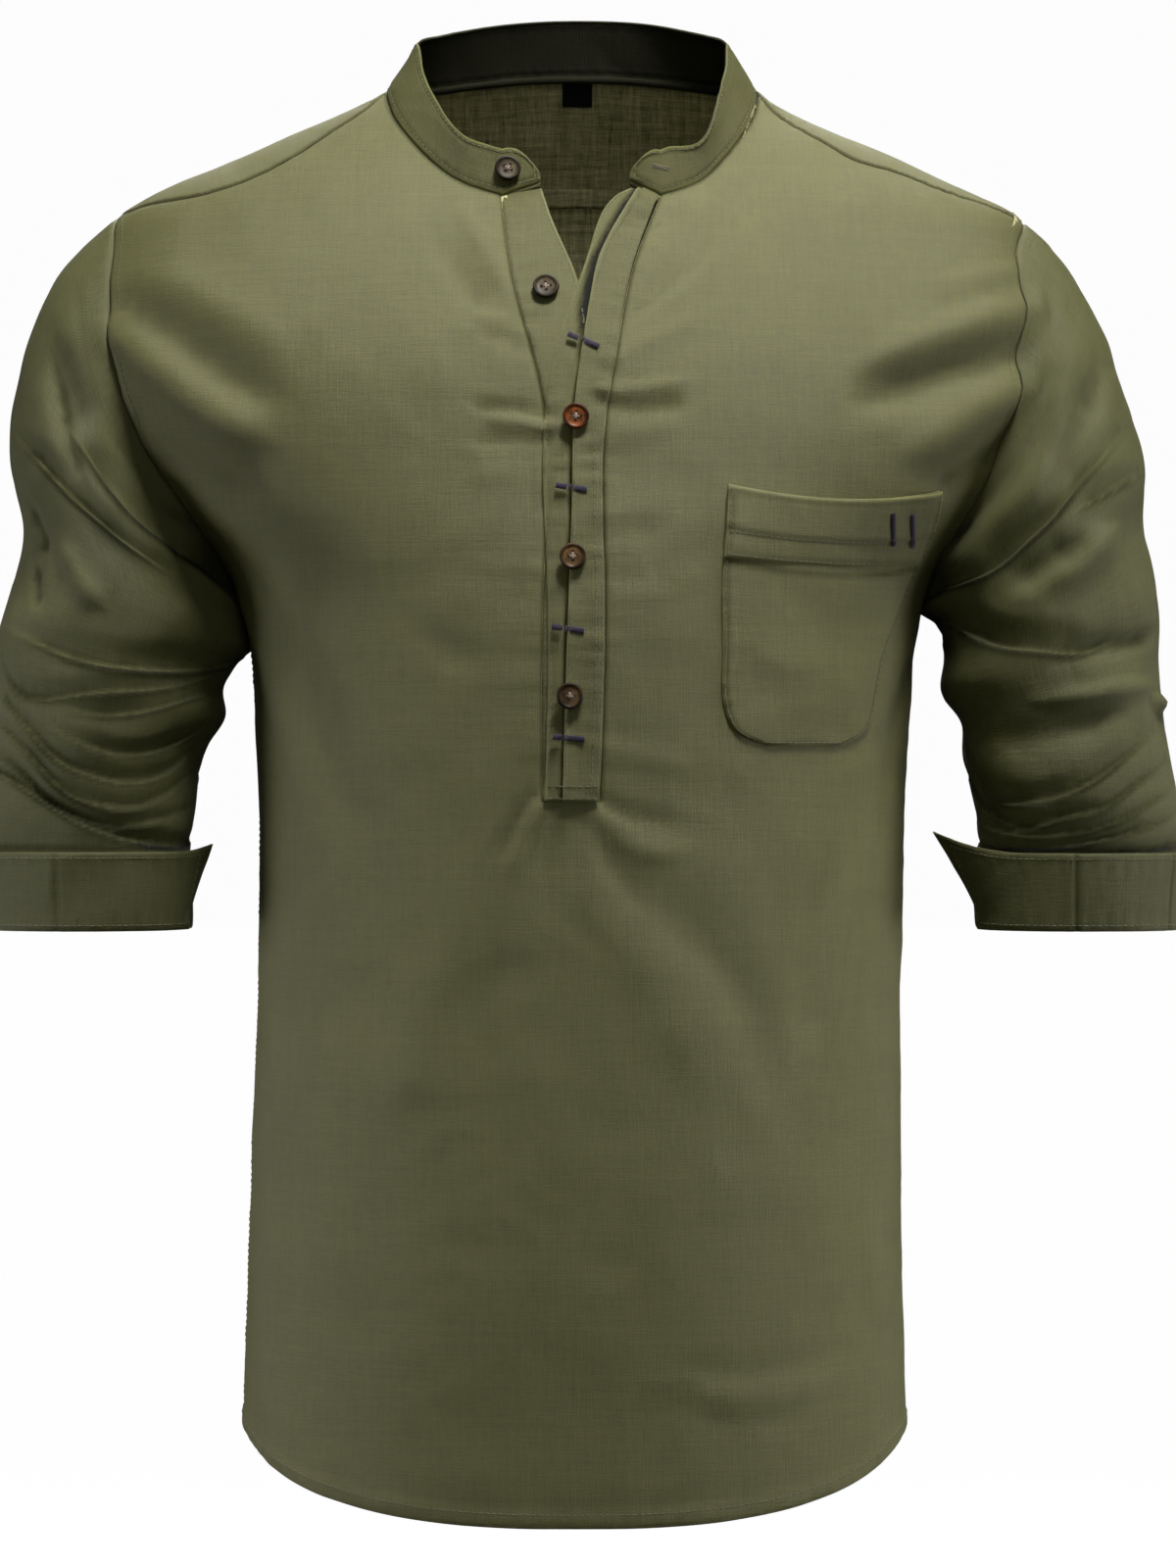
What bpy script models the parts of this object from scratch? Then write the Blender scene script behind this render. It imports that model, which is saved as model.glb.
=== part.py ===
"""Band-collar half-placket shirt, filled out as worn, with its sleeves pushed up to the elbow.

Metres, +Z up. The front of the shirt faces -Y and "left" means -X, the wearer's right arm. The origin
lies between the two side-neck points, where the shirt hangs on its wearer. Tables are in millimetres.
"""
import math
from collections import namedtuple

import bmesh
import bpy
import numpy as np
from mathutils import Vector

MM = 0.001

# ---- driving dimensions -------------------------------------------------------------------------
WALL = 1.0 * MM  # thickness of one piece of cloth
SEAM_GAP = 0.3 * MM  # free space between neighbouring pieces
YOKE_GAP = 0.5 * MM  # and at the yoke's seams, where the walls lean towards each other
SLEEVE_GAP = 0.45 * MM
LAYER = 1.6 * MM  # pitch of pieces that lie on one another
LEFT, RIGHT = -1, 1

# ---- how finely the cloth is divided ------------------------------------------------------------
WELD = 0.01 * MM  # points nearer than this are one
ARC_STEPS = 72  # chords that measure a quarter of a torso section
LINE_STEPS = 20  # chords that measure a line of places, for each place asked for
HALVINGS = 40  # steps that home in on the height of the shoulders' cloth
ARM_FRONT, ARM_YOKE, ARM_BACK = 9, 4, 7  # cells along each stretch of an armhole
SIDE_ROWS = 10  # rows of cells below the underarm
SIDE_CROWDING = 1.6  # how much closer together those rows lie near it
SHOULDER_PLACES, NECK_PLACES, BACK_NECK_PLACES = 7, 6, 11  # along a shoulder, half neck and back neck
YOKE_COLUMNS = 2 * SHOULDER_PLACES + BACK_NECK_PLACES - 2
SLOT_PLACES = 12  # along the placket's seams
PANEL_COLUMNS = 4  # places across the panel below the placket
STRIP_COLUMNS, FLY_COLUMNS = 4, 3  # and across the placket's strips
SMOOTH_RINGS = 7  # rings of the sleeve above its stacked folds
SMOOTH_STEP, FOLD_STEP = 1.0, 0.6  # steps along the sleeve, in rings, above and among those folds
CUFF_ROWS, BAND_ROWS = 4, 3
POCKET_COLUMNS, POCKET_UPPER_ROWS = 8, 5
LABEL_CELLS = 3
BUTTON_SIDES, BUTTON_HOLE_SIDES = 20, 8

# ---- tables of the cloth's form -----------------------------------------------------------------

# Level sections of the torso cloth, hem to neck: half widths to the left and right, and the depth of
# the centre front and centre back from the plane through the side seams. Boxiness 2 is an ellipse.
Section = namedtuple("Section", "height left right front back boxiness")
TORSO = (
    Section(-735, 171.0, 169.0, 117, 118, 2.40),
    Section(-676, 169.5, 168.0, 118, 118, 2.40),
    Section(-612, 167.0, 165.5, 119, 116, 2.40),
    Section(-532, 164.5, 165.0, 120, 113, 2.40),
    Section(-452, 161.5, 165.0, 121, 110, 2.40),
    Section(-372, 161.0, 166.5, 123, 110, 2.40),
    Section(-320, 162.5, 169.5, 125, 113, 2.40),
    Section(-290, 165.0, 172.5, 126, 116, 2.40),
    Section(-265, 169.5, 175.5, 126, 118, 2.42),
    Section(-245, 177.0, 182.5, 125, 119, 2.48),
    Section(-222, 196.0, 199.5, 123, 118, 2.56),
    Section(-200, 217.0, 217.0, 120, 117, 2.60),
    Section(-176, 236.0, 231.0, 117, 115, 2.60),
    Section(-150, 247.0, 238.5, 112, 112, 2.56),
    Section(-125, 251.5, 240.5, 104, 107, 2.50),
    Section(-100, 251.0, 237.0, 93, 101, 2.38),
    Section(-80, 244.5, 231.5, 82, 96, 2.26),
    Section(-64, 233.0, 224.5, 72, 91, 2.18),
    Section(-48, 205.0, 193.0, 61, 85, 2.12),
    Section(-32, 167.5, 158.0, 50, 78, 2.10),
    Section(-14, 127.0, 115.0, 38, 68, 2.10),
    Section(0, 98.0, 93.5, 28, 59, 2.10),
    Section(9, 86.0, 84.0, 22, 52, 2.10),
    Section(20, 74.0, 73.0, 16, 44, 2.10),
)
TORSO_SHOULDER = -160  # the torso only narrows from here up

# The armhole is an egg seen from the side: heights of its top and its underarm point, and how far it
# swings to the front and to the back. Egg makes it fuller towards the underarm.
Armhole = namedtuple("Armhole", "top under front back egg")
ARMHOLE = {
    LEFT: Armhole(-64.0, -243.0, 58.0, 60.0, 0.14),
    RIGHT: Armhole(-66.5, -247.0, 58.0, 60.0, 0.14),
}

# Edges seen from the front, as places (x, height) on the torso cloth.
Place = namedtuple("Place", "x height")
FRONT_SEAM = {  # front yoke seam, from the side-neck point to the armhole
    LEFT: (
        Place(-97.0, 0), Place(-108, -11.5), Place(-121, -21), Place(-142, -37), Place(-163, -48.5),
        Place(-177, -54), Place(-195, -58.5), Place(-216, -60.5), Place(-232.5, -64.4),
    ),
    RIGHT: (
        Place(92.7, 0), Place(98, -9), Place(112, -21), Place(128, -31), Place(144, -40),
        Place(160, -44), Place(182, -53), Place(201, -58.5), Place(224, -66.8),
    ),
}
FRONT_NECK = {  # front neckline, from the side-neck point to the placket
    LEFT: (
        Place(-97.0, 0), Place(-93, -14), Place(-85, -27), Place(-74, -40), Place(-58, -53),
        Place(-37, -61),
    ),
    RIGHT: (
        Place(92.7, 0), Place(90, -14), Place(83.5, -27), Place(75, -39), Place(60, -54),
        Place(42, -61),
    ),
}
BACK_NECK = (
    Place(-97.0, 0), Place(-93.5, 2.2), Place(-84, 5.3), Place(-66, 9), Place(-38, 13.5),
    Place(0, 15.5), Place(38, 13.5), Place(65, 9), Place(82, 5.3), Place(90.0, 2.2), Place(92.7, 0),
)
BACK_SEAM = (
    Place(-225, -92), Place(-190, -81), Place(-140, -66), Place(-75, -51), Place(0, -45),
    Place(75, -51), Place(135, -66), Place(182, -81), Place(214, -92),
)
TIP_TURN = 0.05  # the front yoke seam meets the armhole this far round it, in radians
TIP_GAP_TURN = 0.02  # the seam's gap there

# Hem height against the distance along the cloth from the centre line, front and back.
Hem = namedtuple("Hem", "across front back")
HEM = (
    Hem(0, -712.5, -724), Hem(40, -712, -723.5), Hem(85, -708.5, -720.5), Hem(125, -701.5, -713),
    Hem(165, -689.5, -700), Hem(200, -678.0, -684), Hem(230, -676.0, -676),
)

# The placket's two seams, as places on the front. They run straight below the third button, and
# spread above it where the neck is open.
SLOT = {
    LEFT: (
        Place(-37, -61), Place(-29.5, -112), Place(-22.5, -138), Place(-15.5, -168), Place(-15, -250),
        Place(-16, -361),
    ),
    RIGHT: (
        Place(42, -61), Place(26.5, -106), Place(19.5, -145), Place(15.5, -168), Place(14, -250),
        Place(11.5, -361),
    ),
}

# The free edge of each placket strip: the button strip, the buttonhole strip and the fly over it.
UNDERLAP_EDGE = (
    Place(-17, -57), Place(-9.5, -80), Place(-0.8, -101), Place(6, -130), Place(11.5, -168),
    Place(11, -250), Place(9, -361),
)
INNER_EDGE = (
    Place(27, -57), Place(16.5, -66), Place(7, -90), Place(0.5, -110), Place(-5.4, -126),
    Place(-12.2, -155), Place(-14.2, -168), Place(-13.8, -250), Place(-14.8, -361),
)
FLY_EDGE = (
    Place(33.5, -57), Place(22, -76), Place(11.5, -97), Place(6.5, -120), Place(2.5, -145),
    Place(-0.5, -170), Place(-1.8, -215), Place(-3.6, -270), Place(-6.2, -361),
)

# Sleeve rings, armhole to cuff: the points of the ring that lie farthest out and nearest the torso,
# seen from the front, then the ring's middle and half size across Y.
Ring = namedtuple("Ring", "outer_x outer_z inner_x inner_z middle_y half_y")
SLEEVE = {
    LEFT: (
        Ring(-234, -64, -179, -243, -1, 59),
        Ring(-251, -79, -180.5, -246, -2, 60),
        Ring(-267, -100, -178, -250, -4, 61),
        Ring(-279, -130, -175, -256, -6, 61),
        Ring(-286, -165, -172.5, -263, -8, 60),
        Ring(-286, -196, -171, -272, -9, 59),
        Ring(-280.5, -226, -170, -283, -10, 58),
        Ring(-287, -254, -174.5, -295, -10, 57),
        Ring(-293, -276, -179, -306, -10, 57),
        Ring(-294, -300, -178, -318, -10, 56),
        Ring(-296, -326, -186, -331, -10, 55),
        Ring(-299, -350, -192, -348, -10, 53),
        Ring(-300, -372, -194, -368, -10, 51),
        Ring(-299, -386, -196, -385, -10, 47.5),
        Ring(-298.8, -405, -196.2, -405, -10, 46.5),
        Ring(-298.2, -425, -196.8, -425, -10, 45.2),
    ),
    RIGHT: (
        Ring(227.5, -66.5, 184, -247, -1, 59),
        Ring(242, -80, 186, -250, -2, 60),
        Ring(257, -102, 183.5, -254, -4, 61),
        Ring(270.5, -131, 181, -260, -6, 61),
        Ring(281, -163, 182, -267, -8, 60),
        Ring(287.5, -194, 185.5, -276, -9, 59),
        Ring(286.5, -220, 187.5, -286, -10, 58),
        Ring(292.5, -248, 186.5, -297, -10, 57),
        Ring(294, -272, 187.5, -308, -10, 56),
        Ring(295, -300, 195.5, -320, -10, 54),
        Ring(299, -328, 197, -334, -10, 53),
        Ring(303, -350, 199, -349, -10, 53),
        Ring(308, -370, 203, -368, -10, 51),
        Ring(307.5, -386, 203.5, -385, -10, 47.5),
        Ring(307.3, -405, 203.7, -405, -10, 46.5),
        Ring(306.7, -425, 204.3, -425, -10, 45.2),
    ),
}
SLEEVE_BOXINESS = 2.15
CAP_RINGS = 6.0  # rings over which the armhole's own curve fades into the sleeve's rings

# The sleeves' largest folds. Ring and lift place a fold's line: it crosses the front at `ring` and is
# `lift` rings higher at the sides. It is `high` proud, about `wide` rings across, centred on the angle
# `facing` (0 outwards, 90 front, 180 the torso side, 270 back) and it dies away over `reach` degrees.
Fold = namedtuple("Fold", "ring lift high wide facing reach")
SLEEVE_FOLDS = {
    LEFT: (
        Fold(12.2, 0.6, 3.4, 0.36, 120, 100),
        Fold(11.3, 0.8, 3.8, 0.36, 80, 95),
        Fold(10.4, 1.0, 3.6, 0.40, 130, 80),
        Fold(9.3, 1.1, 4.0, 0.45, 100, 85),
        Fold(8.1, 1.0, 3.4, 0.42, 60, 70),
        Fold(12.0, 0.5, 3.4, 0.38, 280, 90),
        Fold(10.9, 0.8, 3.6, 0.42, 250, 80),
        Fold(9.5, 0.9, 3.8, 0.45, 290, 85),
        Fold(8.1, 0.9, 3.0, 0.45, 230, 65),
        Fold(5.6, 2.6, -4.5, 0.70, 120, 55),
        Fold(4.2, 1.8, 3.5, 0.80, 70, 40),
    ),
    RIGHT: (
        Fold(12.2, 0.6, 3.2, 0.36, 90, 100),
        Fold(11.4, 0.7, 3.4, 0.36, 60, 90),
        Fold(10.8, 0.8, 3.4, 0.36, 130, 80),
        Fold(8.2, 1.0, 4.2, 0.50, 110, 85),
        Fold(7.2, 0.9, 2.6, 0.40, 60, 60),
        Fold(12.0, 0.5, 3.2, 0.38, 260, 90),
        Fold(10.8, 0.8, 3.6, 0.42, 290, 80),
        Fold(9.4, 0.9, 3.6, 0.45, 240, 85),
        Fold(8.1, 0.8, 3.0, 0.45, 290, 65),
        Fold(5.2, 2.4, -4.5, 0.70, 130, 60),
        Fold(4.0, 1.6, 3.0, 0.80, 70, 40),
    ),
}

# Turned-back cuffs. Each is a strip wound once round the sleeve's end, wider at its top, with its free
# corner standing out and up on the torso side.
Cuff = namedtuple("Cuff", "middle_x middle_y half_x half_y top foot flare corner_out corner_high")
CUFF = {
    LEFT: Cuff(-247.5, -10, 52.1, 46.6, -386.5, -426.0, 3.0, 12, 6.0),
    RIGHT: Cuff(255.5, -10, 52.6, 46.6, -387.0, -426.0, 3.0, 20, 10.0),
}
CUFF_FIRST, CUFF_LAST = -172, 174  # degrees round the sleeve at which a cuff's two ends lie
CUFF_CORNER_FROM = 112  # degrees at which the free end starts to leave the sleeve

BAND_WALL = 1.4 * MM
COLLAR_INSET = 0.997  # the band's foot stands this much inside the neckline
BAND_HEIGHT = 29.0 * MM
BAND_LEAN_SIDE, BAND_LEAN_ENDS = 17.0 * MM, 7.0 * MM  # how far it leans in at the sides, and elsewhere
BAND_END = {LEFT: Place(-17.5, -53.5), RIGHT: Place(26.5, -52.0)}  # lower front corners of its two ends
BAND_END_RADIUS = 17.0 * MM  # rounding of the band's upper front corners
BAND_END_STEPS = (0.0, 0.12, 0.35, 0.68)  # places round that corner, as shares of the end's length

# Chest pocket, on the right of the front: its two edges across the cloth at each height, top to foot.
PocketRow = namedtuple("PocketRow", "height left right")
POCKET = (
    PocketRow(-208, 73.5, 187.0), PocketRow(-228, 72.5, 188.5), PocketRow(-250, 71.0, 186.5),
    PocketRow(-276, 71.2, 173.0), PocketRow(-296, 71.2, 163.5), PocketRow(-312, 71.6, 160.5),
    PocketRow(-322, 74.5, 156.5), PocketRow(-329, 81.5, 148.0), PocketRow(-334, 95.0, 134.0),
)
POCKET_CORNER = 5  # rows above its rounded corners
POCKET_SAG = 6.0 * MM  # how far the middle of its top edge hangs below the corners
POCKET_LIFT = LAYER + 0.3 * MM  # the pocket's outer side above the panel's
POCKET_BAND_ROWS = 3  # rows of the pocket under the folded band across its top

Button = namedtuple("Button", "name x height layer")
BUTTONS = (
    Button("button_1", -14.5, -111, 0),
    Button("button_2", 0.2, -176, 2),
    Button("button_3", -1.3, -243.5, 2),
    Button("button_4", -2.7, -310, 2),
)
BUTTON_RADIUS, BUTTON_THICK = 6.5 * MM, 2.6 * MM
BUTTON_RIM, BUTTON_DISH = 1.5 * MM, 0.6 * MM  # width of the raised rim, and depth of the dish inside it
BUTTON_EDGE, BUTTON_BACK = 0.7, 0.86  # height of its widest place, and radius of its back, as shares
BUTTON_CREASE = 30  # degrees from which its edges are sharp
BUTTON_HOLE, BUTTON_HOLE_SPACING = 0.8 * MM, 2.8 * MM
BUTTON_GAP = 0.6 * MM  # free space under a button
COLLAR_BUTTON_IN = 17.5 * MM  # distance of the collar's button from the band's left front end

LABEL_WIDE, LABEL_HIGH, LABEL_WALL = 15.5 * MM, 11.5 * MM, 1.0 * MM
LABEL_X, LABEL_TOP = 0.4 * MM, 14.0 * MM
LABEL_BACKING = 0.6 * MM  # free space between it and the yoke

OLIVE = (0.105, 0.103, 0.048)
BUTTON_BROWN = (0.075, 0.032, 0.015)
LABEL_BLACK = (0.012, 0.012, 0.016)


# ---- reading the tables -------------------------------------------------------------------------
def spline(knots, values, at):
    """Natural cubic spline through (knots, values), read at `at` and held level past its ends."""
    order = np.argsort(knots)
    knots, values = np.asarray(knots, float)[order], np.asarray(values, float)[order]
    step = np.diff(knots)
    slope = np.diff(values) / step
    matrix, right = np.eye(len(knots)), np.zeros(len(knots))
    for i in range(1, len(knots) - 1):
        matrix[i, i - 1 : i + 2] = step[i - 1], 2 * (step[i - 1] + step[i]), step[i]
        right[i] = 6 * (slope[i] - slope[i - 1])
    bend = np.linalg.solve(matrix, right)
    at = np.clip(at, knots[0], knots[-1])
    i = np.clip(np.searchsorted(knots, at) - 1, 0, len(knots) - 2)
    low, high = at - knots[i], knots[i + 1] - at
    curve = (bend[i] * high**3 + bend[i + 1] * low**3) / (6 * step[i])
    line_low = (values[i] / step[i] - bend[i] * step[i] / 6) * high
    line_high = (values[i + 1] / step[i] - bend[i + 1] * step[i] / 6) * low
    return curve + line_low + line_high


def column(table, name, unit=MM):
    return np.array([getattr(row, name) for row in table]) * unit


def read(table, key, name, at, unit=MM):
    return spline(column(table, key), column(table, name, unit), at)


def section(side, height, back):
    """Half width, depth and boxiness of the torso's level section at each height."""
    names = ("left", "right", "back", "front")
    left, right, behind, ahead = (read(TORSO, "height", name, height) for name in names)
    power = read(TORSO, "height", "boxiness", height, 1.0)
    return np.where(side < 0, left, right), np.where(back, behind, ahead), power


def outline(angle, power):
    """Unit superellipse: how far to the side and how far forward, at an angle from straight ahead."""
    side, ahead = np.sin(angle), np.cos(angle)
    reach = (np.abs(side) ** power + np.abs(ahead) ** power) ** (-1 / power)
    return side * reach, ahead * reach


def quarter_arcs(width, depth, power, last_angle):
    """Angles from straight ahead to last_angle, and the cloth's length up to each."""
    angles = np.linspace(0, 1, ARC_STEPS + 1)[None, :] * np.asarray(last_angle)[:, None]
    x, y = outline(angles, power[:, None])
    chords = np.hypot(np.diff(x * width[:, None]), np.diff(y * depth[:, None]))
    return angles, np.concatenate([np.zeros((len(chords), 1)), np.cumsum(chords, axis=1)], axis=1)


def half_girth(side, height, back):
    """Length of cloth from the centre line to the side seam."""
    height = np.atleast_1d(height)
    width, depth, power = section(side, height, back)
    return quarter_arcs(width, depth, power, np.full(len(height), math.pi / 2))[1][:, -1]


def torso_point(across, height, back=False):
    """Points of the torso cloth, `across` along the cloth from the centre line, at each height."""
    across, height = np.broadcast_arrays(np.atleast_1d(across).astype(float), height)
    width, depth, power = section(across, height, back)
    angles, arcs = quarter_arcs(width, depth, power, np.full(len(across), math.pi / 2))
    i = np.clip((arcs <= np.abs(across)[:, None]).sum(axis=1) - 1, 0, ARC_STEPS - 1)
    rows = np.arange(len(across))
    part = np.clip((np.abs(across) - arcs[rows, i]) / (arcs[rows, i + 1] - arcs[rows, i]), 0, 1)
    side, ahead = outline(angles[rows, i] + part * (angles[rows, i + 1] - angles[rows, i]), power)
    return np.stack([np.sign(across) * width * side, np.where(back, 1, -1) * depth * ahead, height], axis=1)


def torso_normal(across, height, back=False):
    """Outward unit normals of the torso cloth."""
    step = 0.5 * MM
    along = torso_point(across + step, height, back) - torso_point(across - step, height, back)
    up = torso_point(across, height + step, back) - torso_point(across, height - step, back)
    normal = np.cross(along, up) * np.where(back, -1, 1)
    return normal / np.linalg.norm(normal, axis=1)[:, None]


def across_at(x, height, back=False):
    """Length of cloth from the centre line to the place x, at each height."""
    x, height = np.broadcast_arrays(np.atleast_1d(x).astype(float), height)
    width, depth, power = section(x, height, back)
    side = np.clip(np.abs(x) / width, 0, 1)
    ahead = (1 - side**power) ** (1 / power)
    return np.sign(x) * quarter_arcs(width, depth, power, np.arctan2(side, ahead))[1][:, -1]


def depth_at(x, height, back):
    """How far behind (+) or in front of (-) the side plane the torso cloth lies at (x, height)."""
    width, depth, power = section(x, height, back)
    return np.where(back, 1, -1) * depth * (1 - np.clip(np.abs(x) / width, 0, 1) ** power) ** (1 / power)


def height_at(x, y):
    """Height of the cloth on top of the shoulders, over each place of the plan."""
    low = np.full(x.shape, TORSO_SHOULDER * MM)
    high = np.full(x.shape, TORSO[-1].height * MM)
    for _ in range(HALVINGS):
        middle = (low + high) / 2
        width, depth, power = section(x, middle, y > 0)
        inside = np.abs(x / width) ** power + np.abs(y / depth) ** power < 1
        low, high = np.where(inside, middle, low), np.where(inside, high, middle)
    return (low + high) / 2


def places(table, count, aside=0.0):
    """`count` evenly spaced places along a smooth line through a table of places, in metres, moved
    aside to the left of the way it runs."""
    corners = np.stack([column(table, "x"), column(table, "height")], axis=1)
    run = runs(corners)
    fine = np.linspace(0, run[-1], LINE_STEPS * count)
    smooth = np.stack([spline(run, corners[:, 0], fine), spline(run, corners[:, 1], fine)], axis=1)
    line = evenly(smooth, count)
    way = np.gradient(line, axis=0)
    way /= np.linalg.norm(way, axis=1)[:, None]
    return line + aside * np.stack([-way[:, 1], way[:, 0]], axis=1)


def runs(line):
    """Distance along a line to each of its points."""
    return np.concatenate([[0], np.cumsum(np.linalg.norm(np.diff(line, axis=0), axis=1))])


def evenly(line, count):
    """The line read again at `count` points an equal distance apart."""
    run = runs(line)
    at = np.linspace(0, run[-1], count)
    return np.stack([np.interp(at, run, line[:, i]) for i in range(line.shape[1])], axis=1)


def on_cloth(line, back=False):
    """A line of places (x, height) as (across, height)."""
    return np.stack([across_at(line[:, 0], line[:, 1], back), line[:, 1]], axis=1)


def armhole(side, turn):
    """Points of the armhole at each turn: 0 at its top, pi / 2 front, pi underarm, negative at the back."""
    shape = ARMHOLE[side]
    middle, half = (shape.top + shape.under) / 2 * MM, (shape.top - shape.under) / 2 * MM
    height = middle + half * np.cos(turn)
    swing = np.where(turn > 0, -shape.front, shape.back) * MM * np.abs(np.sin(turn))
    y = swing * (1 - shape.egg * np.cos(turn))
    width, depth, power = section(side, height, y > 0)
    x = side * width * (1 - np.clip(np.abs(y) / depth, 0, 1) ** power) ** (1 / power)
    return np.stack([x, y, height], axis=1)


def patch(bottom, top, left, right):
    """Coons patch: a grid of places inside four edges that share their corners."""
    u = np.linspace(0, 1, len(bottom))[None, :, None]
    v = np.linspace(0, 1, len(left))[:, None, None]
    ruled = (1 - v) * bottom[None] + v * top[None] + (1 - u) * left[:, None] + u * right[:, None]
    corners = (1 - v) * ((1 - u) * bottom[0] + u * bottom[-1]) + v * ((1 - u) * top[0] + u * top[-1])
    return ruled - corners


# ---- making meshes ------------------------------------------------------------------------------
def clear_scene():
    for item in list(bpy.data.objects):
        bpy.data.objects.remove(item, do_unlink=True)


def material(name, colour, roughness):
    made = bpy.data.materials.new(name)
    made.use_nodes = True
    shader = made.node_tree.nodes["Principled BSDF"]
    shader.inputs["Base Color"].default_value = (*colour, 1)
    shader.inputs["Roughness"].default_value = roughness
    shader.inputs["Metallic"].default_value = 0
    made.diffuse_color = (*colour, 1)
    return made


def add_object(name, mesh_data, colour=OLIVE, roughness=0.85):
    item = bpy.data.objects.new(name, mesh_data)
    bpy.data.collections["band_collar_shirt"].objects.link(item)
    mesh_data.materials.append(material(name + "_finish", colour, roughness))
    return item


def cloth(name, grids, closed=False, wall=WALL):
    """A wall of cloth through grids of outer points. Neighbouring grids share the points of their edges."""
    mesh = bmesh.new()
    for grid in grids:
        rows = [[mesh.verts.new(point) for point in row] for row in grid]
        for low, high in zip(rows, rows[1:]):
            last = len(low) if closed else len(low) - 1
            for i in range(last):
                j = (i + 1) % len(low)
                mesh.faces.new((low[i], low[j], high[j], high[i]))
    bmesh.ops.remove_doubles(mesh, verts=mesh.verts, dist=WELD)
    data = bpy.data.meshes.new(name)
    mesh.to_mesh(data)
    mesh.free()
    data.shade_smooth()
    item = add_object(name, data)
    solidify = item.modifiers.new("wall", "SOLIDIFY")
    solidify.thickness = wall
    solidify.offset = -1
    solidify.use_even_offset = True
    solidify.use_quality_normals = True
    return item


def torso_grid(grid, back=False, lift=0.0):
    """Outer points for a grid of (across, height), moved out by `lift`."""
    flat = grid.reshape(-1, 2)
    points = torso_point(flat[:, 0], flat[:, 1], back)
    if lift:
        points = points + lift * torso_normal(flat[:, 0], flat[:, 1], back)
    return points.reshape(*grid.shape[:2], 3)


# ---- torso panels -------------------------------------------------------------------------------
def back_seam_turn(side):
    """Where the back yoke seam meets the armhole, as a turn round it."""
    shape = ARMHOLE[side]
    end = BACK_SEAM[0 if side == LEFT else -1].height
    return -math.acos((2 * end - shape.top - shape.under) / (shape.top - shape.under))


def arm_edge(side, first, last, count, back):
    """A stretch of the armhole as (across, height) on the front or back panel."""
    points = armhole(side, np.linspace(first, last, count))
    return on_cloth(points[:, [0, 2]], back)


def hem_line(first, last, count, back):
    across = np.linspace(first, last, count)
    heights = read(HEM, "across", "back" if back else "front", np.abs(across))
    return np.stack([across, heights], axis=1)


def side_edge(side, back):
    """Side seam from the hem to the underarm, and on up the armhole to the yoke seam."""
    under = ARMHOLE[side].under * MM
    foot = HEM[-1].front * MM
    heights = under + (foot - under) * np.linspace(1, 0, SIDE_ROWS + 1) ** SIDE_CROWDING
    seam = np.stack([side * (half_girth(side, heights, back) - SEAM_GAP / 2), heights], axis=1)
    if back:
        arm = arm_edge(side, -math.pi, back_seam_turn(side), ARM_BACK + 1, True)
    else:
        arm = arm_edge(side, math.pi, TIP_TURN + TIP_GAP_TURN, ARM_FRONT + 1, False)
    arm[0] = seam[-1]
    return np.concatenate([seam, arm[1:]])


def slot_edge(side):
    """The placket seam from the placket's foot to the neckline, on the front panel's side of it."""
    edge = on_cloth(places(SLOT[side], SLOT_PLACES))[::-1]
    return edge + [side * SEAM_GAP / 2, 0]


def front():
    """The front panel: a patch each side of the placket, and one below it."""
    rows_below = SIDE_ROWS + ARM_FRONT + 1 - SLOT_PLACES
    grids, below = [], {}
    for side in (LEFT, RIGHT):
        outer, slot = side_edge(side, False), slot_edge(side)
        seam = on_cloth(places(FRONT_SEAM[side], SHOULDER_PLACES, -side * YOKE_GAP / 2)[::-1])
        neck = on_cloth(places(FRONT_NECK[side], NECK_PLACES))
        top = np.concatenate([seam, neck[1:]])
        top[0], top[-1] = outer[-1], slot[-1]
        foot = np.array([slot[0, 0], HEM[0].front * MM])
        below[side] = np.linspace(foot, slot[0], rows_below + 1)
        inner = np.concatenate([below[side][:-1], slot])
        bottom = hem_line(outer[0, 0], foot[0], len(top), False)
        outer[0], inner[0] = bottom[0], bottom[-1]
        below[side][0] = bottom[-1]
        grid = patch(bottom, top, outer, inner)
        grids.append(torso_grid(grid if side == LEFT else grid[:, ::-1]))
    share = np.linspace(0, 1, PANEL_COLUMNS)[None, :, None]
    grids.append(torso_grid((1 - share) * below[LEFT][:, None] + share * below[RIGHT][:, None]))
    return cloth("front", grids)


def back():
    left, right = side_edge(LEFT, True), side_edge(RIGHT, True)
    top = on_cloth(places(BACK_SEAM, YOKE_COLUMNS, -YOKE_GAP / 2), True)
    top[0], top[-1] = left[-1] - [0, YOKE_GAP], right[-1] - [0, YOKE_GAP]
    left[-1], right[-1] = top[0], top[-1]
    bottom = hem_line(left[0, 0], right[0, 0], YOKE_COLUMNS, True)
    left[0], right[0] = bottom[0], bottom[-1]
    return cloth("back", [torso_grid(patch(bottom, top, left, right)[:, ::-1], True)])


def plan(line, behind):
    """Places (x, height) as places of the plan (x, y)."""
    return np.stack([line[:, 0], depth_at(line[:, 0], line[:, 1], behind)], axis=1)


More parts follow.
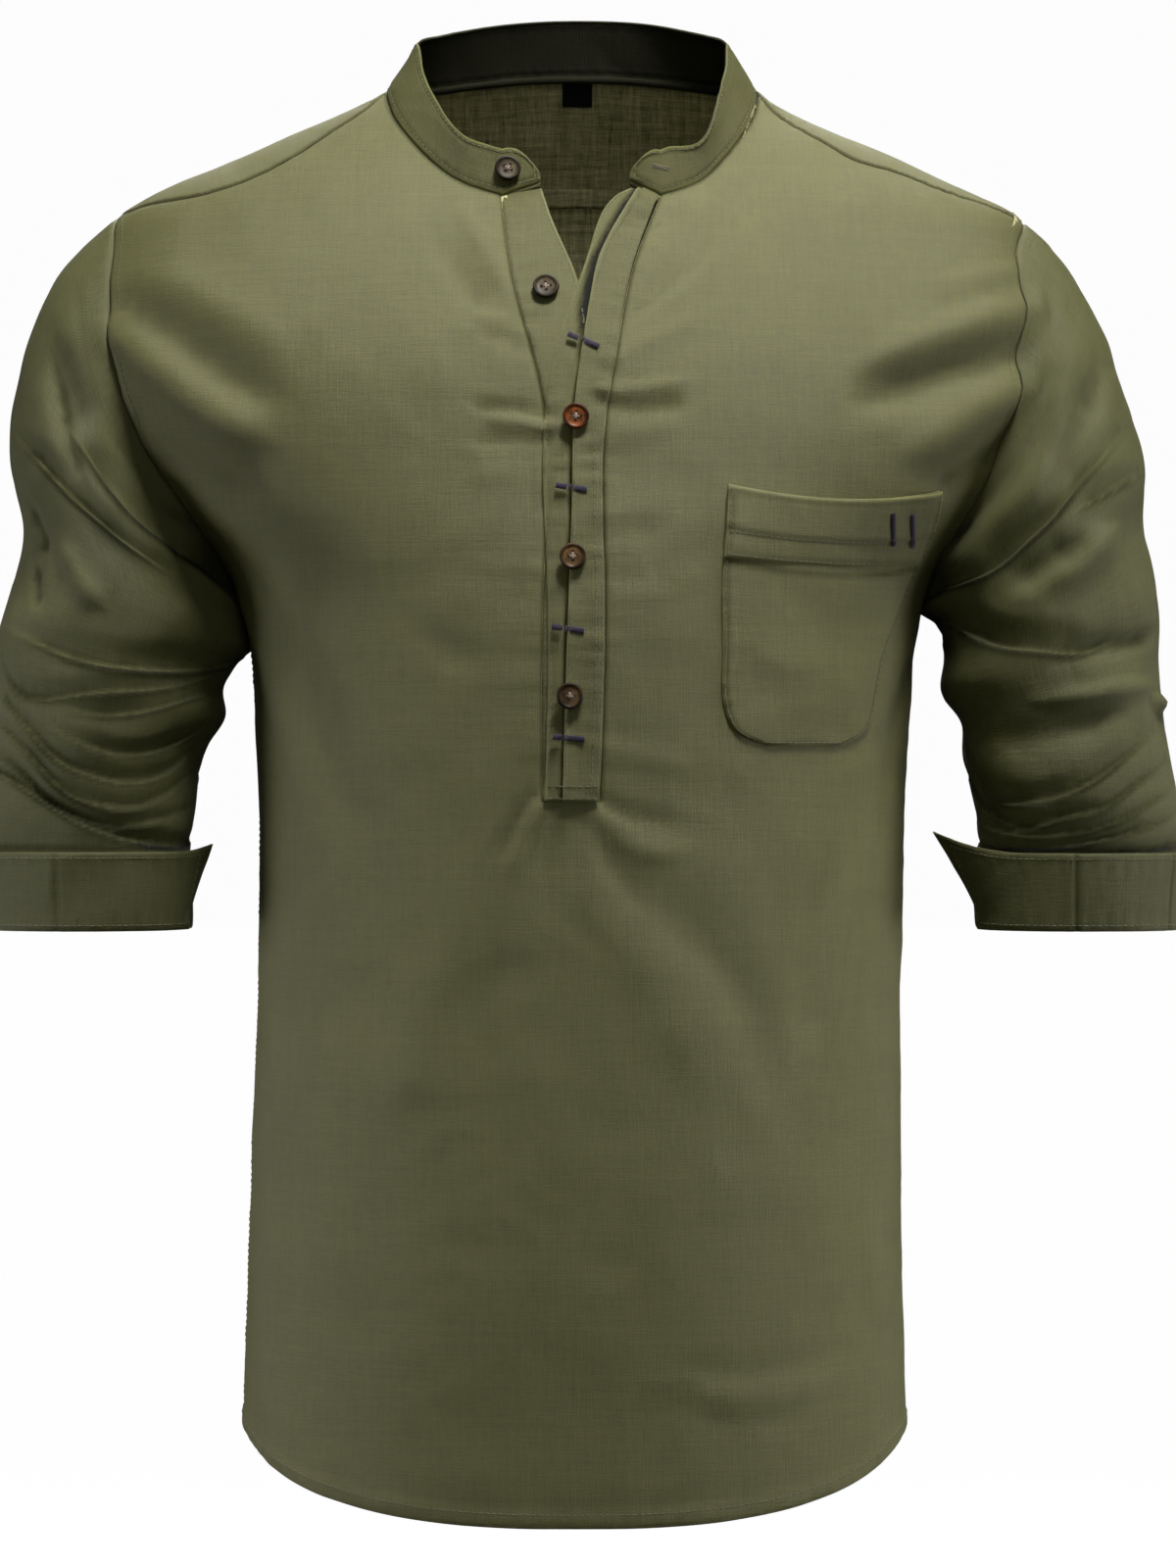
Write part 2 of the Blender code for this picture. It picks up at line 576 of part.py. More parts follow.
def yoke():
    inner = np.concatenate([
        plan(places(FRONT_SEAM[LEFT], SHOULDER_PLACES, -YOKE_GAP / 2), False)[::-1],
        plan(places(BACK_NECK, BACK_NECK_PLACES), True)[1:-1],
        plan(places(FRONT_SEAM[RIGHT], SHOULDER_PLACES, YOKE_GAP / 2), False),
    ])
    outer = plan(places(BACK_SEAM, YOKE_COLUMNS, YOKE_GAP / 2), True)
    left = armhole(LEFT, np.linspace(TIP_TURN, back_seam_turn(LEFT), ARM_YOKE + 1))[:, :2]
    right = armhole(RIGHT, np.linspace(TIP_TURN, back_seam_turn(RIGHT), ARM_YOKE + 1))[:, :2]
    inner[0], inner[-1], outer[0], outer[-1] = left[0], right[0], left[-1], right[-1]
    grid = patch(inner, outer, left, right)
    heights = height_at(grid[..., 0], grid[..., 1])
    return cloth("yoke", [np.concatenate([grid, heights[..., None]], axis=2)])


# ---- sleeves and cuffs --------------------------------------------------------------------------
def ring_points(side, ring, turns):
    """Points of a plain sleeve ring, at turns that run as the armhole's do."""
    rings = SLEEVE[side]
    at = np.arange(len(rings))
    ends = {name: spline(at, column(rings, name), ring) for name in Ring._fields}
    across, ahead = outline(math.pi / 2 - turns, SLEEVE_BOXINESS)
    x = (ends["outer_x"] + ends["inner_x"]) / 2 + (ends["outer_x"] - ends["inner_x"]) / 2 * across
    z = (ends["outer_z"] + ends["inner_z"]) / 2 + (ends["outer_z"] - ends["inner_z"]) / 2 * across
    return np.stack([x, ends["middle_y"] - ends["half_y"] * ahead, z], axis=1)


def fold_height(side, ring, turns):
    """How far the sleeve's largest folds stand proud."""
    degrees = np.degrees(turns) % 360
    height = np.zeros(len(turns))
    for fold in SLEEVE_FOLDS[side]:
        away = (degrees - fold.facing + 180) % 360 - 180
        line = fold.ring - fold.lift * (1 - np.cos(np.radians(away)))
        reach = np.clip(1 - (away / fold.reach) ** 2, 0, 1) ** 2
        height += fold.high * MM * np.exp(-(((ring - line) / fold.wide) ** 2)) * reach
    return height


def sleeve_points(side, ring, turns):
    """One ring of the sleeve: the armhole at ring 0, fading into the table's rings, with its folds."""
    fade = min(ring / CAP_RINGS, 1)
    fade = (1 - fade) ** 2 * (1 + 2 * fade)
    start = armhole(side, turns) + [side * SLEEVE_GAP, 0, 0]
    points = ring_points(side, ring, turns) + fade * (start - ring_points(side, 0, turns))
    middle = points.mean(axis=0)
    away = (points - middle) / np.linalg.norm(points - middle, axis=1)[:, None]
    return points + away * fold_height(side, ring, turns)[:, None]


def sleeve_turns(side):
    """The turns round the armhole at which the panels' edges have their points."""
    seam = back_seam_turn(side)
    return np.concatenate([
        np.linspace(math.pi, TIP_TURN, ARM_FRONT + 1)[:-1],
        np.linspace(TIP_TURN, seam, ARM_YOKE + 1)[:-1],
        np.linspace(seam, -math.pi, ARM_BACK + 1)[:-1],
    ])


def sleeve(side, name):
    turns = sleeve_turns(side)
    last = len(SLEEVE[side]) - 1
    smooth, folded = np.arange(0, SMOOTH_RINGS, SMOOTH_STEP), np.arange(SMOOTH_RINGS, last, FOLD_STEP)
    rings = np.concatenate([smooth, folded, [last]])
    grid = [sleeve_points(side, ring, turns) for ring in rings]
    return cloth(name, [grid if side == LEFT else [row[::-1] for row in grid]], closed=True)


def cuff(side, name):
    shape = CUFF[side]
    angles = np.degrees(sleeve_turns(side)[::-1])
    angles = np.concatenate([[CUFF_FIRST], angles[np.abs(angles) < CUFF_LAST], [CUFF_LAST]])
    leaving = np.clip((angles - CUFF_CORNER_FROM) / (CUFF_LAST - CUFF_CORNER_FROM), 0, 1)
    across, ahead = outline(math.pi / 2 - np.radians(angles), SLEEVE_BOXINESS)
    grid = []
    for up in np.linspace(0, 1, CUFF_ROWS + 1):
        flare = shape.flare * up
        x = side * (shape.half_x + flare) * across - side * shape.corner_out * leaving**2 * up
        y = -(shape.half_y + flare) * ahead
        z = shape.foot + (shape.top - shape.foot + shape.corner_high * leaving**2) * up
        grid.append(np.stack([shape.middle_x + x, shape.middle_y + y, z], axis=1) * MM)
    return cloth(name, [grid if side == LEFT else [row[::-1] for row in grid]])


# ---- collar -------------------------------------------------------------------------------------
def on_neck(line, behind):
    """Points of the torso cloth at places (x, height)."""
    return np.stack([line[:, 0], depth_at(line[:, 0], line[:, 1], behind), line[:, 1]], axis=1)


def collar_foot():
    """The collar's lower edge, from its left front end round the back to its right front end."""
    stretches = []
    for side in (LEFT, RIGHT):
        corner = FRONT_NECK[side][-1]
        steps = np.array(BAND_END_STEPS)[:, None]
        end = on_neck((1 - steps) * np.array(BAND_END[side]) * MM + steps * np.array(corner) * MM, False)
        neck = on_neck(places(FRONT_NECK[side], NECK_PLACES)[::-1], False)
        stretches.append(np.concatenate([end, neck]))
    behind = on_neck(places(BACK_NECK, BACK_NECK_PLACES), True)[1:-1]
    foot = np.concatenate([stretches[0], behind, stretches[1][::-1]])
    return foot * [COLLAR_INSET, COLLAR_INSET, 1] + [0, 0, YOKE_GAP]


def collar_rise(foot):
    """Full-height upward step of the band at each point of its foot: it leans in towards the neck."""
    run = np.gradient(foot[:, :2], axis=0)
    run /= np.linalg.norm(run, axis=1)[:, None]
    inward = np.stack([run[:, 1], -run[:, 0]], axis=1)
    sideways = np.abs(foot[:, 0]) / np.abs(foot[:, 0]).max()
    lean = BAND_LEAN_ENDS + (BAND_LEAN_SIDE - BAND_LEAN_ENDS) * sideways**2
    return np.column_stack([inward * lean[:, None], np.sqrt(BAND_HEIGHT**2 - lean**2)])


def collar_heights(foot):
    """Share of the full height at each point: its two upper front corners are rounded."""
    run = runs(foot)
    from_end = np.minimum(run, run[-1] - run)
    short = BAND_END_RADIUS - np.minimum(from_end, BAND_END_RADIUS)
    return 1 - (BAND_END_RADIUS - np.sqrt(BAND_END_RADIUS**2 - short**2)) / BAND_HEIGHT


def collar():
    foot = collar_foot()
    rise = collar_rise(foot) * collar_heights(foot)[:, None]
    grid = [(foot + share * rise)[::-1] for share in np.linspace(0, 1, BAND_ROWS + 1)]
    return cloth("collar_band", [grid], wall=BAND_WALL)


# ---- placket and pocket -------------------------------------------------------------------------
def strip(name, left, right, layer, columns=STRIP_COLUMNS):
    """A placket strip between two lines of places on the front, lying on `layer` others."""
    share = np.linspace(0, 1, columns)[None, :, None]
    grid = (1 - share) * left[:, None] + share * right[:, None]
    return cloth(name, [torso_grid(grid, lift=layer * LAYER)])


def placket():
    seams = {side: on_cloth(places(SLOT[side], SLOT_PLACES)) for side in (LEFT, RIGHT)}
    for side in (LEFT, RIGHT):
        seams[side] = (seams[side] - [side * SEAM_GAP / 2, 0])[::-1]
        seams[side][0, 1] += SEAM_GAP
        seams[side][-1, 1] -= SEAM_GAP
    edges = [on_cloth(places(table, SLOT_PLACES))[::-1] for table in (UNDERLAP_EDGE, INNER_EDGE, FLY_EDGE)]
    for edge in edges:
        edge[0, 1] += SEAM_GAP
    strip("placket_underlap", seams[LEFT], edges[0], 0)
    strip("placket_inner", edges[1], seams[RIGHT], 1)
    strip("placket_fly", edges[2], seams[RIGHT], 2, FLY_COLUMNS)


def pocket():
    """The pocket, and the band across its top made from the pocket's own upper rows."""
    straight, rounded = POCKET[:POCKET_CORNER], POCKET[POCKET_CORNER:]
    upper = np.linspace(straight[0].height, straight[-1].height, POCKET_UPPER_ROWS + 1)
    heights = np.concatenate([upper, column(rounded, "height", 1)]) * MM
    left, right = (read(POCKET, "height", name, heights)[:, None] for name in ("left", "right"))
    share = np.linspace(0, 1, POCKET_COLUMNS + 1)
    hang = 1 - (2 * share - 1) ** 2
    sag = POCKET_SAG * hang * np.linspace(1, 0, len(heights))[:, None] ** 2
    grid = np.stack([left + (right - left) * share, heights[:, None] - sag], axis=2)[::-1]
    cloth("pocket", [torso_grid(grid, lift=POCKET_LIFT)])
    cloth("pocket_band", [torso_grid(grid[-POCKET_BAND_ROWS:], lift=POCKET_LIFT + LAYER)])


# ---- buttons and label --------------------------------------------------------------------------
def button_mesh():
    """A four-hole button: a turned disc with a dished face, standing on its back at the origin."""
    inner, dish = BUTTON_RADIUS - BUTTON_RIM, BUTTON_THICK - BUTTON_DISH
    profile = [
        (0, dish), (inner, dish), (inner + BUTTON_DISH, BUTTON_THICK),
        (BUTTON_RADIUS - BUTTON_DISH / 2, BUTTON_THICK), (BUTTON_RADIUS, BUTTON_THICK * BUTTON_EDGE),
        (BUTTON_RADIUS * BUTTON_BACK, 0), (0, 0),
    ]
    mesh = bmesh.new()
    chain = [mesh.verts.new((r, 0, z)) for r, z in profile]
    edges = [mesh.edges.new(pair) for pair in zip(chain, chain[1:])]
    bmesh.ops.spin(
        mesh, geom=chain + edges, axis=(0, 0, 1), cent=(0, 0, 0), angle=2 * math.pi, steps=BUTTON_SIDES)
    bmesh.ops.remove_doubles(mesh, verts=mesh.verts, dist=WELD)
    bmesh.ops.recalc_face_normals(mesh, faces=mesh.faces)
    data = bpy.data.meshes.new("button")
    mesh.to_mesh(data)
    mesh.free()
    data.shade_smooth()
    data.set_sharp_from_angle(angle=math.radians(BUTTON_CREASE))
    return data


def hole_cutter():
    """Four upright pins where a button's thread holes are."""
    mesh = bmesh.new()
    reach = BUTTON_HOLE_SPACING / 2
    for x in (-reach, reach):
        for y in (-reach, reach):
            pin = bmesh.ops.create_cone(
                mesh, cap_ends=True, segments=BUTTON_HOLE_SIDES, radius1=BUTTON_HOLE,
                radius2=BUTTON_HOLE, depth=4 * BUTTON_THICK)
            bmesh.ops.translate(mesh, verts=pin["verts"], vec=(x, y, 0))
    data = bpy.data.meshes.new("button_holes")
    mesh.to_mesh(data)
    mesh.free()
    cutter = bpy.data.objects.new("button_holes", data)
    bpy.data.collections["cutters"].objects.link(cutter)
    cutter.hide_render = True
    cutter.display_type = "WIRE"
    return cutter


def place_button(name, data, cutter, at, normal):
    """A button with its back towards the cloth, and its holes square to the placket."""
    turn = Vector(normal).to_track_quat("Z", "Y")
    item = add_object(name, data.copy(), BUTTON_BROWN, 0.35)
    item.location = Vector(at) + Vector(normal) * BUTTON_GAP
    item.rotation_mode = "QUATERNION"
    item.rotation_quaternion = turn
    pins = cutter.copy()
    pins.name = name + "_holes"
    bpy.data.collections["cutters"].objects.link(pins)
    pins.location, pins.rotation_mode, pins.rotation_quaternion = item.location, "QUATERNION", turn
    holes = item.modifiers.new("holes", "BOOLEAN")
    holes.object = pins


def buttons():
    data, cutter = button_mesh(), hole_cutter()
    for button in BUTTONS:
        place = np.array([[button.x, button.height]]) * MM
        spot = on_cloth(place)
        normal = torso_normal(spot[:, 0], spot[:, 1])[0]
        at = torso_point(spot[:, 0], spot[:, 1])[0] + normal * button.layer * LAYER
        place_button(button.name, data, cutter, at, normal)
    foot = collar_foot()
    rise = collar_rise(foot)
    run = runs(foot)
    before, beyond, up = (
        np.array([np.interp(place, run, line[:, i]) for i in range(3)])
        for place, line in (
            (COLLAR_BUTTON_IN - BUTTON_RADIUS, foot + rise / 2),
            (COLLAR_BUTTON_IN + BUTTON_RADIUS, foot + rise / 2),
            (COLLAR_BUTTON_IN, rise),
        )
    )
    at, normal = (before + beyond) / 2, np.cross(up, beyond - before)
    place_button("button_collar", data, cutter, at, normal / np.linalg.norm(normal))
    bpy.data.objects.remove(cutter)


def label():
    """A bare tape hanging inside the back of the neck, under the collar's seam."""
    across = LABEL_X + LABEL_WIDE * np.linspace(-0.5, 0.5, LABEL_CELLS + 1)
    heights = LABEL_TOP - LABEL_HIGH * np.linspace(1, 0, LABEL_CELLS + 1)
    grid = np.stack(np.meshgrid(across, heights), axis=2)
    item = cloth("label", [torso_grid(grid, True, -(WALL + LABEL_BACKING + LABEL_WALL))], wall=LABEL_WALL)
    item.data.materials[0] = material("label_tape", LABEL_BLACK, 0.7)


def main():
    clear_scene()
    for name in ("band_collar_shirt", "cutters"):
        bpy.context.scene.collection.children.link(bpy.data.collections.new(name))
    front()
    back()
    yoke()
    for side, word in ((LEFT, "left"), (RIGHT, "right")):
        sleeve(side, "sleeve_" + word)
        cuff(side, "cuff_" + word)
    collar()
    placket()
    pocket()
    buttons()
    label()


main()
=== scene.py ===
"""Looks of the band-collar half-placket shirt: linen cloth with its folds, seams, stitches and buttons.

Metres, +Z up, in the same frame as the solids. The front faces -Y and "left" means -X. Tables of the
cloth's form are in millimetres. Every cloth piece is a grid of points on the form of its own solid.
"""
import math
from collections import namedtuple

import bmesh
import bpy
import numpy as np
from mathutils import Matrix, Quaternion, Vector
from mathutils.bvhtree import BVHTree

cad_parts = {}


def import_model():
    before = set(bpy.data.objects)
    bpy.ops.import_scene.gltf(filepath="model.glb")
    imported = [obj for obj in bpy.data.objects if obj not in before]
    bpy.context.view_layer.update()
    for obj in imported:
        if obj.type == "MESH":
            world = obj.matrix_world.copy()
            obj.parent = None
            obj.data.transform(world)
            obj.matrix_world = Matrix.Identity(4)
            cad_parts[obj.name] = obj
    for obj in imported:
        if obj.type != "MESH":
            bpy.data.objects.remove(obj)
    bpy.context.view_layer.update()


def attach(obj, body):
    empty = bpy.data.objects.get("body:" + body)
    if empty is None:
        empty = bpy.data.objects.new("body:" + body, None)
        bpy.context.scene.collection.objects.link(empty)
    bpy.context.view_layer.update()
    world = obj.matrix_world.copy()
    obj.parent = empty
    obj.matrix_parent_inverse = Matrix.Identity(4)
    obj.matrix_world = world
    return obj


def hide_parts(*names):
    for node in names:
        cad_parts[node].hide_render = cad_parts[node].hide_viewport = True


MM = 0.001
LEFT, RIGHT = -1, 1
SIDES = {LEFT: "left", RIGHT: "right"}

# ---- sizes --------------------------------------------------------------------------------------
SEAM_GAP = 0.3 * MM  # free space between neighbouring panels
CLOTH = 0.6 * MM  # thickness of one piece of linen with its turnings
CUFF_WALL = 1.2 * MM
BAND_WALL = 1.4 * MM
STRIP_WALL = 1.0 * MM
POCKET_WALL = 0.9 * MM
TAPE_WALL = 0.35 * MM
LAYER_PITCH = 1.6 * MM  # pitch of pieces that lie on one another
CELL = 2.75 * MM  # usual spacing of a grid's points
PANEL_CELL = CELL * 1.05
YOKE_CELL = 2.3 * MM
STRIP_CELL = 1.9 * MM
COLLAR_CELL = 1.5 * MM
TINY = 1e-9
ARC_STEPS = 96  # chords that measure a quarter of a torso section
LINE_STEPS = 12  # chords that measure a line of places, for each place asked for
NORMAL_STEP = 0.4 * MM  # small step that finds the torso's outward way
HALVINGS = 40  # steps that home in on the height of the shoulders' cloth

# ---- tables of the cloth's form -----------------------------------------------------------------

# Level sections of the torso cloth, hem to neck: half widths to the left and right, and the depth of
# the centre front and centre back from the plane through the side seams. Boxiness 2 is an ellipse.
Section = namedtuple("Section", "height left right front back boxiness")
TORSO = (
    Section(-735, 171.0, 169.0, 117, 118, 2.40),
    Section(-676, 169.5, 168.0, 118, 118, 2.40),
    Section(-612, 167.0, 165.5, 119, 116, 2.40),
    Section(-532, 164.5, 165.0, 120, 113, 2.40),
    Section(-452, 161.5, 165.0, 121, 110, 2.40),
    Section(-372, 161.0, 166.5, 123, 110, 2.40),
    Section(-320, 162.5, 169.5, 125, 113, 2.40),
    Section(-290, 165.0, 172.5, 126, 116, 2.40),
    Section(-265, 169.5, 175.5, 126, 118, 2.42),
    Section(-245, 177.0, 182.5, 125, 119, 2.48),
    Section(-222, 196.0, 199.5, 123, 118, 2.56),
    Section(-200, 217.0, 217.0, 120, 117, 2.60),
    Section(-176, 236.0, 231.0, 117, 115, 2.60),
    Section(-150, 247.0, 238.5, 112, 112, 2.56),
    Section(-125, 251.5, 240.5, 104, 107, 2.50),
    Section(-100, 251.0, 237.0, 93, 101, 2.38),
    Section(-80, 244.5, 231.5, 82, 96, 2.26),
    Section(-64, 233.0, 224.5, 72, 91, 2.18),
    Section(-48, 205.0, 193.0, 61, 85, 2.12),
    Section(-32, 167.5, 158.0, 50, 78, 2.10),
    Section(-14, 127.0, 115.0, 38, 68, 2.10),
    Section(0, 98.0, 93.5, 28, 59, 2.10),
    Section(9, 86.0, 84.0, 22, 52, 2.10),
    Section(20, 74.0, 73.0, 16, 44, 2.10),
)
TORSO_SHOULDER = -160  # the torso only narrows from here up

# The armhole is an egg seen from the side: heights of its top and its underarm point, and how far it
# swings to the front and to the back. Egg makes it fuller towards the underarm.
Armhole = namedtuple("Armhole", "top under front back egg")
ARMHOLE = {
    LEFT: Armhole(-64.0, -243.0, 58.0, 60.0, 0.14),
    RIGHT: Armhole(-66.5, -247.0, 58.0, 60.0, 0.14),
}

# Edges seen from the front, as places (x, height) on the torso cloth.
Place = namedtuple("Place", "x height")
FRONT_SEAM = {  # front yoke seam, from the side-neck point to the armhole
    LEFT: (
        Place(-97.0, 0), Place(-108, -11.5), Place(-121, -21), Place(-142, -37), Place(-163, -48.5),
        Place(-177, -54), Place(-195, -58.5), Place(-216, -60.5), Place(-232.5, -64.4),
    ),
    RIGHT: (
        Place(92.7, 0), Place(98, -9), Place(112, -21), Place(128, -31), Place(144, -40),
        Place(160, -44), Place(182, -53), Place(201, -58.5), Place(224, -66.8),
    ),
}
FRONT_NECK = {  # front neckline, from the side-neck point to the placket
    LEFT: (
        Place(-97.0, 0), Place(-93, -14), Place(-85, -27), Place(-74, -40), Place(-58, -53),
        Place(-37, -61),
    ),
    RIGHT: (
        Place(92.7, 0), Place(90, -14), Place(83.5, -27), Place(75, -39), Place(60, -54),
        Place(42, -61),
    ),
}
BACK_NECK = (
    Place(-97.0, 0), Place(-93.5, 2.2), Place(-84, 5.3), Place(-66, 9), Place(-38, 13.5),
    Place(0, 15.5), Place(38, 13.5), Place(65, 9), Place(82, 5.3), Place(90.0, 2.2), Place(92.7, 0),
)
BACK_SEAM = (
    Place(-225, -92), Place(-190, -81), Place(-140, -66), Place(-75, -51), Place(0, -45),
    Place(75, -51), Place(135, -66), Place(182, -81), Place(214, -92),
)
# Hem height against the distance along the cloth from the centre line, front and back.
Hem = namedtuple("Hem", "across front back")
HEM = (
    Hem(0, -712.5, -724), Hem(40, -712, -723.5), Hem(85, -708.5, -720.5), Hem(125, -701.5, -713),
    Hem(165, -689.5, -700), Hem(200, -678.0, -684), Hem(230, -676.0, -676),
)

# The placket's two seams, as places on the front. They run straight below the third button, and
# spread above it where the neck is open.
SLOT = {
    LEFT: (
        Place(-37, -61), Place(-29.5, -112), Place(-22.5, -138), Place(-15.5, -168), Place(-15, -250),
        Place(-16, -361),
    ),
    RIGHT: (
        Place(42, -61), Place(26.5, -106), Place(19.5, -145), Place(15.5, -168), Place(14, -250),
        Place(11.5, -361),
    ),
}

# The free edge of each placket strip: the button strip, the buttonhole strip and the fly over it.
UNDERLAP_EDGE = (
    Place(-17, -57), Place(-9.5, -80), Place(-0.8, -101), Place(6, -130), Place(11.5, -168),
    Place(11, -250), Place(9, -361),
)
INNER_EDGE = (
    Place(27, -57), Place(16.5, -66), Place(7, -90), Place(0.5, -110), Place(-5.4, -126),
    Place(-12.2, -155), Place(-14.2, -168), Place(-13.8, -250), Place(-14.8, -361),
)
FLY_EDGE = (
    Place(33.5, -57), Place(22, -76), Place(11.5, -97), Place(6.5, -120), Place(2.5, -145),
    Place(-0.5, -170), Place(-1.8, -215), Place(-3.6, -270), Place(-6.2, -361),
)

# Sleeve rings, armhole to cuff: the points of the ring that lie farthest out and nearest the torso,
# seen from the front, then the ring's middle and half size across Y.
Ring = namedtuple("Ring", "outer_x outer_z inner_x inner_z middle_y half_y")
SLEEVE = {
    LEFT: (
        Ring(-234, -64, -179, -243, -1, 59),
        Ring(-251, -79, -180.5, -246, -2, 60),
        Ring(-267, -100, -178, -250, -4, 61),
        Ring(-279, -130, -175, -256, -6, 61),
        Ring(-286, -165, -172.5, -263, -8, 60),
        Ring(-286, -196, -171, -272, -9, 59),
        Ring(-280.5, -226, -170, -283, -10, 58),
        Ring(-287, -254, -174.5, -295, -10, 57),
        Ring(-293, -276, -179, -306, -10, 57),
        Ring(-294, -300, -178, -318, -10, 56),
        Ring(-296, -326, -186, -331, -10, 55),
        Ring(-299, -350, -192, -348, -10, 53),
        Ring(-300, -372, -194, -368, -10, 51),
        Ring(-299, -386, -196, -385, -10, 47.5),
        Ring(-298.8, -405, -196.2, -405, -10, 46.5),
        Ring(-298.2, -425, -196.8, -425, -10, 45.2),
    ),
    RIGHT: (
        Ring(227.5, -66.5, 184, -247, -1, 59),
        Ring(242, -80, 186, -250, -2, 60),
        Ring(257, -102, 183.5, -254, -4, 61),
        Ring(270.5, -131, 181, -260, -6, 61),
        Ring(281, -163, 182, -267, -8, 60),
        Ring(287.5, -194, 185.5, -276, -9, 59),
        Ring(286.5, -220, 187.5, -286, -10, 58),
        Ring(292.5, -248, 186.5, -297, -10, 57),
        Ring(294, -272, 187.5, -308, -10, 56),
        Ring(295, -300, 195.5, -320, -10, 54),
        Ring(299, -328, 197, -334, -10, 53),
        Ring(303, -350, 199, -349, -10, 53),
        Ring(308, -370, 203, -368, -10, 51),
        Ring(307.5, -386, 203.5, -385, -10, 47.5),
        Ring(307.3, -405, 203.7, -405, -10, 46.5),
        Ring(306.7, -425, 204.3, -425, -10, 45.2),
    ),
}
SLEEVE_BOXINESS = 2.15
CAP_RINGS = 6.0  # rings over which the armhole's own curve fades into the sleeve's rings

# Turned-back cuffs. Each is a strip wound once round the sleeve's end, wider at its top, with its free
# corner standing out and up on the torso side.
Cuff = namedtuple("Cuff", "middle_x middle_y half_x half_y top foot flare corner_out corner_high")
CUFF = {
    LEFT: Cuff(-247.5, -10, 52.1, 46.6, -386.5, -426.0, 3.0, 9, 3.5),
    RIGHT: Cuff(255.5, -10, 52.6, 46.6, -387.0, -426.0, 3.0, 20, 10.0),
}
CUFF_FIRST, CUFF_LAST = -172, 174  # degrees round the sleeve at which a cuff's two ends lie
CUFF_CORNER_FROM = {LEFT: 147, RIGHT: 122}  # degrees at which the free end starts to leave the sleeve

COLLAR_INSET = 0.997  # the band's foot stands this much inside the neckline
BAND_HEIGHT = 29.0 * MM
BAND_LEAN_SIDE, BAND_LEAN_ENDS = 17.0 * MM, 7.0 * MM  # how far it leans in at the sides, and elsewhere
BAND_END = {LEFT: Place(-17.5, -53.5), RIGHT: Place(26.5, -52.0)}  # lower front corners of its two ends

# Chest pocket, on the right of the front: its two edges across the cloth at each height, top to foot.
PocketRow = namedtuple("PocketRow", "height left right")
POCKET = (
    PocketRow(-208, 73.5, 187.0), PocketRow(-228, 72.5, 188.5), PocketRow(-250, 71.0, 186.5),
    PocketRow(-276, 71.2, 173.0), PocketRow(-296, 71.2, 163.5), PocketRow(-312, 71.6, 160.5),
    PocketRow(-322, 74.5, 156.5), PocketRow(-329, 81.5, 148.0), PocketRow(-334, 95.0, 134.0),
)
POCKET_SAG = 6.0 * MM  # how far the middle of its top edge hangs below the corners
POCKET_LIFT = LAYER_PITCH  # the pocket's outer side above the panel's
POCKET_BAND_FOOT = -243.2  # lower edge of the folded band across its top
POCKET_CELL = 1.9 * MM

Button = namedtuple("Button", "name x height layer")
BUTTONS = (
    Button("button_1", -14.5, -111, 0),
    Button("button_2", 0.2, -176, 2),
    Button("button_3", -1.3, -243.5, 2),
    Button("button_4", -2.7, -310, 2),
)
BUTTON_GAP = 0.6 * MM  # free space under a button
COLLAR_BUTTON_IN = 17.5 * MM  # distance of the collar's button from the band's left front end

LABEL_WIDE, LABEL_HIGH, LABEL_WALL = 15.5 * MM, 11.5 * MM, 1.0 * MM
LABEL_X, LABEL_TOP = 0.4 * MM, 14.0 * MM
LABEL_COLUMNS, LABEL_ROWS = 33, 25


# ---- reading the tables -------------------------------------------------------------------------
def spline(knots, values, at):
    """Natural cubic spline through (knots, values), read at `at` and held level past its ends."""
    order = np.argsort(knots)
    knots, values = np.asarray(knots, float)[order], np.asarray(values, float)[order]
    step = np.diff(knots)
    slope = np.diff(values) / step
    matrix, right = np.eye(len(knots)), np.zeros(len(knots))
    for i in range(1, len(knots) - 1):
        matrix[i, i - 1 : i + 2] = step[i - 1], 2 * (step[i - 1] + step[i]), step[i]
        right[i] = 6 * (slope[i] - slope[i - 1])
    bend = np.linalg.solve(matrix, right)
    at = np.clip(at, knots[0], knots[-1])
    i = np.clip(np.searchsorted(knots, at) - 1, 0, len(knots) - 2)
    low, high = at - knots[i], knots[i + 1] - at
    curve = (bend[i] * high**3 + bend[i + 1] * low**3) / (6 * step[i])
    line_low = (values[i] / step[i] - bend[i] * step[i] / 6) * high
    line_high = (values[i + 1] / step[i] - bend[i + 1] * step[i] / 6) * low
    return curve + line_low + line_high


def column(table, name, unit=MM):
    """One column of a table, in metres where its unit is MM."""
    return np.array([getattr(row, name) for row in table]) * unit


def read(table, key, name, at, unit=MM):
    """A table's column read smoothly at places along its key column."""
    return spline(column(table, key), column(table, name, unit), at)


def section(side, height, back):
    """Half width, depth and boxiness of the torso's level section at each height."""
    names = ("left", "right", "back", "front")
    left, right, behind, ahead = (read(TORSO, "height", name, height) for name in names)
    power = read(TORSO, "height", "boxiness", height, 1.0)
    return np.where(side < 0, left, right), np.where(back, behind, ahead), power


def outline(angle, power):
    """Unit superellipse: how far to the side and how far forward, at an angle from straight ahead."""
    side, ahead = np.sin(angle), np.cos(angle)
    reach = (np.abs(side) ** power + np.abs(ahead) ** power) ** (-1 / power)
    return side * reach, ahead * reach


def quarter_arcs(width, depth, power, last_angle):
    """Angles from straight ahead to last_angle, and the cloth's length up to each."""
    angles = np.linspace(0, 1, ARC_STEPS + 1)[None, :] * np.asarray(last_angle)[:, None]
    x, y = outline(angles, power[:, None])
    chords = np.hypot(np.diff(x * width[:, None]), np.diff(y * depth[:, None]))
    return angles, np.concatenate([np.zeros((len(chords), 1)), np.cumsum(chords, axis=1)], axis=1)


